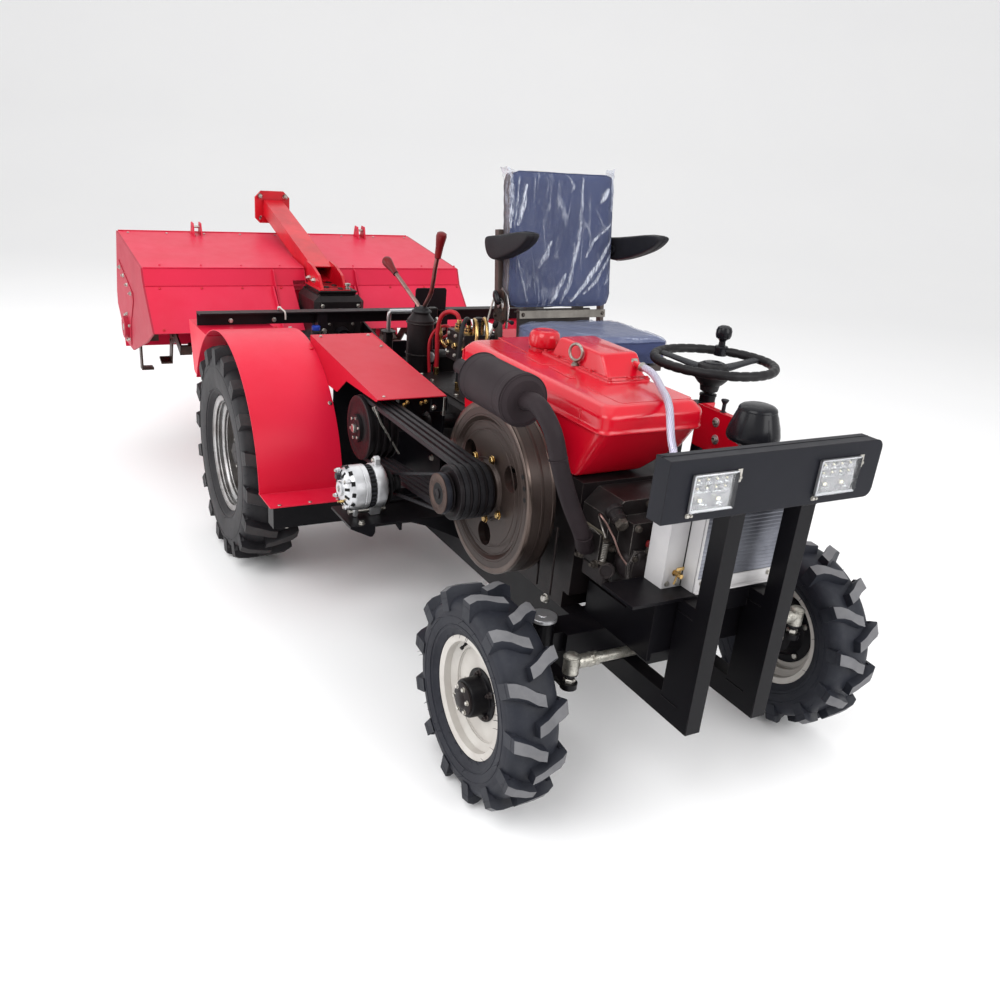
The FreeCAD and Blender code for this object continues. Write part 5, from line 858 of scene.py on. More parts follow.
# ================================================================ bumper, lamps, radiator
def lamps():
    B, L = Build(), Build()
    for y0, y1 in ((-281.0, -157.0), (92.0, 220.0)):
        z0, z1 = 918.0, 1006.0
        B.box(350.2, 352.2, y0 + 0.6, y1 - 0.6, z0 + 0.6, z1 - 0.6, 0.5, 0)
        B.box(352.0, 360.2, y0 + 0.4, y0 + 4.0, z0 + 0.4, z1 - 0.4, 1.0, 1)
        B.box(352.0, 360.2, y0 + 0.4, y1 - 0.4, z1 - 4.0, z1 - 0.4, 1.0, 1)
        B.box(352.0, 360.2, y0 + 0.4, y1 - 0.4, z0 + 0.4, z0 + 7.0, 1.4, 1)
        # dark bevelled cheek on the left-hand side of each lamp
        a, b = y1 - 17.0, y1 - 0.5
        B.add([(358.6, a, z0 + 7), (361.0, b, z0 + 2), (361.0, b, z1 - 2), (358.6, a, z1 - 4), (352.2, a, z0 + 7), (352.2, b, z0 + 2), (352.2, b, z1 - 2), (352.2, a, z1 - 4)],
              [(0, 1, 2, 3), (0, 3, 7, 4), (1, 5, 6, 2), (0, 4, 5, 1), (3, 2, 6, 7), (4, 7, 6, 5)], 5)

        def cup(ya, yb, za, zb, m, deep):
            yc, zc = (ya + yb) / 2, (za + zb) / 2
            hy, hz = (yb - ya) / 2 * m, (zb - za) / 2 * m
            rim = 0.8
            P = [(359.2, ya, za), (359.2, yb, za), (359.2, yb, zb), (359.2, ya, zb)]
            Q = [(359.2, ya + rim, za + rim), (359.2, yb - rim, za + rim), (359.2, yb - rim, zb - rim), (359.2, ya + rim, zb - rim)]
            R = [(deep + 1.6, yc - hy * 1.7, zc - hz * 1.7), (deep + 1.6, yc + hy * 1.7, zc - hz * 1.7), (deep + 1.6, yc + hy * 1.7, zc + hz * 1.7), (deep + 1.6, yc - hy * 1.7, zc + hz * 1.7)]
            S = [(deep, yc - hy, zc - hz), (deep, yc + hy, zc - hz), (deep, yc + hy, zc + hz), (deep, yc - hy, zc + hz)]
            f = []
            for k in range(3):
                for i in range(4):
                    j = (i + 1) % 4
                    f.append((k * 4 + i, k * 4 + j, (k + 1) * 4 + j, (k + 1) * 4 + i))
            f.append((12, 13, 14, 15))
            B.add(P + Q + R + S, f, 2)
            B.box(deep - 0.2, deep + 1.2, yc - hy * 0.7, yc + hy * 0.7, zc - hz * 0.7, zc + hz * 0.7, 0.3, 3)
        w0, w1, h0, h1 = y0 + 4.0, y1 - 17.0, z0 + 7.0, z1 - 4.0
        mid = h0 + (h1 - h0) * 0.50
        for i in range(2):
            cup(w0 + (w1 - w0) * i / 2, w0 + (w1 - w0) * (i + 1) / 2, h0, mid, 0.26, 352.6)
        for j in range(2):
            for i in range(4):
                cup(w0 + (w1 - w0) * i / 4, w0 + (w1 - w0) * (i + 1) / 4, mid + (h1 - mid) * j / 2, mid + (h1 - mid) * (j + 1) / 2, 0.22, 354.0)
        # clear cover with a rounded rim
        L.prism([(y0 + 3, z0), (y1 - 3, z0), (y1, z0 + 3), (y1, z1 - 3), (y1 - 3, z1), (y0 + 3, z1), (y0, z1 - 3), (y0, z0 + 3)], "x", 359.6, 361.8, 0, 0.8)
        # fixing tab with its screw, and the lower screw
        B.box(350.2, 352.4, y1 + 1.5, y1 + 15.0, z1 - 30.0, z1 + 1.0, 0.6, 4)
        B.bolt((352.4, y1 + 8.0, z1 - 18.0), "x", 8.0, 4.0, 4)
        B.box(350.2, 352.0, y1 + 2.0, y1 + 9.0, z1 - 40.0, z1 - 30.0, 0.4, 4)
        B.bolt((350.3, y0 + 4.0, z0 - 8.0), "x", 8.0, 4.0, 4)
        B.bolt((350.3, y0 + 15.0, z0 - 9.0), "x", 6.0, 3.0, 4)
    B.done("lamp_housings", "chassis", ["black_plastic", "aluminium", "reflector", "led", "zinc", "gloss_plastic"], "lamp", replaces=["work_lamps"])
    L.done("lamp_lenses", "chassis", ["lens"], "lamp")


lamps()

B = Build()
# weld beads where the posts meet the panel, their feet and the tray
for ya, yb in ((-147.0, -101.0), (71.0, 117.0)):
    B.weld([(347.6, ya, 894.2), (347.6, yb, 894.2)], 2.6, 0, 3.5, 3)
    B.weld([(348.0, ya - 0.3, 297.0), (348.0, ya - 0.3, 345.0)], 2.2, 0, 4.0, 5)
    B.weld([(297.0, ya - 0.4, 600.0), (236.0, ya - 0.4, 600.0)], 2.4, 0, 4.0, 6)
    B.weld([(236.0, ya, 350.8), (300.0, ya, 350.8)], 2.4, 0, 4.0, 7)
    B.weld([(52.0, ya - 0.2, 350.6), (52.0, yb + 0.2, 350.6)], 3.0, 0, 4.0, 8)
# panel: bent front edge seen from above, rounded front corner and inner folded lip
B.tube(curve_through([(301.0, -345.5, 1040.3), (312.0, -340.0, 1040.3), (318.0, -322.0, 1040.3), (319.0, -300.0, 1040.3), (319.0, 268.0, 1040.3)], 6), 1.1, 6, 1)
B.done("bumper_welds", "chassis", ["black_frame", "black_panel"], "black_paint")

B = Build()
# radiator: frame strips over the front face, louvre slats in between, rail at the bottom, filler cap, drain cock, bolts
B.box(237.9, 239.0, -111.0, 189.6, 641.0, 924.6, 0.3, 1)
B.prism([(-111.5, 640.6), (-104.5, 640.6), (-104.5, 924.6), (-111.5, 924.6)], "x", 238.6, 242.6, 0, 1.0)
B.prism([(168.0, 640.6), (189.8, 640.6), (189.8, 924.6), (168.0, 924.6)], "x", 238.6, 242.6, 0, 1.0)
B.prism([(-104.5, 894.0), (168.0, 894.0), (168.0, 924.6), (-104.5, 924.6)], "x", 238.6, 242.0, 0, 1.0)
B.prism([(-104.5, 656.0), (168.0, 656.0), (168.0, 676.0), (-104.5, 676.0)], "x", 238.6, 242.0, 0, 1.0)
B.box(236.0, 252.0, -111.5, 189.8, 640.6, 644.2, 0.8, 0)
B.box(238.4, 240.4, -111.5, 189.8, 644.0, 656.0, 0.5, 0)
for i in range(21):
    z = 682.5 + i * 10.2
    B.obox((240.2, 31.7, z), (Vector((0.62, 0, -0.78)), AX["y"], Vector((0.78, 0, 0.62))), (4.2, 136.2, 0.45), 0.15, 1)
B.box(194.6, 238.6, -113.0, -111.6, 641.0, 914.0, 0.3, 0)
# near-black strip along the gap between the side tank and the core: painted shade of the gap
B.box(193.6, 194.6, -116.4, -112.2, 641.0, 914.0, 0.2, 2)
B.lathe((208.0, 60.0, 948.0), "z", [(24.0, 0.0), (24.0, 3.0), (22.4, 4.0), (23.6, 6.0), (23.6, 20.0), (22.0, 23.0), (12.0, 24.4), (0, 24.6)], 40, 3, wobble=lambda a, h: 1.0 + (0.02 if 5 < h < 21 and math.cos(a * 12) > 0 else 0.0))
for p in ((242.2, -128.0, 651.0), (242.2, -90.0, 666.0), (242.2, 128.0, 664.0), (242.2, 184.0, 655.0)):
    if p[1] > -111:
        B.bolt(p, "x", 11.0, 4.0, 4)
for p in ((194.4, -128.0, 652.0), (194.4, -158.0, 652.0)):
    B.bolt(p, "x", 10.0, 4.0, 4)
B.lathe((194.0, -139.0, 680.0), "x", [(9.0, 0.0), (9.0, 2.5), (6.4, 3.0), (6.4, 9.0), (5.0, 9.5), (5.0, 20.0), (6.8, 21.0), (6.8, 27.0), (0, 28.0)], 6, 5)
B.tube([(212.0, -139.0, 680.0), (212.0, -139.0, 696.0)], 3.2, 8, 5)
B.obox((212.0, -139.0, 698.0), (AX["y"], AX["x"], AX["z"]), (12.0, 1.6, 4.5), 1.0, 5)
B.tube([(204.0, -139.0, 675.0), (208.0, -146.0, 664.0), (209.0, -150.0, 656.0)], 2.6, 8, 5)
# seams and ribs of the tanks
B.weld([(195.0, -174.2, 916.0), (126.0, -174.2, 916.0)], 1.4, 0, 5.0, 2)
B.tube([(194.4, -173.8, 641.0), (194.4, -173.8, 914.0)], 1.0, 6, 0)
B.done("radiator_trim", "chassis", ["radiator", "rad_core", "vent_dark", "aluminium", "zinc", "brass"], "radiator_paint")

# ================================================================ front axle, steering
B = Build()
for s in (-1, 1):
    y = 380.0 * s
    B.lathe((150.0, y, 464.0), "z", [(20.6, -1.0), (20.0, 2.0), (16.0, 6.0), (9.0, 8.0), (0, 8.4)], 28, 0)
    B.lathe((150.0, y, 463.6), "z", [(22.6, -3.0), (22.6, 0.8), (20.8, 1.2)], 28, 0)
    B.lathe((150.0, y, 418.4), "-z", [(20.0, -1.0), (20.0, 5.0), (15.0, 10.0), (13.0, 12.0)], 24, 1)
    a = y - s * 26.0
    for q in range(7):
        B.torus((150.0, a - s * q * 3.0, 445.0), "y", 13.9, 0.9, 20, 6, 0)
    B.lathe((150.0, a - s * 24.0, 445.0), "y" if s < 0 else "-y", [(14.0, -1.0), (19.5, -0.2), (19.5, 9.5), (14.0, 10.5)], 6, 0)
    B.torus((150.0, y, 418.0), "z", 19.4, 2.0, 28, 8, 1)
B.done("tie_rod_ends", "tie_rod", ["zinc_rod", "rubber"], "zinc")

for side, s in (("right", -1), ("left", 1)):
    B = Build()
    y = 380.0 * s
    B.lathe((0, y, 503.0), "z", [(38.2, -9.0), (38.2, -0.6), (36.6, 0.8), (22.0, 1.4), (0, 1.4)], 40, 0)
    B.lathe((0, y, 504.2), "z", [(13.0, 0.0), (12.4, 1.4), (9.0, 1.8), (0, 1.8)], 28, 0)
    B.lathe((0, y, 374.0), "z", [(32.0, 0.0), (33.0, 2.0), (33.0, 8.0), (30.0, 10.0)], 32, 2)
    # castellated nut under the steering arm, and bolts on the stub-axle flange
    B.lathe((150.0, y, 390.2), "z", [(16.0, 0.0), (16.0, 10.0), (14.0, 12.0), (0, 12.0)], 6, 2, start=20)
    for i in range(4):
        B.bolt(on_circle((0, y + s * 27.5, 330.0), "y", 0.1, 0) + Vector((24.0 * (1 if i % 2 else -1), 0, 22.0 * (1 if i // 2 else -1))), "-y" if s > 0 else "y", 1.0, 0.5, 2, False)
    B.done("knuckle_cap_" + side, "knuckle_" + side, ["aluminium", "engine_black", "zinc"], "zinc")

B = Build()
# bolts of the centre pivot, chassis weld seams near the front
for y in (-60.0, 60.0):
    B.bolt((50.2, y, 440.0), "x", 22.0, 11.0, 0, True, None, 8.0)
    B.bolt((50.2, y, 395.0), "x", 22.0, 11.0, 0, True, None, 8.0)
for s in (-1, 1):
    B.weld([(-49.0, 414.5 * s, 352.0), (49.0, 414.5 * s, 352.0)], 2.4, 1, 4.0, 3)
    B.weld([(50.4, 190.0 * s, 452.0), (50.4, 190.0 * s, 488.0)], 2.6, 1, 4.0, 4)
B.done("axle_bolts", "chassis", ["zinc", "black_frame"], "zinc")

# ================================================================ engine, right side and cylinder end
B = Build()
# injector holder and bolts round the end cover
B.lathe((28.0, -224.0, 790.0), (0.92, -0.10, -0.38), [(25.0, 0.0), (25.0, 10.0), (21.0, 13.0), (19.0, 14.0), (19.0, 30.0), (20.5, 31.0), (20.5, 35.0), (17.0, 36.0), (17.0, 44.0)], 28, 0)
B.lathe((28.0, -224.0, 790.0), (0.92, -0.10, -0.38), [(17.5, 43.0), (17.5, 58.0), (15.5, 60.0), (8.0, 60.4), (7.0, 57.0), (0, 57.0)], 6, 1)
for p in ((92.2, -190.0, 762.0), (92.2, -92.0, 764.0), (92.2, 34.0, 762.0), (92.2, -192.0, 600.0), (92.2, -76.0, 597.0), (92.2, 38.0, 600.0), (92.2, 40.0, 680.0)):
    B.bolt(p, "x", 15.0, 8.0, 1, True)
for p in ((36.2, -222.0, 586.0), (36.2, 64.0, 586.0), (36.2, 64.0, 790.0), (36.2, -120.0, 799.0), (36.2, -20.0, 799.0), (36.2, -222.0, 690.0), (36.2, 64.0, 690.0)):
    B.bolt(p, "x", 17.0, 9.0, 1, True, None, 3.0)
# sloping casting in front of the cover with its rib and plug
B.lathe((90.0, -176.0, 655.0), (0.80, -0.55, 0.05), [(52.0, -18.0), (50.0, 0.0), (44.0, 12.0), (34.0, 20.0), (20.0, 24.0), (0, 25.0)], 28, 0, wobble=lambda a, h: 1.0 + 0.10 * math.cos(2 * a + 0.7))
B.prism([(-206.0, 612.0), (-150.0, 596.0), (-132.0, 640.0), (-150.0, 700.0), (-196.0, 704.0), (-212.0, 668.0)], "x", 90.0, 104.0, 2, 3.0)
B.bolt((104.0, -156.0, 622.0), "x", 13.0, 7.0, 1)
B.bolt((104.0, -196.0, 684.0), "x", 11.0, 6.0, 1)
# return spring with its two eyes, banjo fitting
B.spring((46.0, -250.0, 664.0), (0.08, 0.0, 1.0), 7.5, 1.5, 11, 52.0, 3)
B.lathe((46.0, -250.0, 654.0), "z", [(0, 0.0), (12.0, 0.0), (12.0, 6.0), (8.5, 7.0), (8.5, 11.0), (0, 12.0)], 16, 1)
B.lathe((50.0, -250.0, 716.0), "z", [(0, 0.0), (9.0, 0.0), (9.0, 5.0), (5.0, 7.0), (0, 7.0)], 16, 1)
B.lathe((56.0, -238.0, 640.0), (0.7, -0.7, 0.1), [(18.0, -14.0), (18.0, 2.0), (20.0, 3.0), (20.0, 8.0), (18.0, 9.0), (18.0, 13.0), (19.5, 14.0), (19.5, 18.0), (18.4, 19.0), (16.4, 19.0), (15.6, 15.0), (0, 15.0)], 28, 0)
B.box(-40.0, 60.0, -250.0, -232.0, 590.0, 640.0, 8.0, 0)
# steel fuel pipe
B.tube(curve_through([(-4.0, -243.0, 768.0), (14.0, -252.0, 775.0), (44.0, -250.0, 760.0), (66.0, -242.0, 735.0), (84.0, -226.0, 690.0), (100.0, -200.0, 655.0), (112.0, -176.0, 622.0)], 8), 3.0, 8, 4)
B.lathe((108.0, -184.0, 632.0), (0.42, 0.55, -0.72), [(6.5, -4.0), (6.5, 6.0), (4.8, 7.0), (4.8, 16.0), (0, 16.0)], 6, 1)
B.tube(curve_through([(40.0, -238.0, 705.0), (48.0, -254.0, 730.0), (30.0, -256.0, 752.0), (-4.0, -243.0, 762.0)], 6), 2.6, 8, 3)
# drain cock with a red tip
B.lathe((106.0, -160.0, 640.0), "z", [(9.0, 0.0), (9.0, 50.0), (7.5, 52.0), (7.5, 66.0), (5.4, 68.0), (5.4, 76.0), (0, 76.0)], 14, 1)
B.lathe((106.0, -160.0, 716.0), "z", [(6.0, -1.0), (7.6, 2.0), (7.8, 9.0), (6.0, 14.0), (0, 15.0)], 14, 5)
# exhaust flange nuts on studs
B.bolt((-54.0, -250.2, 716.0), "-y", 17.0, 10.0, 1, True, None, 6.0)
B.bolt((18.0, -250.2, 640.0), "-y", 17.0, 10.0, 1, True, None, 6.0)
B.bolt((-50.0, -250.2, 640.0), "-y", 17.0, 10.0, 1, True, None, 6.0)
B.prism([(-66, 628), (30, 628), (32, 640), (26, 728), (-62, 728), (-68, 700)], "y", -241.5, -238.0, 6, 0.5)
B.tube([(-60.0, -250.5, 724.0), (-10.0, -251.0, 727.5), (22.0, -250.8, 724.0)], 1.5, 6, 3)
B.done("head_fittings", "chassis", ["engine_black", "dim_zinc", "head_grey", "edge_steel", "lever_steel", "grip_red", "gasket"], "zinc")

B = Build()
# crankcase: covers and ribs on the right side behind the flywheel, timing cover bolts and pump on the left
gc = (-336.0, 130.0, 713.0)
for i in range(10):
    B.bolt(on_circle(gc, "y", 138.0, i * 36 + 8), "y", 13.0, 7.0, 1)
B.lathe(gc, "y", [(150.5, -6.0), (150.5, -1.0), (146.0, 1.2), (126.0, 1.6), (118.0, 6.0), (64.0, 9.0), (60.0, 15.0), (34.0, 18.0), (30.0, 26.0), (12.0, 28.0), (12.0, 18.0), (0, 18.0)], 64, 0)
B.lathe((-250.0, 130.0, 800.0), "y", [(34.0, 0.0), (34.0, 16.0), (28.0, 20.0), (0, 20.0)], 28, 2)
for i in range(4):
    B.bolt(on_circle((-250.0, 150.0, 800.0), "y", 24.0, i * 90 + 20), "y", 10.0, 5.0, 1)
# injection pump and pipe, oil filler, dipstick
B.box(-196.0, -130.0, 96.0, 150.0, 640.0, 720.0, 8.0, 2)
B.lathe((-163.0, 124.0, 720.0), "z", [(20.0, -1.0), (20.0, 22.0), (14.0, 26.0), (14.0, 40.0), (9.0, 42.0), (9.0, 52.0), (0, 52.0)], 20, 1)
B.tube(curve_through([(-163.0, 124.0, 770.0), (-163.0, 126.0, 800.0), (-120.0, 130.0, 818.0), (-40.0, 128.0, 800.0), (30.0, 100.0, 780.0), (60.0, 40.0, 776.0), (80.0, 6.0, 770.0)], 8), 3.2, 8, 3)
B.lathe((80.0, 0.0, 764.0), (0.6, 0.6, 0.4), [(9.0, -8.0), (9.0, 8.0), (6.0, 10.0), (6.0, 18.0), (0, 18.0)], 6, 1)
B.lathe((-520.0, 190.0, 863.0), "z", [(22.0, -1.0), (22.0, 14.0), (26.0, 16.0), (26.0, 30.0), (22.0, 33.0), (0, 34.0)], 24, 4, wobble=lambda a, h: 1.0 + 0.03 * math.cos(a * 8))
B.tube(curve_through([(-600.0, 96.0, 560.0), (-604.0, 118.0, 600.0), (-604.0, 122.0, 660.0)], 6), 5.0, 10, 0)
B.torus((-604.0, 122.0, 672.0), "y", 10.0, 2.4, 20, 8, 3)
# cover plates on the crankcase end and side
B.prism([(-720, 500), (-560, 500), (-540, 520), (-540, 640), (-560, 660), (-720, 660), (-735, 645), (-735, 515)], "y", 249.6, 255.0, 0, 1.5)
for x in (-715.0, -640.0, -560.0):
    for z in (515.0, 645.0):
        B.bolt((x, 255.0, z), "y", 11.0, 5.0, 1)
for x in (-700.0, -560.0, -120.0):
    B.bolt((x, -296.2, 480.0), "-y", 19.0, 10.0, 1)
    B.bolt((x, 250.2, 480.0), "y", 19.0, 10.0, 1)
for s, y in ((-1, -296.2), (1, 250.2)):
    for x in (-690.0, -600.0, -510.0, -170.0, -100.0):
        B.box(x - 4.0, x + 4.0, y - (6.0 if s < 0 else 0.0), y + (6.0 if s > 0 else 0.0), 500.0, 840.0 if x < -500 else 700.0, 2.0, 0)
B.done("engine_covers", "chassis", ["engine_black", "zinc", "head_grey", "edge_steel", "black_plastic"], "dark_iron")


# ================================================================ fuel tank fittings
def rounded(x0, x1, y0, y1, r, n=5):
    out = []
    for cx, cy, a0 in ((x1 - r, y1 - r, 0), (x0 + r, y1 - r, 90), (x0 + r, y0 + r, 180), (x1 - r, y0 + r, 270)):
        for i in range(n + 1):
            a = math.radians(a0 + 90.0 * i / n)
            out.append((cx + r * math.cos(a), cy + r * math.sin(a)))
    return out


def loft(B, rings, mat, cap_top=True, cap_bottom=True, n=8):
    """Stack of rounded rectangles (z, x0, x1, y0, y1, radius)."""
    verts, faces = [], []
    for z, x0, x1, y0, y1, r in rings:
        verts += [Vector((x, y, z)) for x, y in rounded(x0, x1, y0, y1, r, n)]
    m = 4 * (n + 1)
    for i in range(len(rings) - 1):
        for j in range(m):
            k2 = (j + 1) % m
            faces.append((i * m + j, i * m + k2, (i + 1) * m + k2, (i + 1) * m + j))
    if cap_bottom:
        faces.append(tuple(range(m)))
    if cap_top:
        faces.append(tuple(range((len(rings) - 1) * m, len(rings) * m)))
    B.add(verts, faces, mat)


B = Build()
# pressed tank: lower shell with soft corners, rolled seam, upper shell with sloping shoulder, hopper
low = []
for z in (830.4, 831.6, 834.0, 838.0, 845.0, 860.0, 880.0, 890.0, 900.0, 908.0, 925.0, 950.0, 968.0, 971.0):
    t = (z - 830.0) / 145.0
    edge = max(0.0, 1.0 - (z - 830.0) / 9.0) ** 2 * 9.0
    x1 = -117.0 + 99.0 * t - edge
    x0 = (-760.0 - 28.0 * min(1.0, (z - 830.0) / 60.0) - 4.0 * max(0.0, (z - 890.0) / 85.0)) + edge
    y1 = min(56.0, -48.0 + 1.346 * (z - 829.0)) - edge
    low.append((z, x0, x1, -257.0 + edge, y1, 14.0 + 20.0 * min(1.0, t * 2.5)))
loft(B, low, 0)
loft(B, [(970.0, -794.0, -18.0, -258.0, 57.5, 32.0), (972.0, -799.0, -13.0, -262.4, 62.0, 33.0), (974.0, -801.5, -10.6, -264.0, 63.4, 34.0), (977.0, -801.9, -10.2, -264.4, 63.8, 34.0), (979.5, -801.0, -11.0, -263.4, 63.0, 34.0), (981.5, -799.4, -12.6, -261.6, 61.4, 33.0),
         (990.0, -799.2, -12.8, -261.4, 61.2, 33.0), (1010.0, -799.2, -12.8, -261.4, 61.2, 33.0), (1016.0, -798.6, -13.4, -260.8, 60.6, 33.0), (1020.0, -797.0, -15.0, -259.2, 59.0, 32.0), (1024.0, -793.8, -18.2, -256.0, 55.8, 31.0),
         (1034.0, -784.0, -28.0, -246.0, 46.0, 28.0), (1038.0, -779.6, -32.4, -241.6, 41.6, 27.0), (1040.4, -775.0, -37.0, -237.0, 37.0, 26.0), (1041.6, -769.0, -43.0, -231.0, 31.0, 25.0), (1041.9, -760.0, -52.0, -222.0, 22.0, 24.0)], 0)
loft(B, [(1041.0, -586.0, -224.0, -105.0, 37.0, 14.0), (1046.0, -585.0, -225.0, -104.0, 36.0, 14.0), (1048.0, -583.0, -227.0, -102.0, 34.0, 13.0)], 0)
loft(B, [(1047.0, -560.0, -252.0, -89.0, 25.0 + 18.0, 14.0), (1049.0, -556.0, -257.0, -87.0, 41.0, 14.0), (1053.0, -552.5, -263.0, -86.0, 40.0, 14.0), (1094.0, -528.0, -297.0, -85.6, 39.6, 14.0), (1099.0, -524.5, -301.0, -84.0, 38.0, 13.0), (1102.6, -520.0, -306.0, -80.0, 34.0, 12.0), (1103.9, -514.0, -312.0, -74.0, 28.0, 10.0)], 0)
B.lathe((-300.0, 18.0, 1076.0), "x", [(14.0, 0.0), (14.0, 4.0), (9.0, 6.0), (9.0, 43.6), (7.0, 44.0), (0, 44.0)], 28, 0)
B.done("fuel_tank_shell", "chassis", ["red_gloss"], "red_gloss", sharp=50, replaces=["fuel_tank"])

B = Build()
# pressed panels on top, strip beside the hopper
B.prism([(-788, -138), (-585, -150), (-560, -176), (-452, -182), (-436, -112), (-592, -112), (-600, 44), (-788, 44)], "z", 1041.2, 1043.6, 0, 1.2)
B.prism([(-420, -176), (-296, -184), (-292, -168), (-416, -160)], "z", 1041.2, 1044.6, 0, 1.4)
B.prism([(-210, -190), (-60, -190), (-50, -180), (-50, 30), (-60, 40), (-210, 40)], "z", 1041.2, 1042.9, 0, 1.0)
# rib down the right-hand front corner, pressed rim of the hopper base
for x in (-118.0, -776.0):
    B.box(x - 3.0, x + 3.0, -264.2, -260.0, 982.0, 1016.0, 1.6, 0)
B.tube([(x, y, 1048.2) for x, y in rounded(-584.0, -226.0, -103.0, 35.0, 10.0)], 1.4, 6, 0, closed=True)
for x, y in ((-572.0, -95.0), (-500.0, -96.0), (-330.0, -96.0), (-238.0, -95.0), (-234.0, -34.0), (-236.0, 26.0)):
    B.bolt((x, y, 1048.0), "z", 9.0, 5.0, 1)
# rounded edges of the hopper, weld line
B.weld([(-550.0, -87.0, 1049.6), (-262.0, -87.0, 1049.6)], 1.6, 0, 4.0, 9)
B.weld([(-254.0, -78.0, 1049.6), (-254.0, 34.0, 1049.6)], 1.6, 0, 4.0, 10)
B.box(-300.0, -297.0, -70.0, 4.0, 1052.0, 1086.0, 1.0, 0)
B.done("tank_pressings", "chassis", ["red_gloss", "red_cast"], "red_gloss")

B = Build()
B.lathe((-630.0, -66.0, 1042.0), "z", [(40.0, 0.2), (40.0, 7.0), (37.0, 8.0), (37.0, 12.0)], 48, 0)
B.lathe((-630.0, -66.0, 1042.0), "z", [(34.0, 8.4), (44.0, 8.8), (47.2, 14.0), (47.9, 26.0), (46.6, 40.0), (43.0, 49.6), (37.0, 55.6), (26.0, 57.8), (24.0, 56.4), (0, 56.4)], 96, 0, wobble=lambda a, h: 1.0 + (0.035 * (abs(math.cos(a * 4)) ** 0.6 - 0.8) if 16 < h < 52 else 0.0))
B.torus((-630.0, -66.0, 1057.0), "z", 35.6, 1.4, 40, 8, 1)
B.done("fuel_filler_cap", "chassis", ["red_gloss", "vent_dark"], "red_gloss", replaces=["fuel_cap"])

B = Build()
# lifting eye on its stud
c = Vector((-405.0, -100.0, 1085.0))
B.torus(c, (0.30, -0.95, 0.0), 22.5, 4.4, 40, 12, 0)
B.lathe((-405.0, -98.0, 1048.0), "z", [(11.0, 0.0), (11.0, 3.0), (9.0, 4.0), (6.0, 5.0), (6.0, 15.0), (0, 16.0)], 16, 0)
B.bolt((-405.0, -98.0, 1048.0), "z", 17.0, 6.0, 0)
# hose clamp and hexagon on the outlet of the hopper
B.lathe((-298.0, 18.0, 1076.0), "x", [(16.0, 0.0), (16.0, 10.0), (13.0, 12.0), (0, 12.0)], 6, 0)
for x in (-252.0, ):
    B.torus((x, 18.0, 1076.0), "x", 11.6, 1.4, 24, 6, 0)
B.done("tank_lifting_eye", "chassis", ["zinc_rod"], "zinc")

# ================================================================ exhaust
B = Build()
for x in (-128.0, -112.0, -329.0, -104.5):
    B.torus((x, -440.0, 1049.0), "x", 64.4, 2.0, 64, 8, 0)
for x in (-300.0, -150.0):
    B.torus((x, -440.0, 1049.0), "x", 63.7, 0.8, 64, 6, 0)
B.weld([on_circle((-97.0, -440.0, 1049.0), "x", 24.0, a) for a in range(0, 361, 10)], 2.6, 0, 4.0, 2)
# weld seam part way down the pipe, and the flange collar
for c, d in (((19.0, -404.0, 940.0), (0.1, 0.24, -1.0)), ((15.0, -298.0, 725.0), (-0.2, 0.3, -0.9))):
    u, v, w = axes_of(d)
    B.torus(c, d, 22.4, 1.6, 40, 8, 0)
B.lathe((-450.0, -440.0, 1049.0), "x", [(20.6, 0.0), (20.6, 4.0), (15.0, 4.0), (15.0, -0.5), (20.6, -0.5)], 32, 0)
B.lathe((-330.0, -440.0, 1049.0), "-x", [(30.0, 0.0), (28.0, 3.0), (21.0, 5.0)], 40, 0)
B.done("exhaust_seams", "chassis", ["muffler"], "exhaust_paint")

# ================================================================ flywheel, pulleys, belts
B = Build()
fc = (-336.0, 0.0, 733.0)


def onfly(R, deg, y):
    return Vector((fc[0] + R * math.cos(math.radians(deg)), y, fc[2] + R * math.sin(math.radians(deg))))


B.lathe((fc[0], -395.0, fc[2]), "-y", [(224.0, -0.4), (224.0, 0.8), (228.0, 1.6), (236.0, 1.8), (239.6, 0.6), (240.8, -2.0), (240.8, -9.0), (239.4, -11.0)], 128, 1)
B.lathe((fc[0], -355.0, fc[2]), "-y", [(239.6, 4.0), (240.7, 2.6), (240.7, -6.0), (239.6, -8.0)], 128, 0)
B.lathe((fc[0], -318.0, fc[2]), "-y", [(239.6, 7.0), (240.9, 5.6), (240.9, -1.0), (238.0, -3.2), (228.0, -3.4)], 128, 1)
for R, w, h in ((206.0, 2.0, 0.9), (186.0, 1.2, 0.6), (164.0, 1.2, 0.6), (88.0, 1.4, 0.8)):
    B.lathe((fc[0], -395.0, fc[2]), "-y", [(R - w, -0.3), (R - w * 0.4, h), (R + w * 0.4, h), (R + w, -0.3)], 120, 0)
for deg, R in ((131.0, 98.0), (333.0, 99.0), (283.0, 84.0), (72.0, 98.0)):
    p = onfly(R, deg, -395.2)
    B.lathe(p, "-y", [(13.0, -0.4), (13.0, 1.6), (10.5, 2.2), (10.5, 6.6), (9.0, 8.4), (0, 8.4)], 6, 2)
# timing marks and balance holes on the rim, drawn as shallow near-black discs: painted shade inside the holes
for deg in (12.0, 20.0, 28.0):
    B.lathe(onfly(216.0, deg, -395.1), "-y", [(6.5, -0.2), (6.5, 0.25), (5.4, 0.4), (5.0, 0.1), (0, 0.1)], 18, 3)
B.done("flywheel_trim", "crankshaft", ["flywheel", "rim_polish", "brass", "vent_dark"], "flywheel_iron")

B = Build()
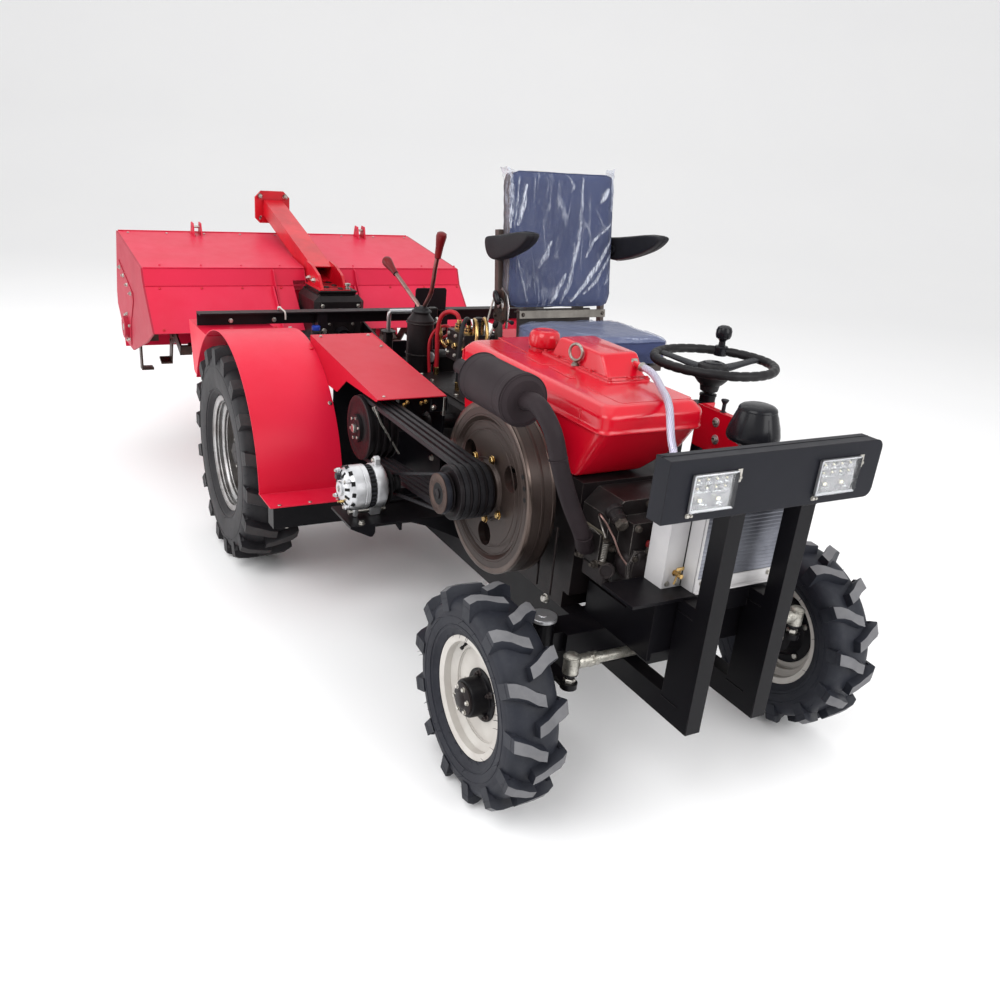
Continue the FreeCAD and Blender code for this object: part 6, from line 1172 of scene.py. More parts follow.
# crank pulley: front plate ring, dished centre, nose ring and the shaft nut
B.lathe((fc[0], -505.0, fc[2]), "-y", [(76.2, -4.0), (76.2, 0.4), (74.6, 1.6), (68.0, 1.8), (65.0, 0.4), (58.0, 0.4)], 72, 0)
B.lathe((fc[0], -539.0, fc[2]), "-y", [(56.4, -16.0), (56.8, -15.0), (56.8, -4.0), (55.4, -1.6)], 64, 3)
B.lathe((fc[0], -539.0, fc[2]), "-y", [(55.8, -2.0), (55.6, 0.8), (53.0, 1.8), (34.0, 1.8), (31.0, 0.4), (30.0, -0.4)], 64, 1)
B.lathe((fc[0], -539.0, fc[2]), "-y", [(30.4, -0.2), (29.0, 0.2), (24.0, 0.4), (0, 0.4)], 40, 4)
B.lathe((fc[0], -539.0, fc[2]), "-y", [(15.0, 0.2), (15.0, 4.0), (13.0, 5.0), (0, 5.0)], 6, 0, start=20)
for i in range(3):
    p = (fc[0] + 42.0 * math.cos(math.radians(30 + 120 * i)), -540.4, fc[2] + 42.0 * math.sin(math.radians(30 + 120 * i)))
    B.lathe(p, "-y", [(4.6, -0.4), (4.6, 0.6), (2.6, 1.0), (2.4, 0.2), (0, 0.2)], 16, 1)
B.done("crank_pulley_face", "crankshaft", ["pulley", "blade", "zinc", "black_panel", "vent_dark"], "pulley_iron")

B = Build()
cc = (-1020.0, -519.0, 706.0)
B.lathe(cc, "-y", [(24.4, -0.4), (24.4, 1.2), (17.0, 2.0), (0, 2.0)], 32, 0)
B.lathe((cc[0], -505.0, cc[2]), "-y", [(106.2, -4.0), (106.2, 0.4), (104.0, 1.6), (90.0, 1.8), (86.0, 0.4), (62.0, 0.4), (58.0, 1.6), (46.2, 1.6)], 80, 0)
B.lathe(cc, "-y", [(15.0, 1.5), (15.0, 8.0), (13.0, 9.6), (0, 9.6)], 6, 1)
for i in range(6):
    a = math.radians(60 * i + 15)
    B.bolt((cc[0] + 36.0 * math.cos(a), -519.2, cc[2] + 36.0 * math.sin(a)), "-y", 9.0, 4.0, 1, False)
B.done("clutch_pulley_face", "chassis", ["pulley", "zinc"], "pulley_iron")

# ================================================================ generator
B = Build()
ac = Vector((-670.0, 0.0, 640.0))


def A(R, deg, y):
    return Vector((ac.x + R * math.cos(math.radians(deg)), y, ac.z + R * math.sin(math.radians(deg))))


base = (ac.x, 0.0, ac.z)
B.lathe(base, "y", [(0, -697.0), (10.0, -697.0), (10.0, -700.6), (20.0, -701.0), (22.0, -699.0), (22.0, -694.0), (38.0, -693.0), (50.0, -689.0), (60.0, -682.0), (66.0, -673.0), (67.6, -666.0), (67.8, -640.0), (66.4, -639.0), (66.4, -637.0), (67.8, -636.0), (67.8, -624.0), (66.0, -621.6), (62.0, -621.0)], 64, 0)
B.lathe(base, "y", [(60.0, -622.0), (62.4, -620.0), (62.4, -602.0), (60.0, -600.0)], 64, 1)
for i in range(30):
    p = A(63.2, i * 12.0, -611.0)
    t = Vector((-math.sin(math.radians(i * 12.0)), 0, math.cos(math.radians(i * 12.0))))
    B.obox(p, (AX["y"], t, t.cross(AX["y"])), (9.0, 3.0, 2.2), 0.5, 2)
B.lathe(base, "y", [(60.0, -602.4), (67.0, -601.4), (67.8, -599.0), (67.8, -576.0), (65.0, -569.0), (54.0, -562.0), (38.0, -558.0), (22.0, -556.0), (20.0, -553.0), (0, -553.0)], 64, 0)
# cooling windows: rear cap, rim and front cap, as thin near-black plates standing for the painted shade inside the
# openings
for i in range(12):
    a = i * 30.0 + 15.0
    t = Vector((-math.sin(math.radians(a)), 0, math.cos(math.radians(a))))
    r = Vector((math.cos(math.radians(a)), 0, math.sin(math.radians(a))))
    n = (r * 0.45 + AX["-y"] * 0.9).normalized()
    B.obox(A(47.0, a, -690.4), (t.cross(n), t, n), (9.5, 4.4, 0.9), 0.6, 3)
    n2 = (r * 0.95 + AX["-y"] * 0.3).normalized()
    B.obox(A(65.8, a + 15.0, -676.0), (t, n2.cross(t), n2), (7.0, 6.0, 1.0), 0.6, 3)
    n3 = (r * 0.5 + AX["y"] * 0.86).normalized()
    B.obox(A(52.0, a, -561.8), (t.cross(n3), t, n3), (8.0, 4.6, 0.9), 0.6, 3)
for i in range(4):
    a = i * 90.0 + 40.0
    B.lathe(A(58.0, a, -687.0), "-y", [(7.5, -4.0), (7.5, 6.0), (5.6, 7.5), (5.6, 11.0), (0, 11.6)], 16, 0)
    B.lathe(A(58.0, a, -697.6), "-y", [(4.6, 0.0), (4.6, 3.0), (0, 3.2)], 6, 4)
B.lathe(base, "y", [(0, -704.0), (6.5, -704.0), (6.5, -700.0)], 16, 4)
B.box(ac.x - 22.0, ac.x - 2.0, -706.0, -692.0, ac.z + 26.0, ac.z + 44.0, 2.0, 5)
B.lathe((ac.x + 26.0, -700.0, ac.z - 30.0), "-y", [(5.0, -8.0), (5.0, 3.0), (3.4, 4.0), (3.4, 12.0), (0, 12.0)], 12, 6)
# ear on top and pivot lugs below
B.prism([(ac.x - 13.0, ac.z + 60.0), (ac.x + 13.0, ac.z + 60.0), (ac.x + 11.0, ac.z + 84.0), (ac.x + 5.0, ac.z + 91.0), (ac.x - 5.0, ac.z + 91.0), (ac.x - 11.0, ac.z + 84.0)], "y", -592.0, -574.0, 0, 2.0)
B.lathe((ac.x, -592.0, ac.z + 80.0), "-y", [(6.5, 0.0), (6.5, 5.0), (5.5, 6.0), (0, 6.0)], 6, 4)
B.prism([(ac.x - 14.0, ac.z - 58.0), (ac.x + 14.0, ac.z - 58.0), (ac.x + 12.0, ac.z - 91.0), (ac.x - 12.0, ac.z - 91.0)], "y", -604.0, -568.0, 0, 3.0)
B.prism([(ac.x - 13.0, ac.z - 58.0), (ac.x + 13.0, ac.z - 58.0), (ac.x + 11.0, ac.z - 91.0), (ac.x - 11.0, ac.z - 91.0)], "y", -656.0, -640.0, 0, 3.0)
# pivot bolt with zinc spacer and nuts
B.lathe((ac.x, -668.0, ac.z - 76.0), "y", [(0, 0.0), (11.0, 0.0), (11.0, 10.0), (8.0, 10.5)], 6, 4)
B.lathe((ac.x, -658.0, ac.z - 76.0), "y", [(8.0, 0.0), (9.5, 0.5), (9.5, 2.0), (5.5, 2.2), (5.5, 17.0), (9.0, 17.4), (9.0, 53.4), (5.5, 54.0), (5.5, 96.0), (10.0, 96.4), (10.0, 106.0), (0, 107.0)], 20, 4)
# fan and pulley
B.lathe(base, "y", [(20.0, -553.0), (56.0, -552.4), (57.4, -551.6), (57.4, -550.4), (56.0, -549.8), (20.0, -549.0)], 48, 1)
for i in range(12):
    a = i * 30.0
    t = Vector((-math.sin(math.radians(a)), 0, math.cos(math.radians(a))))
    r = Vector((math.cos(math.radians(a)), 0, math.sin(math.radians(a))))
    B.obox(A(44.0, a, -547.6), (r, (t + AX["y"] * 0.9).normalized(), r.cross((t + AX["y"] * 0.9).normalized())), (12.0, 3.0, 0.6), 0.2, 1)
B.lathe(base, "y", [(20.0, -549.0), (20.0, -537.0), (33.6, -537.0), (34.0, -535.4), (27.0, -532.0), (26.0, -530.0), (26.0, -521.0), (27.0, -519.0), (34.0, -516.0), (33.6, -514.2), (12.0, -514.0)], 48, 1)
B.lathe(base, "y", [(13.0, -514.2), (13.0, -506.0), (11.0, -504.0), (0, -504.0)], 6, 4)
B.done("generator", "chassis", ["aluminium", "vent_dark", "black_plastic", "vent_dark", "zinc", "black_plastic", "brass"], "cast_aluminium", replaces=["alternator"])

B = Build()
# clamp plate, bolts and the adjusting strap on the carrier
for x in (-745.0, -605.0):
    B.bolt((x, -650.0, 547.5), "z", 15.0, 8.0, 0)
    B.bolt((x, -300.0, 547.5), "z", 15.0, 8.0, 0)
B.weld([(-752.0, -300.0, 539.4), (-752.0, -490.0, 539.4)], 2.2, 1, 4.0, 3)
B.tube(curve_through([(-700.0, -612.0, 549.0), (-716.0, -590.0, 556.0), (-730.0, -560.0, 553.0), (-742.0, -470.0, 552.0), (-744.0, -330.0, 556.0), (-738.0, -280.0, 580.0)], 8), 3.6, 8, 2)
B.done("carrier_bolts", "chassis", ["zinc", "black_frame", "rubber"], "zinc")

# ================================================================ air cleaner
B = Build()
ax0 = (72.0, 150.0, 0.0)
B.lathe(ax0, "z", [(24.2, 764.0), (24.2, 936.0), (34.0, 944.0), (44.0, 952.0), (50.0, 956.0), (48.0, 960.0)], 48, 1)
B.lathe(ax0, "z", [(44.0, 956.6), (56.0, 957.0), (64.0, 960.6), (68.2, 966.6), (69.0, 973.4), (68.0, 981.0), (63.5, 998.0), (58.0, 1015.0), (52.6, 1030.0), (49.0, 1040.0)], 72, 0)
B.lathe(ax0, "z", [(49.2, 1039.4), (49.6, 1041.6), (47.6, 1046.0), (42.0, 1050.6), (32.0, 1053.8), (14.0, 1055.4), (0, 1055.8)], 72, 0)
B.torus((72.0, 150.0, 1040.2), "z", 49.0, 0.9, 64, 6, 2)
B.lathe((72.0, 150.0, 1054.0), "z", [(9.0, 0.0), (9.0, 1.4), (0, 1.8)], 20, 1)
for i in range(6):
    a = i * 60 + 20
    B.tube([on_circle((72.0, 150.0, 976.0), "z", 68.4, a), on_circle((72.0, 150.0, 998.0), "z", 63.3, a), on_circle((72.0, 150.0, 1028.0), "z", 53.2, a)], 0.8, 6, 0)
B.torus((72.0, 150.0, 900.0), "z", 25.4, 2.0, 32, 6, 3)
B.torus((72.0, 150.0, 790.0), "z", 25.0, 2.0, 32, 6, 3)
B.prism([(16.0, 714.0), (92.0, 714.0), (100.0, 724.0), (100.0, 758.0), (92.0, 766.0), (16.0, 766.0)], "y", 112.0, 176.0, 1, 5.0)
for y in (122.0, 166.0):
    B.bolt((100.0, y, 740.0), "x", 9.0, 4.0, 3)
B.done("air_filter", "chassis", ["gloss_plastic", "black_plastic", "black_plastic", "zinc"], "black_plastic", replaces=["air_cleaner"])

# ================================================================ dash panel and steering
B = Build()
for x, z in ((-165.0, 929.0), (-156.0, 881.0), (20.0, 929.0)):
    B.lathe((x, 239.8, z), "-y", [(14.0, -0.4), (14.0, 1.2), (12.8, 1.8), (0, 1.8)], 24, 1)
    B.lathe((x, 238.2, z), "-y", [(8.4, 0.0), (8.4, 5.0), (7.2, 6.4), (5.0, 6.4), (4.6, 3.4), (0, 3.4)], 6, 0)
    B.lathe((x, 243.2, z), "y", [(9.0, 0.0), (9.0, 6.0), (4.0, 6.2), (4.0, 12.0), (0, 12.0)], 6, 0)
B.tube([(-248.0, 240.5, 959.6), (48.0, 240.5, 959.6)], 1.6, 8, 2)
B.tube([(-249.0, 240.5, 842.0), (-249.0, 240.5, 958.0)], 1.4, 8, 2)
# push-pull stud on the panel's top flange
B.lathe((-158.0, 252.0, 960.0), "z", [(9.0, 0.0), (9.0, 2.0), (5.6, 3.0), (5.6, 24.0), (7.0, 26.0), (11.0, 33.0), (11.0, 36.0), (9.0, 37.0), (0, 37.0)], 20, 3)
# key switch and lamp switch facing the driver
B.lathe((-247.2, 270.0, 925.0), "-x", [(14.0, 0.0), (14.0, 4.0), (10.0, 5.0), (10.0, 9.0), (0, 9.0)], 24, 0)
B.lathe((-247.2, 270.0, 885.0), "-x", [(11.0, 0.0), (11.0, 4.0), (6.0, 5.0), (5.0, 14.0), (8.0, 20.0), (0, 21.0)], 20, 3)
B.done("dash_fittings", "chassis", ["zinc_rod", "aluminium", "red_gloss", "black_plastic"], "zinc")

B = Build()
wx, wy, wz = -360.0, 370.0, 1050.0
n = 132
ring_pts, ring_r = [], []
for i in range(n):
    a = 2 * math.pi * i / n
    ring_pts.append((wx + 178.0 * math.cos(a), wy + 178.0 * math.sin(a), wz))
    ring_r.append(13.2 + 0.75 * (1 if math.cos(a * 33) > -0.3 else -0.9))
B.tube(ring_pts, 14.0, 16, 0, closed=True, radii=ring_r)
# hub shroud, cap and the stepped sleeve under it
B.lathe((wx, wy, 0.0), "z", [(12.2, 872.0), (13.0, 958.0), (22.0, 960.0), (27.0, 963.0), (30.0, 980.0), (38.0, 986.0), (47.0, 996.0), (52.0, 1003.0), (53.0, 1010.0), (53.0, 1020.0), (50.0, 1025.0), (47.0, 1029.0), (46.0, 1036.0), (43.0, 1042.0), (33.0, 1047.0), (31.0, 1045.0), (0, 1046.0)], 48, 0)
B.lathe((wx, wy, 0.0), "z", [(29.0, 1046.0), (26.0, 1049.4), (14.0, 1051.6), (0, 1052.0)], 40, 2)
for k in range(3):
    a = math.radians(90.0 + 120.0 * k)
    d = Vector((math.cos(a), math.sin(a), 0))
    t = Vector((-math.sin(a), math.cos(a), 0))
    c0 = Vector((wx, wy, 0.0))
    prof = [(30.0, 1028.0, 25.0, 10.0), (60.0, 1030.0, 21.0, 8.5), (100.0, 1037.0, 17.0, 7.0), (140.0, 1044.0, 15.5, 6.5), (172.0, 1049.0, 18.0, 7.0)]
    verts, faces = [], []
    for r, z, hw, ht in prof:
        for i in range(12):
            q = 2 * math.pi * i / 12
            cs, sn = math.cos(q), math.sin(q)
            cs = math.copysign(abs(cs) ** 0.7, cs)
            sn = math.copysign(abs(sn) ** 0.7, sn)
            verts.append(c0 + d * r + t * (hw * cs) + Vector((0, 0, z + ht * sn)))
    for i in range(len(prof) - 1):
        for j in range(12):
            k2 = (j + 1) % 12
            faces.append((i * 12 + j, i * 12 + k2, (i + 1) * 12 + k2, (i + 1) * 12 + j))
    B.add(verts, faces, 1)
# spinner knob and its clamp on the rim
kx, ky = wx + 178.0 * math.cos(math.radians(133.0)), wy + 178.0 * math.sin(math.radians(133.0))
B.lathe((kx, ky, 0.0), "z", [(20.0, 1036.0), (22.0, 1040.0), (22.0, 1062.0), (19.0, 1066.0), (11.0, 1068.0), (10.0, 1080.0), (13.0, 1085.0), (22.0, 1091.0), (25.0, 1100.0), (25.0, 1114.0), (21.0, 1124.0), (12.0, 1129.0), (0, 1130.0)], 32, 2)
B.done("steering_wheel_rim", "steering_wheel", ["rubber", "black_plastic", "gloss_plastic"], "black_plastic", replaces=["steering_wheel"])
B = Build()
for z in (600.0, 900.0):
    B.torus((wx, wy, z), "z", 24.6, 1.4, 32, 6, 0)
for dx in (-38.0, 38.0):
    for dz in (450.0, 500.0):
        B.bolt((wx + dx, wy + 50.2, dz), "y", 13.0, 7.0, 1)
B.lathe((wx, wy, 946.0), "z", [(26.0, 0.0), (26.0, 6.0), (20.0, 8.0), (13.4, 8.4)], 32, 0)
B.done("column_trim", "chassis", ["black_frame", "zinc"], "black_paint")


# ================================================================ fabric and film
def navy(name, warp=0.0):
    k = Mat(name)
    a = k.wave(520.0, k.vec((1, 1, 1), (0.0, 0.78, 0.0)), "X")
    b = k.wave(520.0, k.vec(), "Y")
    weave = k.math("MULTIPLY", a, b)
    tone = k.mix(k.ramp(k.noise(5.0, 4.0, 0.6), [(0.3, 0.0), (0.7, 1.0)]), srgb(50, 60, 98), srgb(34, 42, 76))
    col = k.mix(k.math("MULTIPLY", weave, 0.35), tone, srgb(92, 104, 146))
    k.bump(weave, 0.35, 0.0006)
    k.bump(k.noise(22.0, 4.0, 0.6), 0.22, 0.003)
    return k.done(col, k.map(k.noise(60.0), 0.62, 0.8), 0.0, spec=0.3, sheen=0.25)


def side_cloth():
    k = Mat("seat_side")
    col = k.mix(k.ramp(k.noise(26.0, 6.0, 0.7), [(0.35, 0.0), (0.65, 1.0)]), srgb(104, 92, 90), srgb(70, 62, 64))
    k.bump(k.noise(160.0, 4.0, 0.7), 0.5, 0.001)
    return k.done(col, k.map(k.noise(40.0), 0.6, 0.8), 0.0, spec=0.3, sheen=0.2)


def film(name, rot, scale, base_alpha, clear, painted_reflection_color, painted_speck=0.2):
    """Thin clear wrap: nearly unseen on the flats, with a painted whitish reflection where it is creased, along thin
    ridges and in fine specks.
    """
    k = Mat(name)
    v = k.vec(scale, rot)
    n1 = k.noise(1.0, 3.0, 0.5, 0.3, v)
    at = k.new("ShaderNodeAttribute", attribute_name="crease", attribute_type="GEOMETRY")
    c = at.outputs["Fac"]
    body = k.math("MULTIPLY", k.ramp(c, [(0.22, 0.0), (0.85, 1.0)]), k.ramp(k.noise(70.0, 4.0, 0.7, 0.2, k.vec((1.0, 2.2, 0.45), rot)), [(0.34, 0.15), (0.60, 1.0)]))
    ridge = k.math("SUBTRACT", 1.0, k.math("MULTIPLY", k.math("ABSOLUTE", k.math("SUBTRACT", n1, 0.5)), 26.0), True)
    thin = k.math("MULTIPLY", ridge, k.math("MULTIPLY", k.ramp(k.noise(7.0, 3.0, 0.6), [(0.46, 0.0), (0.62, 1.0)]), 0.45))
    fine = k.math("MULTIPLY", k.ramp(k.noise(44.0, 3.0, 0.7), [(0.60, 0.0), (0.74, 1.0)]), painted_speck)
    # creases, ridges and specks together: where the painted reflection goes
    painted_reflection_mask = k.math("MAXIMUM", k.math("MAXIMUM", body, thin), fine)
    k.bump(n1, 0.6, 0.010)
    k.bump(k.noise(34.0, 3.0, 0.7), 0.4, 0.004)
    alpha = k.math("ADD", k.math("MULTIPLY", painted_reflection_mask, 0.82 - base_alpha), base_alpha)
    return k.done(k.mix(painted_reflection_mask, clear, painted_reflection_color), 0.14, 0.0, 0.0, 0.05, 0.6, 0.0, 1.45, alpha)


M["navy"] = navy("navy_cloth")
M["seat_side"] = side_cloth()
# the pale second colour of each film is its painted reflection
M["film_back"] = film("clear_film_back", (0.5, 0.0, 0.0), (7.0, 20.0, 3.2), 0.14, srgb(120, 128, 150), srgb(214, 220, 234))
M["film_seat"] = film("clear_film_seat", (0.0, 0.0, 0.5), (22.0, 6.0, 9.0), 0.34, srgb(140, 150, 184), srgb(206, 212, 230), 0.12)

# ================================================================ seat
TH = math.radians(9.0)


def lean(x, y, z):
    """Point in the leaning frame of the backrest, to millimetres on the machine."""
    return Vector((-1120.0 + x * math.cos(TH) - z * math.sin(TH), y, 1000.0 + x * math.sin(TH) + z * math.cos(TH)))


def pad(name, lo, hi, place, crown_axis, voxel, pressure, cap, inset):
    """Closed pad: rounded block, voxel remeshed, blown up as cloth with a cap, then smoothed."""
    bm = bmesh.new()
    n = (10, 14, 14)
    bmesh.ops.create_cube(bm, size=1.0)
    bmesh.ops.subdivide_edges(bm, edges=bm.edges[:], cuts=11, use_grid_fill=True)
    c = [(a + b) / 2 for a, b in zip(lo, hi)]
    hlf = [(b - a) / 2 - i for a, b, i in zip(lo, hi, inset)]
    for v in bm.verts:
        p = [v.co.x * 2, v.co.y * 2, v.co.z * 2]
        # rounded block: pull the corners in
        q = [p[0], p[1], p[2]]
        m = sum(abs(t) ** 13 for t in p) ** (1.0 / 13.0)
        s = max(abs(t) for t in p) / m if m > 1e-6 else 1.0
        q = [t * s for t in q]
        # sides pull in between the corners
        others = [i for i in range(3) if i != crown_axis]
        u, w = p[others[0]], p[others[1]]
        waist = 1.0 - 0.022 * (1.0 - min(1.0, abs(p[crown_axis])) ** 2)
        q[others[0]] *= waist
        q[others[1]] *= waist
        q[crown_axis] *= 0.93 + 0.07 * (1 - u * u) * (1 - w * w)
        v.co = Vector([c[i] + q[i] * hlf[i] for i in range(3)])
    me = bpy.data.meshes.new(name)
    bm.to_mesh(me)
    bm.free()
    for v in me.vertices:
        v.co = W(*place(v.co.x, v.co.y, v.co.z))
    o = bpy.data.objects.new(name, me)
    bpy.context.scene.collection.objects.link(o)
    r = o.modifiers.new("remesh", "REMESH")
    r.mode = "VOXEL"
    r.voxel_size = voxel
    dg = bpy.context.evaluated_depsgraph_get()
    base = bpy.data.meshes.new_from_object(o.evaluated_get(dg))
    o.modifiers.clear()
    o.data = base
    rest = [v.co.copy() for v in base.vertices]
    cl = o.modifiers.new("cloth", "CLOTH")
    cs = cl.settings
    cs.quality = 4
    cs.mass = 0.25
    cs.tension_stiffness = cs.compression_stiffness = 18.0
    cs.shear_stiffness = 8.0
    cs.bending_stiffness = 2.0
    cs.use_pressure = True
    cs.uniform_pressure_force = pressure
    cs.effector_weights.gravity = 0.0
    cl.collision_settings.use_collision = False
    cl.point_cache.frame_start, cl.point_cache.frame_end = 1, 14
    for f in range(1, 15):
        bpy.context.scene.frame_set(f)
    dg = bpy.context.evaluated_depsgraph_get()
    out = bpy.data.meshes.new_from_object(o.evaluated_get(dg))
    o.modifiers.clear()
    o.data = out
    for v, q in zip(out.vertices, rest):
        d = v.co - q
        if d.length > cap / 1000.0:
            v.co = q + d.normalized() * (cap / 1000.0)
    bpy.context.scene.frame_set(1)
    sm = o.modifiers.new("even", "SMOOTH")
    sm.factor, sm.iterations = 0.5, 2
    sb = o.modifiers.new("fine", "SUBSURF")
    sb.levels = sb.render_levels = 0
    dg = bpy.context.evaluated_depsgraph_get()
    done = bpy.data.meshes.new_from_object(o.evaluated_get(dg))
    o.modifiers.clear()
    o.data = done
    done.polygons.foreach_set("use_smooth", [True] * len(done.polygons))
    return o


def cloth_mats(o, front, side, facing, limit):
    """Two materials by the way each face looks."""
    o.data.materials.clear()
    o.data.materials.append(M[front])
    o.data.materials.append(M[side])
    for p in o.data.polygons:
        p.material_index = 1 if abs(p.normal.dot(facing)) < limit else 0


X_BACK = Vector((math.cos(TH), 0.0, math.sin(TH)))
back = pad("seat_back_pad", (-70.0, 84.0, 56.0), (4.0, 531.0, 530.0), lean, 0, 0.0070, 3.0, 6.0, (5.0, 3.0, 3.0))
cloth_mats(back, "navy", "seat_side", X_BACK, 0.45)
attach(back, "chassis")
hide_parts("seat_back")
cush = pad("seat_cushion_pad", (-1130.0, 108.0, 926.0), (-780.0, 560.0, 1021.0), lambda x, y, z: (x, y, z), 2, 0.0075, 3.0, 7.0, (4.0, 4.0, 5.0))
cloth_mats(cush, "navy", "navy", Vector((0, 0, 1)), 0.0)
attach(cush, "chassis")
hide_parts("seat_cushion")


def crease(streaks, a, b):
    """Height of the nearest crease at a point, 0 to 1; each streak is points, half width, strength."""
    best = 0.0
    for pts, half, power in streaks:
        for i in range(len(pts) - 1):
            (ax, ay), (bx, by) = pts[i], pts[i + 1]
            L = (bx - ax) ** 2 + (by - ay) ** 2
            t = max(0.0, min(1.0, ((a - ax) * (bx - ax) + (b - ay) * (by - ay)) / L))
            d = math.hypot(a - ax - t * (bx - ax), b - ay - t * (by - ay))
            whole = (i + t) / (len(pts) - 1)
            w = half * (0.35 + 0.65 * math.sin(math.pi * min(1.0, max(0.0, 0.08 + whole * 0.84))))
            if d < w * 1.6:
                best = max(best, power * (1.0 - (d / (w * 1.6)) ** 2))
    return best


def wrap(name, target, u_pts, rows, place, ears, mat, off, seed, streaks, flat_of):
    """Open sheet of film laid over a pad: each point goes to the nearest cloth, a few millimetres off it."""
    from mathutils.bvhtree import BVHTree
    dg = bpy.context.evaluated_depsgraph_get()
    tree = BVHTree.FromObject(target, dg)
    cols = len(u_pts)
    verts, faces, fold = [], [], []
    for j, v in enumerate(rows):
        for i, (a, b) in enumerate(u_pts):
            p = W(*place(a, b, v))
            near, nrm, _, dist = tree.find_nearest(p)
            fa, fb = flat_of(a, b, v)
            ear = ears(i / (cols - 1.0), j / (len(rows) - 1.0), a, b, v)
            c = crease(streaks, fa + 5.0 * noise.noise(Vector((fa * 0.03, fb * 0.03, seed))), fb)
            c = max(c, min(0.72, (abs(ear[1]) + abs(ear[2])) / 26.0))
            fold.append(c)
            crinkle = noise.noise(Vector((fa * 0.035, fb * 0.018, seed))) * 1.8 + noise.noise(Vector((fa * 0.11, fb * 0.07, seed))) * 1.0
            q = near + nrm * ((off + 2.0 + crinkle + 3.2 * c) / 1000.0)
            q += Vector(ear) / 1000.0
            verts.append(q)
    for j in range(len(rows) - 1):
        for i in range(cols - 1):
            faces.append((j * cols + i, j * cols + i + 1, (j + 1) * cols + i + 1, (j + 1) * cols + i))
    me = bpy.data.meshes.new(name)
    me.from_pydata(verts, [], faces)
    me.materials.append(M[mat])
    me.polygons.foreach_set("use_smooth", [True] * len(me.polygons))
    me.attributes.new("crease", "FLOAT", "POINT").data.foreach_set("value", fold)
    o = bpy.data.objects.new(name, me)
    bpy.context.scene.collection.objects.link(o)
    area_ = sum(p.area for p in me.polygons)
    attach(o, "chassis")
    return o, area_


def around(x0, x1, y0, y1, n_side, n_front):
    """Walk over the pad: right-hand side, front, left-hand side."""
    pts = [(x0 + (x1 - x0) * i / n_side, y0) for i in range(n_side)]
    pts += [(x1, y0 + (y1 - y0) * i / n_front) for i in range(n_front + 1)]
    pts += [(x1 - (x1 - x0) * (i + 1) / n_side, y1) for i in range(n_side)]
    return pts


def back_ears(u, v, a, b, z):
    top = max(0.0, (v - 0.90) / 0.10) ** 1.5
    right = max(0.0, 1.0 - abs(b - 84.0) / 46.0)
    left = max(0.0, 1.0 - abs(b - 531.0) / 46.0)
    mid = 0.5 + 0.5 * math.cos((b - 100.0) / 415.0 * 6.28 * 2.5)
    return (-4.0 * right * top, (-24.0 * right + 7.0 * left) * top, (20.0 * right + 28.0 * left - 3.0 * mid) * top)


BACK_FOLDS = [([(149, 472), (133, 388), (119, 343)], 9.0, 1.0), ([(379, 506), (377, 404), (369, 291), (329, 144), (299, 75)], 8.0, 0.75), ([(512, 356), (428, 292), (404, 239)], 6.0, 0.8),
              ([(515, 304), (458, 219), (408, 155), (345, 85)], 8.0, 1.0), ([(521, 262), (448, 154), (397, 112)], 6.0, 0.8), ([(253, 289), (229, 238), (205, 202)], 9.0, 0.8),
              ([(315, 181), (284, 123), (260, 76)], 8.0, 0.8), ([(111, 257), (137, 166), (158, 82)], 4.0, 0.6), ([(88, 512), (86, 416), (84, 337)], 12.0, 0.9), ([(488, 469), (461, 427)], 11.0, 0.9),
              ([(512, 512), (511, 439), (514, 400)], 9.0, 0.8), ([(349, 291), (348, 165), (318, 102)], 4.0, 0.6), ([(315, 516), (342, 474), (330, 454)], 6.0, 0.6), ([(514, 187), (489, 143)], 6.0, 0.6),
              ([(122, 500), (112, 420), (104, 330)], 5.0, 0.7), ([(170, 300), (182, 200), (196, 110)], 3.0, 0.5), ([(440, 400), (470, 350), (512, 320)], 3.5, 0.6), ([(230, 420), (236, 470), (228, 512)], 3.5, 0.45), ([(140, 200), (150, 120), (168, 72)], 3.0, 0.6),
              ([(60, 510), (58, 420), (62, 300)], 6.0, 0.6), ([(72, 250), (70, 160), (78, 80)], 5.0, 0.5)]
upts = around(-70.0, 10.0, 83.0, 532.0, 10, 110)
rows = [55.0 + 479.0 * j / 110.0 for j in range(111)]
fb, ab = wrap("seat_back_film", back, upts, rows, lean, back_ears, "film_back", 2.0, 3.0, BACK_FOLDS, lambda a, b, z: (b + (min(0.0, a) * 0.9 if b < 200 else -min(0.0, a) * 0.9), z))


def seat_ears(u, v, a, b, x):
    return (0.0, 0.0, 0.0)


SEAT_FOLDS = [([(150, -1100), (300, -1110), (420, -1090)], 4.0, 0.7), ([(180, -1060), (260, -1000), (330, -960)], 5.0, 0.5), ([(520, -900), (548, -860), (552, -800)], 7.0, 0.8), ([(470, -830), (540, -800)], 5.0, 0.8),
              ([(400, -1080), (480, -1000), (540, -960)], 4.0, 0.6), ([(350, -820), (420, -800), (500, -792)], 4.0, 0.7), ([(540, -1100), (556, -1020), (556, -940)], 5.0, 0.6), ([(200, -880), (300, -850)], 4.0, 0.5)]
upts = [(104.0, 930.0), (103.0, 950.0), (102.0, 975.0), (102.0, 998.0), (103.0, 1018.0)] + [(108.0 + 452.0 * i / 80.0, 1028.0) for i in range(81)] + [(565.0, 1018.0), (566.0, 998.0), (566.0, 975.0), (565.0, 950.0)]
fs, as_ = wrap("seat_cushion_film", cush, upts, [-1124.0 + 346.0 * j / 70.0 for j in range(71)], lambda a, b, x: (x, a, b), seat_ears, "film_seat", 1.5, 8.0, SEAT_FOLDS, lambda a, b, x: (a, x))

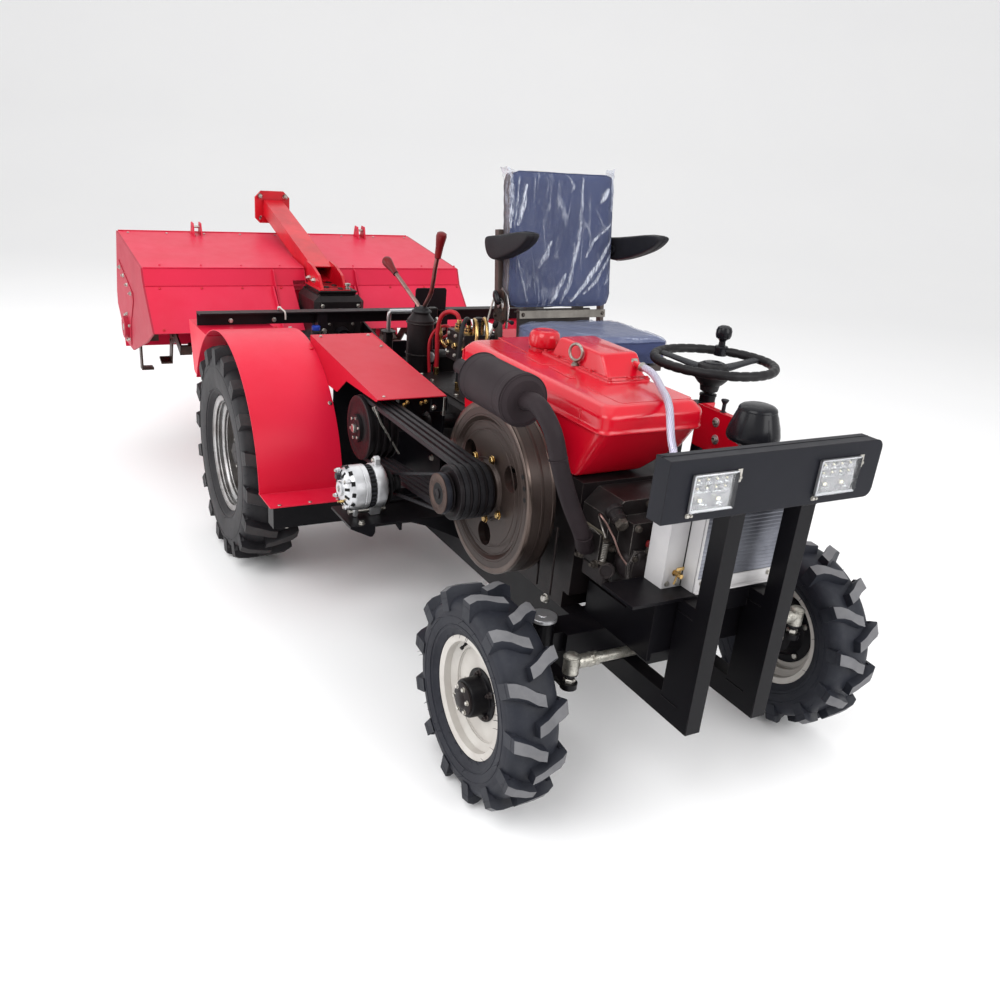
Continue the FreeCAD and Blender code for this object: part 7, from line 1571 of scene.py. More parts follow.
# piping lies on the pads, pulled to the nearest cloth
def hug(target, pts, lift):
    from mathutils.bvhtree import BVHTree
    tree = BVHTree.FromObject(target, bpy.context.evaluated_depsgraph_get())
    out = []
    for p in pts:
        near, nrm, _, _ = tree.find_nearest(W(*p))
        q = near + nrm * (lift / 1000.0)
        out.append(Vector(((q.x - SX) * 1000.0, (q.y - SY) * 1000.0, q.z * 1000.0)))
    return out


def dense(pts, n=8):
    out = []
    for a, b in zip(pts, pts[1:] + pts[:1]):
        out += [tuple(Vector(a).lerp(Vector(b), i / n)) for i in range(n if (Vector(a) - Vector(b)).length > 20.0 else 1)]
    return out


B = Build()
B.tube(hug(back, dense([lean(2.0, y, z) for y, z in rounded(82.0, 533.0, 54.0, 533.0, 20.0, 6)], 20), 0.6), 2.4, 8, 0, closed=True)
B.tube(hug(back, dense([lean(-62.0, y, z) for y, z in rounded(82.0, 533.0, 54.0, 533.0, 20.0, 6)], 20), 0.4), 2.2, 8, 1, closed=True)
B.tube(hug(cush, dense([Vector((x, y, 1023.0)) for x, y in rounded(-1132.0, -778.0, 106.0, 562.0, 22.0, 6)], 20), 0.6), 2.4, 8, 0, closed=True)
B.tube(hug(cush, dense([Vector((x, y, 924.0)) for x, y in rounded(-1132.0, -778.0, 106.0, 562.0, 22.0, 6)], 20), 0.4), 2.0, 8, 0, closed=True)
B.done("seat_piping", "chassis", ["navy", "seat_side"], "navy_fabric", sharp=180)

B = Build()
for s in ((102.0, 514.0),):
    B.obox(lean(-24.0, 319.0, 52.0), (X_BACK, AX["y"], X_BACK.cross(AX["y"])), (20.0, 184.0, 3.0), 1.2, 0)
B.obox(lean(-4.0, 319.0, 42.0), (X_BACK, AX["y"], X_BACK.cross(AX["y"])), (1.6, 184.0, 14.0), 1.0, 0)
B.bolt(lean(-2.2, 490.0, 42.0), tuple(X_BACK), 10.0, 4.0, 1)
B.bolt(lean(-2.2, 150.0, 42.0), tuple(X_BACK), 10.0, 4.0, 1)
B.done("seat_lower_bar", "chassis", ["seat_bar", "dim_zinc"], "zinc")

# armrests: foam blades, thick at the back and tapering forward
for side, (ya, yb) in (("right", (24.0, 76.5)), ("left", (534.0, 586.5))):
    B = Build()
    out = [(-1262, 1288), (-1256, 1262), (-1236, 1236), (-1205, 1224), (-1174, 1222), (-1130, 1231), (-1085, 1243), (-1042, 1258), (-1005, 1272), (-970, 1288), (-944, 1304), (-926, 1320), (-918, 1332), (-924, 1341), (-980, 1338), (-1040, 1329), (-1100, 1318), (-1180, 1304), (-1240, 1296)]
    cx0 = sum(p[0] for p in out) / len(out)
    cz0 = sum(p[1] for p in out) / len(out)
    if side == "right":
        out = [(cx0 + (x - cx0) * 0.87, z) for x, z in out]
    secs = []
    for t, k in ((0.0, 0.70), (0.04, 0.88), (0.14, 0.97), (0.32, 1.0), (0.5, 1.0), (0.68, 1.0), (0.86, 0.97), (0.96, 0.88), (1.0, 0.70)):
        y = ya + (yb - ya) * t
        inset = (1.0 - k) * 46.0
        ring = []
        for x, z in out:
            d = Vector((x - cx0, 0, z - cz0))
            f = max(0.3, 1.0 - inset / max(28.0, d.length))
            ring.append(Vector((cx0 + d.x * f, y, cz0 + d.z * f)))
        secs.append(ring)
    n = len(out)
    verts = [p for r in secs for p in r]
    faces = [tuple(range(n)), tuple(range((len(secs) - 1) * n, len(secs) * n))]
    for i in range(len(secs) - 1):
        for j in range(n):
            k2 = (j + 1) % n
            faces.append((i * n + j, i * n + k2, (i + 1) * n + k2, (i + 1) * n + j))
    B.add(verts, faces, 0)
    o = B.done("armrest_pad_" + side, "chassis", ["arm_foam"], "black_plastic", sharp=180, subsurf=1, replaces=["armrests"] if side == "right" else ())
    B = Build()
    # pivot boss between the rail and the pad, moulded seam
    yr = 80.0 if side == "right" else 530.0
    B.lathe(tuple(Vector((-1172.0, yr, 1262.0))), "-y" if side == "right" else "y", [(13.0, -6.0), (13.0, 0.0), (10.0, 2.0), (10.0, 8.0)], 24, 0)
    B.tube([(x, (ya + yb) / 2, z) for x, z in [(p[0] * 1.0 + (p[0] - cx0) * 0.002, p[1] + (p[1] - cz0) * 0.004) for p in out]], 0.8, 6, 1, closed=True)
    B.done("armrest_pivot_" + side, "chassis", ["black_plastic", "arm_foam"], "black_plastic")

# reclining gear on the right-hand side of the seat
B = Build()
B.prism([(-1196, 1020), (-1120, 1010), (-1104, 1030), (-1112, 1080), (-1140, 1122), (-1172, 1126), (-1192, 1096)], "y", 66.0, 69.0, 0, 0.8)
B.lathe((-1150.0, 66.0, 1072.0), "-y", [(24.0, -3.0), (24.0, 1.0), (21.0, 2.0), (18.0, 5.0), (9.0, 6.0), (9.0, 9.0), (0, 9.4)], 30, 1)
pts = []
for i in range(64):
    a = i * 0.33
    r = 8.0 + i * 0.17
    pts.append((-1150.0 + r * math.cos(a), 59.5, 1072.0 + r * math.sin(a)))
B.tube(pts, 1.1, 6, 0)
B.bolt((-1180.0, 66.0, 1034.0), "-y", 12.0, 6.0, 0)
B.bolt((-1122.0, 66.0, 1028.0), "-y", 12.0, 6.0, 0)
B.prism([(-1166, 1110), (-1130, 1100), (-1112, 1070), (-1112, 1000), (-1098, 1000), (-1096, 1074), (-1116, 1112), (-1158, 1132)], "y", 70.0, 73.0, 1, 0.6)
B.bar((-1152.0, 58.0, 1082.0), (-1170.0, 56.0, 1100.0), 10.0, 3.0, (0, 1, 0), 0.8, 0)
verts, faces = [], []
kd = Vector((-0.72, 0.0, 0.70))
kx = Vector((0.70, 0.0, 0.72))
for i, (h, r) in enumerate(((-2.0, 6.0), (2.0, 12.0), (12.0, 16.0), (26.0, 17.5), (40.0, 15.0), (50.0, 9.0), (53.0, 3.0))):
    for j in range(16):
        a = 2 * math.pi * j / 16
        verts.append(Vector((-1140.0, 52.0, 1080.0)) + kd * h + kx * (r * math.cos(a)) + AX["y"] * (0.55 * r * math.sin(a)))
for i in range(6):
    for j in range(16):
        k2 = (j + 1) % 16
        faces.append((i * 16 + j, i * 16 + k2, (i + 1) * 16 + k2, (i + 1) * 16 + j))
B.add(verts, faces, 2)
# thin link rod down to the pan, and the stop lug with its black tip
B.tube([(-1186.0, 56.0, 1084.0), (-1196.0, 54.0, 1050.0), (-1216.0, 52.0, 985.0), (-1222.0, 52.0, 950.0)], 3.4, 8, 3)
B.tube([(-1092.0, 64.0, 1030.0), (-1064.0, 60.0, 1032.0)], 3.0, 8, 0)
B.lathe((-1066.0, 60.0, 1032.0), "x", [(4.0, -1.0), (5.0, 2.0), (7.5, 16.0), (7.5, 20.0), (0, 21.0)], 16, 2)
B.done("seat_recliner", "chassis", ["old_iron", "galv", "gloss_plastic", "cream_rim"], "zinc")

# ================================================================ hoses
def hose(name, nodes, pts, r, mat, ferrules):
    cu = bpy.data.curves.new(name, "CURVE")
    cu.dimensions = "3D"
    sp = cu.splines.new("NURBS")
    sp.points.add(len(pts) - 1)
    for p, q in zip(sp.points, pts):
        w = W(*q)
        p.co = (w.x, w.y, w.z, 1.0)
    sp.order_u = 3
    sp.use_endpoint_u = True
    sp.resolution_u = 14
    cu.resolution_u = 14
    o = bpy.data.objects.new(name, cu)
    bpy.context.scene.collection.objects.link(o)
    dg = bpy.context.evaluated_depsgraph_get()
    me = bpy.data.meshes.new_from_object(o.evaluated_get(dg))
    length = sum((me.vertices[e.vertices[0]].co - me.vertices[e.vertices[1]].co).length for e in me.edges)
    cu.bevel_depth = r / 1000.0
    cu.bevel_resolution = 5
    cu.use_fill_caps = True
    cu.materials.append(M[mat])
    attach(o, "chassis")
    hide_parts(*[n for n in nodes if n in NODES])
    B = Build()
    for a, b, rr, m in ferrules:
        d = (Vector(b) - Vector(a)).normalized()
        L = (Vector(b) - Vector(a)).length
        B.lathe(a, tuple(d), [(rr, 0.0), (rr + 1.6, 1.0), (rr + 1.6, L * 0.3), (rr + 0.5, L * 0.36), (rr + 0.5, L * 0.9), (rr, L)], 20, m)
    B.done(name + "_ferrules", "chassis", ["brass", "zinc"], "zinc")
    return o, length


H1 = [(-1270.0, -30.0, 985.1), (-1270.0, -30.0, 1014.0), (-1304.0, -52.0, 1026.0), (-1338.0, -74.0, 1002.0), (-1346.0, -80.0, 935.0), (-1342.0, -76.0, 865.0), (-1342.0, -76.0, 780.2)]
H2 = [(-1195.0, -30.0, 985.1), (-1195.0, -30.0, 1014.0), (-1162.0, -60.0, 1026.0), (-1130.0, -90.0, 1000.0), (-1122.0, -98.0, 935.0), (-1124.0, -96.0, 865.0), (-1124.0, -96.0, 780.2)]
H3 = [(-256.0, 18.0, 1076.0), (-215.0, 18.0, 1076.0), (-152.0, -4.0, 1066.0), (-92.0, -36.0, 1061.0), (-37.0, -63.0, 1058.0), (12.0, -92.0, 1054.0), (50.0, -115.0, 1042.0), (84.0, -136.0, 1020.0), (112.0, -150.0, 994.0), (138.0, -156.0, 970.0), (138.0, -156.0, 941.1)]
hose("supply_hose", ["hose_supply", "hoses"], H1, 8.0, "hose_red", [((-1270.0, -30.0, 985.2), (-1270.0, -30.0, 1000.0), 8.3, 0), ((-1342.0, -76.0, 812.0), (-1342.0, -76.0, 781.0), 8.3, 0)])
hose("return_hose", ["hose_return"], H2, 8.0, "rubber", [((-1195.0, -30.0, 985.2), (-1195.0, -30.0, 1000.0), 8.3, 0), ((-1124.0, -96.0, 812.0), (-1124.0, -96.0, 781.0), 8.3, 0)])
hose("water_hose", ["hose_water"], H3, 10.0, "braid", [((-256.0, 18.0, 1076.0), (-240.0, 18.0, 1076.0), 10.3, 1), ((138.0, -156.0, 958.0), (138.0, -156.0, 943.0), 10.3, 1)])

# ================================================================ transmission, levers, valve
B = Build()
# gear levers: steel rods in a rubber boot, dark red grips
l1 = curve_through([(-1450.0, -108.0, 1004.0), (-1462.0, -111.0, 1020.0), (-1500.0, -118.0, 1042.0), (-1575.0, -134.0, 1088.0), (-1640.0, -148.0, 1126.0)], 8)
B.tube(l1, 7.6, 12, 0)
d1 = (Vector((-1660.0, -152.6, 1138.6)) - Vector((-1500.0, -118.0, 1042.0))).normalized()
B.lathe((-1606.0, -141.0, 1106.0), tuple(d1), [(8.2, 0.0), (11.0, 1.0), (11.4, 10.0), (12.5, 28.0), (17.0, 52.0), (19.4, 64.0), (19.0, 76.0), (14.0, 84.0), (0, 86.0)], 28, 1)
B.torus((-1606.0, -141.0, 1106.0), tuple(d1), 9.0, 1.6, 20, 6, 2)
l2 = curve_through([(-1450.0, -90.0, 1004.0), (-1442.0, -88.5, 1020.0), (-1400.0, -88.0, 1070.0), (-1378.0, -91.0, 1120.0), (-1362.0, -94.0, 1165.0), (-1342.0, -96.0, 1214.0)], 8)
B.tube(l2, 8.0, 12, 0)
d2 = Vector((0.30, -0.02, 0.95)).normalized()
B.lathe((-1344.0, -95.5, 1204.0), tuple(d2), [(8.6, 0.0), (12.0, 1.0), (12.6, 14.0), (14.0, 40.0), (17.6, 66.0), (19.0, 78.0), (17.0, 88.0), (10.0, 92.0), (0, 93.0)], 28, 1)
B.torus((-1344.0, -95.5, 1204.0), tuple(d2), 10.0, 1.8, 20, 6, 2)
B.lathe((-1450.0, -98.0, 994.0), "z", [(38.0, 0.2), (38.0, 3.0), (34.0, 6.0), (27.0, 8.0), (25.0, 14.0), (19.0, 18.0), (12.0, 21.0), (0, 21.5)], 36, 3)
B.done("gear_lever_rods", "chassis", ["lever_steel", "grip_red", "gloss_plastic", "rubber"], "black_paint", replaces=["gear_levers"])

B = Build()
# turret with clamp rings, cover bolts, ribs of the case
for z, r in ((720.0, 52.0), (840.0, 51.4), (955.0, 52.5)):
    B.torus((-1450.0, -100.0, z), "z", r, 2.6, 48, 8, 0)
B.lathe((-1450.0, -100.0, 700.0), "z", [(84.0, 0.2), (84.0, 10.0), (80.0, 12.0), (52.0, 14.0)], 48, 0)
for i in range(6):
    B.bolt(on_circle((-1450.0, -100.0, 711.5), "z", 68.0, i * 60 + 12), "z", 13.0, 7.0, 1)
for i in range(4):
    B.bolt(on_circle((-1450.0, -100.0, 963.0), "z", 43.0, i * 90 + 35), "z", 8.0, 4.0, 1)
for x in (-1900.0, -1760.0, -1640.0, -1560.0):
    B.bolt((x, -140.0, 700.2), "z", 15.0, 8.0, 1)
    B.bolt((x, 140.0, 700.2), "z", 15.0, 8.0, 1)
for s in (-1, 1):
    for x in (-1880.0, -1800.0, -1600.0, -1520.0):
        B.box(x - 5.0, x + 5.0, (-176.0 if s < 0 else 170.0), (-170.0 if s < 0 else 176.0), 350.0, 690.0, 2.0, 0)
    for z in (560.0, 640.0, 720.0):
        B.bolt((-1384.0, 164.0 * s, z), "y" if s > 0 else "-y", 1.0, 0.5, 1, False)
for x in (-1350.0, -1260.0, -1060.0, -980.0):
    B.bolt((x, -130.0, 780.2), "z", 13.0, 7.0, 1)
    B.bolt((x, 130.0, 780.2), "z", 13.0, 7.0, 1)
B.prism([(-1370, -150), (-950, -150), (-950, 150), (-1370, 150)], "z", 780.0, 784.0, 0, 1.5)
# filler neck, bright plug on a dark stub, small bottle with a blue cap
B.lathe((-1392.0, -70.0, 836.0), (0.25, -0.96, 0.12), [(30.0, -52.0), (30.0, -10.0), (27.0, -6.0), (27.0, 4.0), (23.0, 8.0), (20.0, 8.2)], 32, 0)
B.lathe((-1392.0, -70.0, 836.0), (0.25, -0.96, 0.12), [(20.0, 8.0), (19.0, 10.4), (13.0, 11.0), (12.0, 8.4), (0, 8.4)], 28, 2)
B.box(-1402.0, -1366.0, -60.0, 20.0, 770.0, 850.0, 8.0, 0)
B.lathe((-2010.0, -319.0, 779.0), "z", [(0, 0.0), (18.0, 0.0), (20.0, 2.0), (20.0, 30.0), (16.0, 34.0), (16.0, 36.0)], 24, 3)
B.lathe((-2010.0, -319.0, 814.0), "z", [(18.0, 0.0), (18.0, 14.0), (15.0, 17.0), (0, 17.4)], 24, 4)
B.box(-2034.0, -1988.0, -342.0, -288.0, 775.4, 779.4, 1.5, 0)
B.torus((-2010.0, -319.0, 796.0), "z", 20.6, 1.4, 28, 6, 0)
B.box(-2034.0, -2026.0, -322.0, -294.0, 792.0, 800.0, 1.5, 0)
B.done("transmission_fittings", "chassis", ["engine_black", "zinc", "aluminium", "black_plastic", "blue_cap"], "dark_iron")

B = Build()
# valve body: spool ends, hexagons, relief screws, elbows, mounting foot
for y in (-36.0, 0.0, 36.0):
    B.lathe((-1300.0, y, 915.0), "-x", [(15.0, -1.0), (15.0, 8.0), (11.0, 9.0), (11.0, 30.0), (8.0, 32.0), (0, 32.0)], 20, 0)
    B.lathe((-1160.0, y, 915.0), "x", [(15.0, -1.0), (15.0, 10.0), (12.0, 11.0), (12.0, 22.0), (5.5, 23.0), (5.5, 40.0), (0, 40.0)], 6, 1)
for x in (-1285.0, -1230.0, -1175.0):
    B.bolt((x, -60.2, 880.0), "-y", 11.0, 5.0, 1)
    B.bolt((x, -60.2, 950.0), "-y", 11.0, 5.0, 1)
    B.lathe((x, -60.0, 915.0), "-y", [(13.0, -0.5), (13.0, 6.0), (9.0, 8.0), (9.0, 12.0), (0, 12.0)], 6, 2)
for x in (-1270.0, -1195.0):
    B.lathe((x, -30.0, 965.0), "z", [(17.0, 0.0), (17.0, 8.0), (14.6, 9.0), (14.6, 13.0), (16.0, 14.0), (16.0, 19.0), (12.0, 19.8)], 6, 2)
B.lathe((-1230.0, 30.0, 965.0), "z", [(13.0, 0.0), (13.0, 14.0), (10.6, 16.0), (10.6, 34.0), (15.0, 38.0), (15.0, 48.0), (0, 51.0)], 18, 0)
B.tube(curve_through([(-1300.0, -52.0, 892.0), (-1330.0, -54.0, 893.0), (-1350.0, -58.0, 908.0), (-1354.0, -60.0, 935.0), (-1372.0, -58.0, 958.0), (-1392.0, -56.0, 966.0)], 8), 6.6, 12, 2)
B.lathe((-1388.0, -56.0, 965.0), (-0.9, 0.1, 0.35), [(9.0, 0.0), (11.0, 2.0), (11.0, 16.0), (8.0, 18.0), (8.0, 26.0), (0, 26.0)], 6, 1)
B.tube(curve_through([(-1170.0, -20.0, 966.0), (-1166.0, -22.0, 1002.0), (-1148.0, -34.0, 1024.0), (-1112.0, -44.0, 1018.0), (-1092.0, -50.0, 986.0), (-1090.0, -52.0, 940.0), (-1090.0, -54.0, 790.0)], 8), 6.4, 12, 2)
B.tube(curve_through([(-1170.0, 12.0, 966.0), (-1164.0, 10.0, 1006.0), (-1142.0, 2.0, 1028.0), (-1104.0, -8.0, 1016.0), (-1084.0, -14.0, 980.0), (-1082.0, -18.0, 930.0), (-1082.0, -20.0, 790.0)], 8), 6.4, 12, 2)
for x, y in ((-1090.0, -54.0), (-1082.0, -20.0)):
    B.lathe((x, y, 784.0), "z", [(12.0, 0.0), (12.0, 12.0), (9.0, 14.0), (9.0, 30.0), (6.5, 31.0)], 6, 1)
B.tube(curve_through([(-1372.0, -90.0, 784.0), (-1380.0, -92.0, 850.0), (-1386.0, -88.0, 900.0), (-1378.0, -70.0, 940.0), (-1352.0, -40.0, 960.0), (-1330.0, -20.0, 940.0), (-1304.0, 0.0, 930.0)], 8), 6.0, 12, 3)
B.tube(curve_through([(-1372.0, -66.0, 784.0), (-1376.0, -64.0, 850.0), (-1372.0, -50.0, 905.0), (-1350.0, -10.0, 925.0), (-1304.0, 36.0, 905.0)], 8), 6.0, 12, 3)
# operating lever of the valve
B.tube([(-1120.0, 0.0, 915.0), (-1110.0, 4.0, 960.0), (-1100.0, 20.0, 1010.0)], 4.4, 10, 1)
B.lathe((-1100.0, 20.0, 1006.0), (0.2, 0.3, 1.0), [(5.0, -2.0), (9.0, 4.0), (10.0, 16.0), (7.0, 24.0), (0, 26.0)], 16, 0)
B.done("valve_fittings", "chassis", ["engine_black", "zinc", "brass", "hose_red"], "zinc")

B = Build()
# upright board on the rear beam, bright cross rod and its drop end, foot disc
B.prism([(143.0, 885.8), (292.0, 885.8), (292.0, 967.0), (284.0, 976.0), (151.0, 976.0), (143.0, 968.0)], "x", -2044.0, -2038.0, 0, 1.0)
B.box(-2066.0, -2040.0, 151.0, 284.0, 885.8, 891.8, 2.0, 0)
for y in (166.0, 270.0):
    B.bolt((-2055.0, y, 891.6), "z", 11.0, 5.0, 1)
B.tube([(-1700.0, -121.0, 947.0), (-1700.0, 26.0, 947.0)], 9.0, 14, 1)
B.tube([(-1700.0, 24.0, 947.0), (-1700.0, 70.0, 947.0)], 13.0, 14, 2)
B.tube(curve_through([(-1700.0, -112.0, 947.0), (-1700.0, -122.0, 938.0), (-1700.0, -123.0, 900.0), (-1700.0, -123.0, 872.0)], 5), 8.5, 12, 3)
B.lathe((-1700.0, -123.0, 868.0), "z", [(0, 0.0), (30.0, 0.0), (31.0, 2.0), (30.0, 4.0), (10.0, 6.0)], 24, 2)
B.box(-1716.0, -1684.0, -139.0, -107.0, 700.0, 868.0, 4.0, 2)
B.box(-1716.0, -1684.0, 52.0, 84.0, 700.0, 960.0, 4.0, 2)
B.done("rear_cross_rod", "chassis", ["black_beam", "aluminium", "engine_black", "galv"], "zinc")

# ================================================================ fenders, deck, beam
B = Build()
for s in (-1, 1):
    # rolled lip along the outer edge of the arch
    arc = []
    for i in range(49):
        a = math.radians(5.0 + (154.0 - 5.0) * i / 48)
        arc.append((-1660.0 + 489.0 * math.cos(a), 800.0 * s, 400.0 + 489.0 * math.sin(a)))
    B.tube(arc, 1.8, 6, 0)
    for x, y in ((-1060.0, 764.0), (-1060.0, 658.0), (-1060.0, 560.0)):
        B.lathe((x, y * s, 443.4), "z", [(7.0, -0.3), (7.0, 1.2), (5.6, 2.6), (0, 3.0)], 16, 1)
    for i, a in enumerate((40.0, 70.0, 100.0, 128.0)):
        p = (-1660.0 + 491.0 * math.cos(math.radians(a)), 512.0 * s, 400.0 + 491.0 * math.sin(math.radians(a)))
        B.lathe(p, (math.cos(math.radians(a)), 0, math.sin(math.radians(a))), [(7.5, -0.6), (7.5, 1.6), (5.5, 3.4), (0, 3.6)], 14, 2 if i % 2 else 1)
    B.weld([(-1045.0, 502.0 * s, 443.6), (-1180.0, 502.0 * s, 443.6)], 1.8, 0, 4.0, 4)
B.done("fender_edges", "chassis", ["red_sheet", "zinc", "red_cast"], "red_paint")

B = Build()
for s in (-1, 1):
    B.tube([(-1538.0, 260.0 * s, 901.0), (-884.0, 260.0 * s, 837.6)], 1.6, 6, 0)
    for x, y in ((-1510.0, 470.0), (-1510.0, 285.0), (-1380.0, 285.0), (-900.0, 470.0)):
        z = 836.0 + 64.0 * (-880.0 - x) / 660.0
        B.bolt((x, y * s, z + 0.6), (0.1, 0, 1), 9.0, 4.0, 2)
    # bolts and clips under the front edge of the deck
    for x, y, z in ((-884.0, 330.0, 822.0), (-884.0, 345.0, 818.0), (-884.0, 395.0, 824.0), (-884.0, 405.0, 816.0)):
        B.bolt((x, y * s, z), "x", 10.0, 5.0, 1)
    B.box(-900.0, -884.0, 262.0 * s - 4.0, 262.0 * s + 4.0, 770.0, 832.0, 1.0, 2)
    B.bolt((-886.0, 300.0 * s, 800.0), "x", 13.0, 6.0, 2)
    B.box(-902.0, -886.0, 280.0 * s - 30.0, 280.0 * s + 30.0, 785.0, 830.0, 2.0, 3)
# light stays from the deck to the carrier
B.tube([(-905.0, -498.0, 809.0), (-912.0, -470.0, 750.0), (-925.0, -398.0, 638.0)], 3.4, 8, 2)
B.tube([(-930.0, -494.0, 800.0), (-938.0, -462.0, 740.0), (-950.0, -394.0, 640.0)], 3.0, 8, 2)
B.done("deck_fixings", "chassis", ["red_sheet", "brass", "zinc", "black_frame"], "zinc")

B = Build()
for y in (-659.0, -479.0, 584.0, 764.0):
    B.bolt((-2071.9, y, 846.0), "x", 13.0, 6.0, 0)
for y in (-276.0, 282.0):
    B.bolt((-2031.9, y, 802.0), "x", 17.0, 9.0, 0)
B.tube(curve_through([(-2086.0, -460.0, 872.0), (-2083.0, -458.0, 892.0), (-2070.0, -456.0, 897.0), (-2030.0, -452.0, 892.0), (-2018.0, -450.0, 889.0), (-2014.0, -449.0, 881.0), (-2014.0, -448.0, 858.0)], 6), 3.2, 8, 1)
B.lathe((-2074.0, -456.0, 894.0), "z", [(8.0, 0.0), (8.0, 4.0), (5.0, 6.0), (0, 6.0)], 14, 1)
for y in (-170.0, 10.0):
    B.bolt((-1963.9, y, 720.0), "-x", 17.0, 9.0, 0)
    B.bolt((-1963.9, y, 400.0), "-x", 17.0, 9.0, 0)
B.done("rear_beam_fixings", "chassis", ["zinc", "cream_rim"], "zinc")

# platform, pedals, side plates
B = Build()
for yc in (310.0, 500.0):
    B.box(-640.0, -560.0, yc - 35.0, yc + 35.0, 585.2, 590.0, 1.5, 0)
    for i in range(7):
        B.box(-636.0 + i * 11.0, -631.0 + i * 11.0, yc - 32.0, yc + 32.0, 589.6, 592.0, 0.8, 0)
for i in range(16):
    for j in range(7):
        x, y = -880.0 + i * 20.0, 270.0 + j * 44.0 + (10.0 if i % 2 else -10.0)
        if y < 548 and not (-650.0 < x < -590.0 and (abs(y - 310.0) < 26 or abs(y - 500.0) < 26)):
            d = Vector((1.0, 0.8 if (i + j) % 2 else -0.8, 0)).normalized()
            B.obox((x, y, 424.4), (d, AX["z"].cross(d), AX["z"]), (9.0, 2.4, 0.9), 0.5, 1)
for s in (-1, 1):
    yy = 257.7 * s
    for x, z in ((-1480.0, 470.0), (-1480.0, 620.0), (-1380.0, 820.0), (-1200.0, 800.0), (-960.0, 470.0), (-960.0, 600.0), (-1200.0, 470.0)):
        B.bolt((x, yy, z), "y" if s > 0 else "-y", 15.0, 8.0, 2)
for x in (-1090.0, -1062.0):
    for s in (-1, 1):
        B.bolt((x, 740.0 * s, 366.0), "-z", 13.0, 6.0, 2)
B.done("platform_and_plate_details", "chassis", ["rubber", "black_frame", "zinc"], "black_paint")

# rear axle: flange nuts, drain plug
B = Build()
for s in (-1, 1):
    for i in range(8):
        p = on_circle((-1700.0, 499.8 * s, 414.0), "y", 78.0, i * 45 + 10)
        B.bolt(p, "-y" if s > 0 else "y", 15.0, 8.0, 1)
    for r, y in ((57.5, 300.0), (57.5, 420.0)):
        B.torus((-1700.0, y * s, 414.0), "y", r, 3.0, 40, 8, 0)
B.bolt((-1700.0, 0.0, 330.0), "-z", 22.0, 10.0, 1)
B.done("axle_fittings", "chassis", ["engine_black", "zinc"], "dark_iron")

# ================================================================ tiller
HP = [(-3477.0, 724.0), (-3343.0, 1034.0), (-2690.0, 956.0), (-2657.0, 883.0), (-2481.0, 711.0)]
B = Build()


def hood_pt(i, t, y, lift=4.0):
    a, b = Vector((HP[i][0], 0, HP[i][1])), Vector((HP[i + 1][0], 0, HP[i + 1][1]))
    n = Vector((-(b - a).z, 0, (b - a).x)).normalized()
    if n.z < 0:
        n = -n
    p = a.lerp(b, t) + n * lift
    p.y = y
    return p, n


def dome(p, n, r, mat):
    B.lathe(tuple(p), tuple(n), [(r, -1.2), (r, 0.6), (r * 0.75, 2.0), (r * 0.3, 2.8), (0, 2.9)], 12, mat)


ys = [-850.0 + 185.0 * k for k in range(9)]
for y in ys:
    p, n = hood_pt(1, 0.06, y, 2.0)
    dome(p, n, 6.0, 1)
    if not -160.0 < y + 40.0 < -26.0:
        p, n = hood_pt(1, 0.93, y + 40.0, 2.0)
        dome(p, n, 5.0, 0)
    if not -220.0 < y + 20.0 < 30.0:
        p, n = hood_pt(3, 0.05, y + 20.0, 2.0)
        dome(p, n, 6.0, 2)
for y in (-850.0, -600.0, -350.0, 100.0, 350.0, 600.0):
    p, n = hood_pt(3, 0.93, y, 2.0)
    dome(p, n, 6.0, 2)
    p, n = hood_pt(0, 0.12, y, 2.0)
    dome(p, n, 6.0, 2)
# folds: rolled edges that catch the light, stiffening ribs on the front slope
for (x, z), r in zip(HP[1:4], (2.2, 2.6, 1.8)):
    if x < -3000:
        B.tube([(x, -891.0, z + 2.2), (x, 661.0, z + 2.2)], r, 8, 0)
    else:
        for ya, yb in ((-891.0, -152.0), (-34.0, 661.0)):
            B.tube([(x + 1.2, ya, z + 2.2), (x + 1.2, yb, z + 2.2)], r, 8, 0)
for y in (-306.0, 100.0):
    B.prism([(-2692, 956), (-2660, 885), (-2588, 813), (-2562, 800), (-2640, 905), (-2666, 950)], "y", y - 2.0, y + 2.0, 0, 0.6)
    B.weld([(-2655.0, y - 3.0, 884.0), (-2590.0, y - 3.0, 818.0)], 1.8, 0, 4.0, 3)
for y in (-520.0, 360.0):
    B.lathe((-3290.0, y - 12.0, 1066.0), "-y", [(9.0, -1.0), (9.0, 2.0), (6.0, 3.0), (0, 3.0)], 16, 3)
    B.tube([(-3290.0, y - 22.0, 1066.0), (-3290.0, y + 22.0, 1066.0)], 6.0, 12, 3)
    B.weld([(-3330.0, y - 14.0, 1035.5), (-3250.0, y - 14.0, 1026.0)], 2.4, 0, 4.0, 5)
# edge strip round the slot for the drive case
for ya in (-151.0, -35.0):
    B.tube([(-2898.0, ya, 983.5), (-2692.0, ya, 959.5), (-2658.0, ya, 886.0), (-2642.0, ya, 871.0)], 2.0, 8, 0)
B.done("hood_screws", "tiller", ["red_tiller", "zinc", "red_cast", "zinc"], "red_paint")

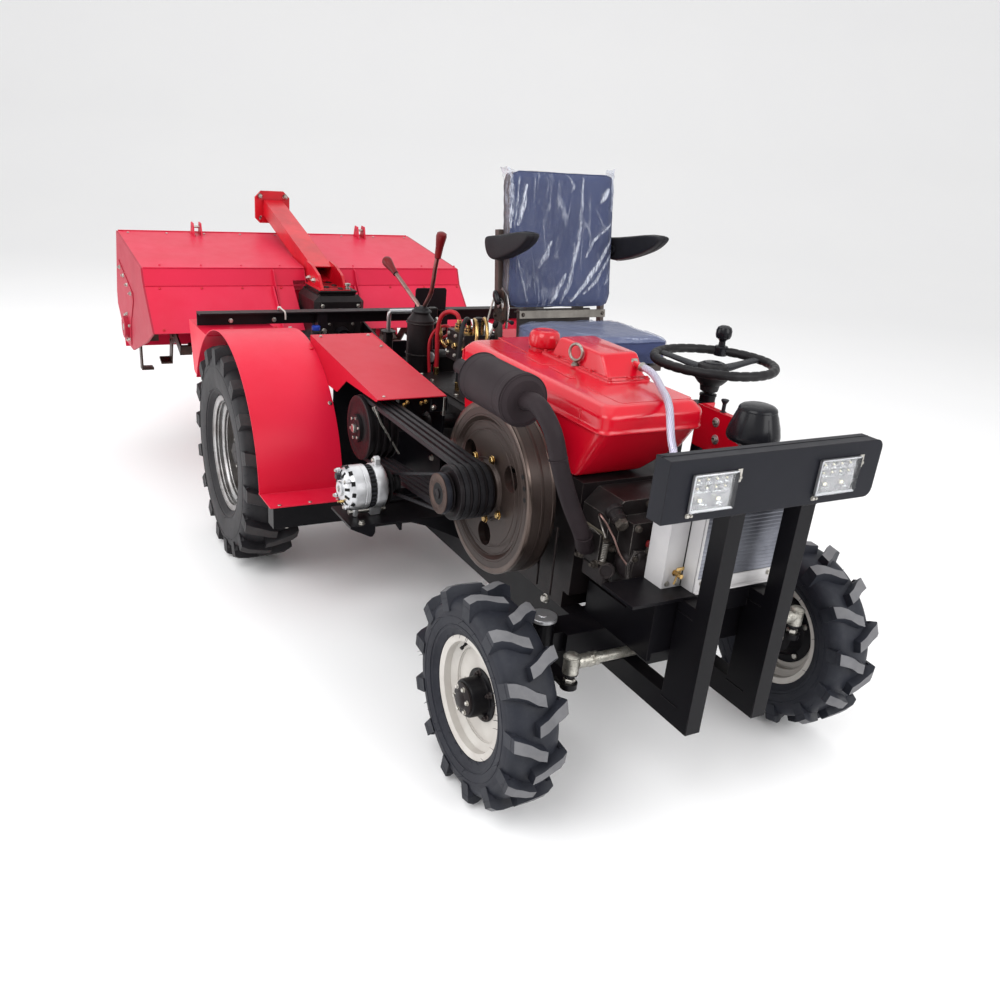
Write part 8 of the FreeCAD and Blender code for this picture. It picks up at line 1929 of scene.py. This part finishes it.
B = Build()
for s, ye in ((-1, -900.2), (1, 670.2)):
    ax = "-y" if s < 0 else "y"
    for x, z in ((-3271.0, 871.0), (-3175.0, 846.0), (-3080.0, 818.0), (-2985.0, 793.0)):
        B.lathe((x, ye, z), ax, [(15.0, -0.4), (15.0, 2.0), (13.0, 2.6)], 20, 1)
        B.bolt((x, ye + s * 1.0, z), ax, 17.0, 9.0, 1, True, None, 6.0)
    # reinforcing plate and bearing housing
    B.prism([(-3320, 900), (-2950, 800), (-2950, 760), (-3060, 640), (-3100, 520), (-3230, 520), (-3270, 640), (-3330, 760)], "y", (ye - 4.0) if s < 0 else ye, ye if s < 0 else (ye + 4.0), 0, 0.8)
    for i in range(6):
        a = math.radians(i * 60 + 15)
        B.bolt((-3165.0 + 70.0 * math.cos(a), ye + s * 4.0, 600.0 + 70.0 * math.sin(a)), ax, 13.0, 7.0, 1)
    B.lathe((-3165.0, ye + s * 24.0, 600.0), ax, [(40.0, -1.0), (38.0, 1.2), (24.0, 1.3)], 32, 2)
    B.lathe((-3165.0, ye + s * 24.0, 600.0), ax, [(19.0, 0.0), (19.0, 1.4), (16.0, 1.75), (0, 1.75)], 6, 1)
B.done("end_plate_fittings", "tiller", ["red_end", "zinc", "old_iron"], "red_paint")

B = Build()
# arm: four flange bolts with nuts; gearbox lid bolts, breather, filler; clevis pins
for dy in (-68.0, 68.0):
    for dz in (-56.0, 56.0):
        u = Vector((-0.966, 0, 0.258))
        w2 = Vector((0.258, 0, 0.966))
        p = Vector((-3406.0, -93.0, 1160.0)) + w2 * dz + AX["y"] * dy
        B.bolt(tuple(p - u * 5.5), tuple(-u), 17.0, 9.0, 0, True, None, 8.0)
        B.bolt(tuple(p + u * 5.5), tuple(u), 17.0, 9.0, 0, True)
for x in (-2612.0, -2398.0):
    for y in (-172.0, 12.0):
        B.bolt((x, y, 880.0), "z", 9.0, 5.0, 1)
B.prism([(-2610, -170), (-2400, -170), (-2400, 10), (-2610, 10)], "z", 893.0, 903.0, 1, 3.0)
for i in range(5):
    B.lathe((-2590.0 + i * 42.0, -90.0 + 26.0 * (-1) ** i, 902.0), "z", [(14.0, 0.0), (14.0, 7.0), (10.0, 10.0), (0, 11.0)], 8, 1)
    B.box(-2596.0 + i * 42.0, -2584.0 + i * 42.0, -150.0, -10.0, 902.0, 907.0, 2.0, 1)
B.lathe((-2420.0, -30.0, 902.0), "z", [(12.0, 0.0), (12.0, 12.0), (8.0, 13.0), (8.0, 20.0), (14.0, 22.0), (14.0, 30.0), (0, 33.0)], 20, 0)
B.lathe((-2365.0, -80.0, 760.0), "x", [(70.0, -6.0), (70.0, 2.0), (64.0, 5.0), (40.0, 6.0)], 40, 1)
for i in range(6):
    B.bolt(on_circle((-2362.0, -80.0, 760.0), "x", 56.0, i * 60), "x", 11.0, 5.0, 0)
for z in (680.0, 840.0):
    for y in (-166.0, 6.0):
        B.bolt((-2370.0, y, z), "x", 13.0, 6.0, 0)
for y in (-154.9, -31.1):
    B.bolt((-2590.0, y, 930.0), "-y" if y < -60.0 else "y", 19.0, 10.0, 0, True, None, 6.0)
    B.bolt((-2520.0, y, 930.0), "-y" if y < -60.0 else "y", 19.0, 10.0, 0, True, None, 6.0)
B.done("tiller_head_bolts", "tiller", ["zinc", "engine_black"], "zinc")

B = Build()
# bolts that clamp the blades to the rotor flanges
for y in (-850.0, -690.0, -530.0, -370.0, -210.0, 50.0, 190.0, 330.0, 475.0, 620.0):
    for i in range(6):
        a = math.radians(i * 60 + 30)
        for s in (-1, 1):
            B.bolt((-3165.0 + 72.0 * math.cos(a), y + 9.0 * s, 600.0 + 72.0 * math.sin(a)), "y" if s > 0 else "-y", 13.0, 6.0, 0)
B.done("rotor_bolts", "tiller_rotor", ["old_iron"], "blade_steel")


# ================================================================ floor, light, camera
def studio():
    me = bpy.data.meshes.new("floor")
    zf = -0.002
    bm = bmesh.new()
    # floor that sweeps up behind the machine in one cove
    prof = [(-16.0, 16.0), (-14.0, 8.0), (-12.6, 3.4), (-11.0, 1.4), (-9.0, 0.35), (-7.0, 0.0), (14.0, 0.0)]
    rows = []
    dirv = Vector((math.cos(2.639404), math.sin(2.639404)))
    side = Vector((-dirv.y, dirv.x))
    for d, z in prof:
        row = []
        for t in (-24.0, -8.0, 0.0, 8.0, 24.0):
            p = dirv * -d + side * t
            row.append(bm.verts.new((p.x, p.y, z + zf)))
        rows.append(row)
    for a, b in zip(rows, rows[1:]):
        for i in range(4):
            bm.faces.new((a[i], a[i + 1], b[i + 1], b[i]))
    bmesh.ops.recalc_face_normals(bm, faces=bm.faces)
    bm.to_mesh(me)
    bm.free()
    me.polygons.foreach_set("use_smooth", [True] * len(me.polygons))
    k = Mat("floor_pale")
    k.bump(k.noise(3.0), 0.02, 0.001)
    m = k.done(k.mix(k.noise(0.8), srgb(250, 250, 250), srgb(247, 247, 248)), 0.75, 0.0, spec=0.2)
    me.materials.append(m)
    o = bpy.data.objects.new("floor", me)
    bpy.context.scene.collection.objects.link(o)


studio()


def area(name, loc, target, size, power, color=(1, 1, 1), size_y=None):
    d = bpy.data.lights.new(name, "AREA")
    d.energy = power
    d.color = color
    d.shape = "RECTANGLE"
    d.size = size
    d.size_y = size_y or size
    o = bpy.data.objects.new(name, d)
    bpy.context.scene.collection.objects.link(o)
    o.location = loc
    v = Vector(target) - Vector(loc)
    o.rotation_euler = v.to_track_quat("-Z", "Y").to_euler()
    return o


area("key_soft", (2.6, -3.6, 4.6), (0.2, 0.0, 0.6), 3.4, 150)
area("front_soft", (5.0, 1.6, 2.6), (0.6, 0.0, 0.6), 3.0, 110)
area("top_soft", (-0.6, 0.4, 5.4), (0.0, 0.0, 0.4), 5.5, 60)
area("right_low", (-1.8, -4.6, 1.8), (-0.4, 0.0, 0.5), 3.2, 80)
area("rear_soft", (-4.0, 0.5, 4.6), (-0.6, 0.0, 0.5), 3.6, 22)
world = bpy.data.worlds.new("studio_world")
bpy.context.scene.world = world
world.use_nodes = True
bg = world.node_tree.nodes["Background"]
bg.inputs[0].default_value = (1.0, 1.0, 1.0, 1.0)
bg.inputs[1].default_value = 0.80

cam_data = bpy.data.cameras.new("camera")
cam = bpy.data.objects.new("camera", cam_data)
bpy.context.scene.collection.objects.link(cam)
bpy.context.scene.camera = cam
YAW, PITCH, ROLL, FOC, PX, PY = 2.639404, 0.434943411, 0.080270716, 943.780706, 466.34712, 560.114234
fw = Vector((math.cos(YAW) * math.cos(PITCH), math.sin(YAW) * math.cos(PITCH), -math.sin(PITCH)))
r0 = fw.cross(Vector((0, 0, 1))).normalized()
u0 = r0.cross(fw)
right = r0 * math.cos(ROLL) + u0 * math.sin(ROLL)
upv = u0 * math.cos(ROLL) - r0 * math.sin(ROLL)
cam.matrix_world = Matrix((
    (right.x, upv.x, -fw.x, 1.80202190 + SX),
    (right.y, upv.y, -fw.y, -1.60931765 + SY),
    (right.z, upv.z, -fw.z, 1.65196978),
    (0, 0, 0, 1)))
cam_data.sensor_width = 36.0
cam_data.lens = FOC * 36.0 / 1000.0
cam_data.shift_x = (500.0 - PX) / 1000.0
cam_data.shift_y = (PY - 500.0) / 1000.0
cam_data.clip_start = 0.05
bpy.context.scene.view_settings.view_transform = "Standard"
bpy.context.scene.view_settings.look = "None"
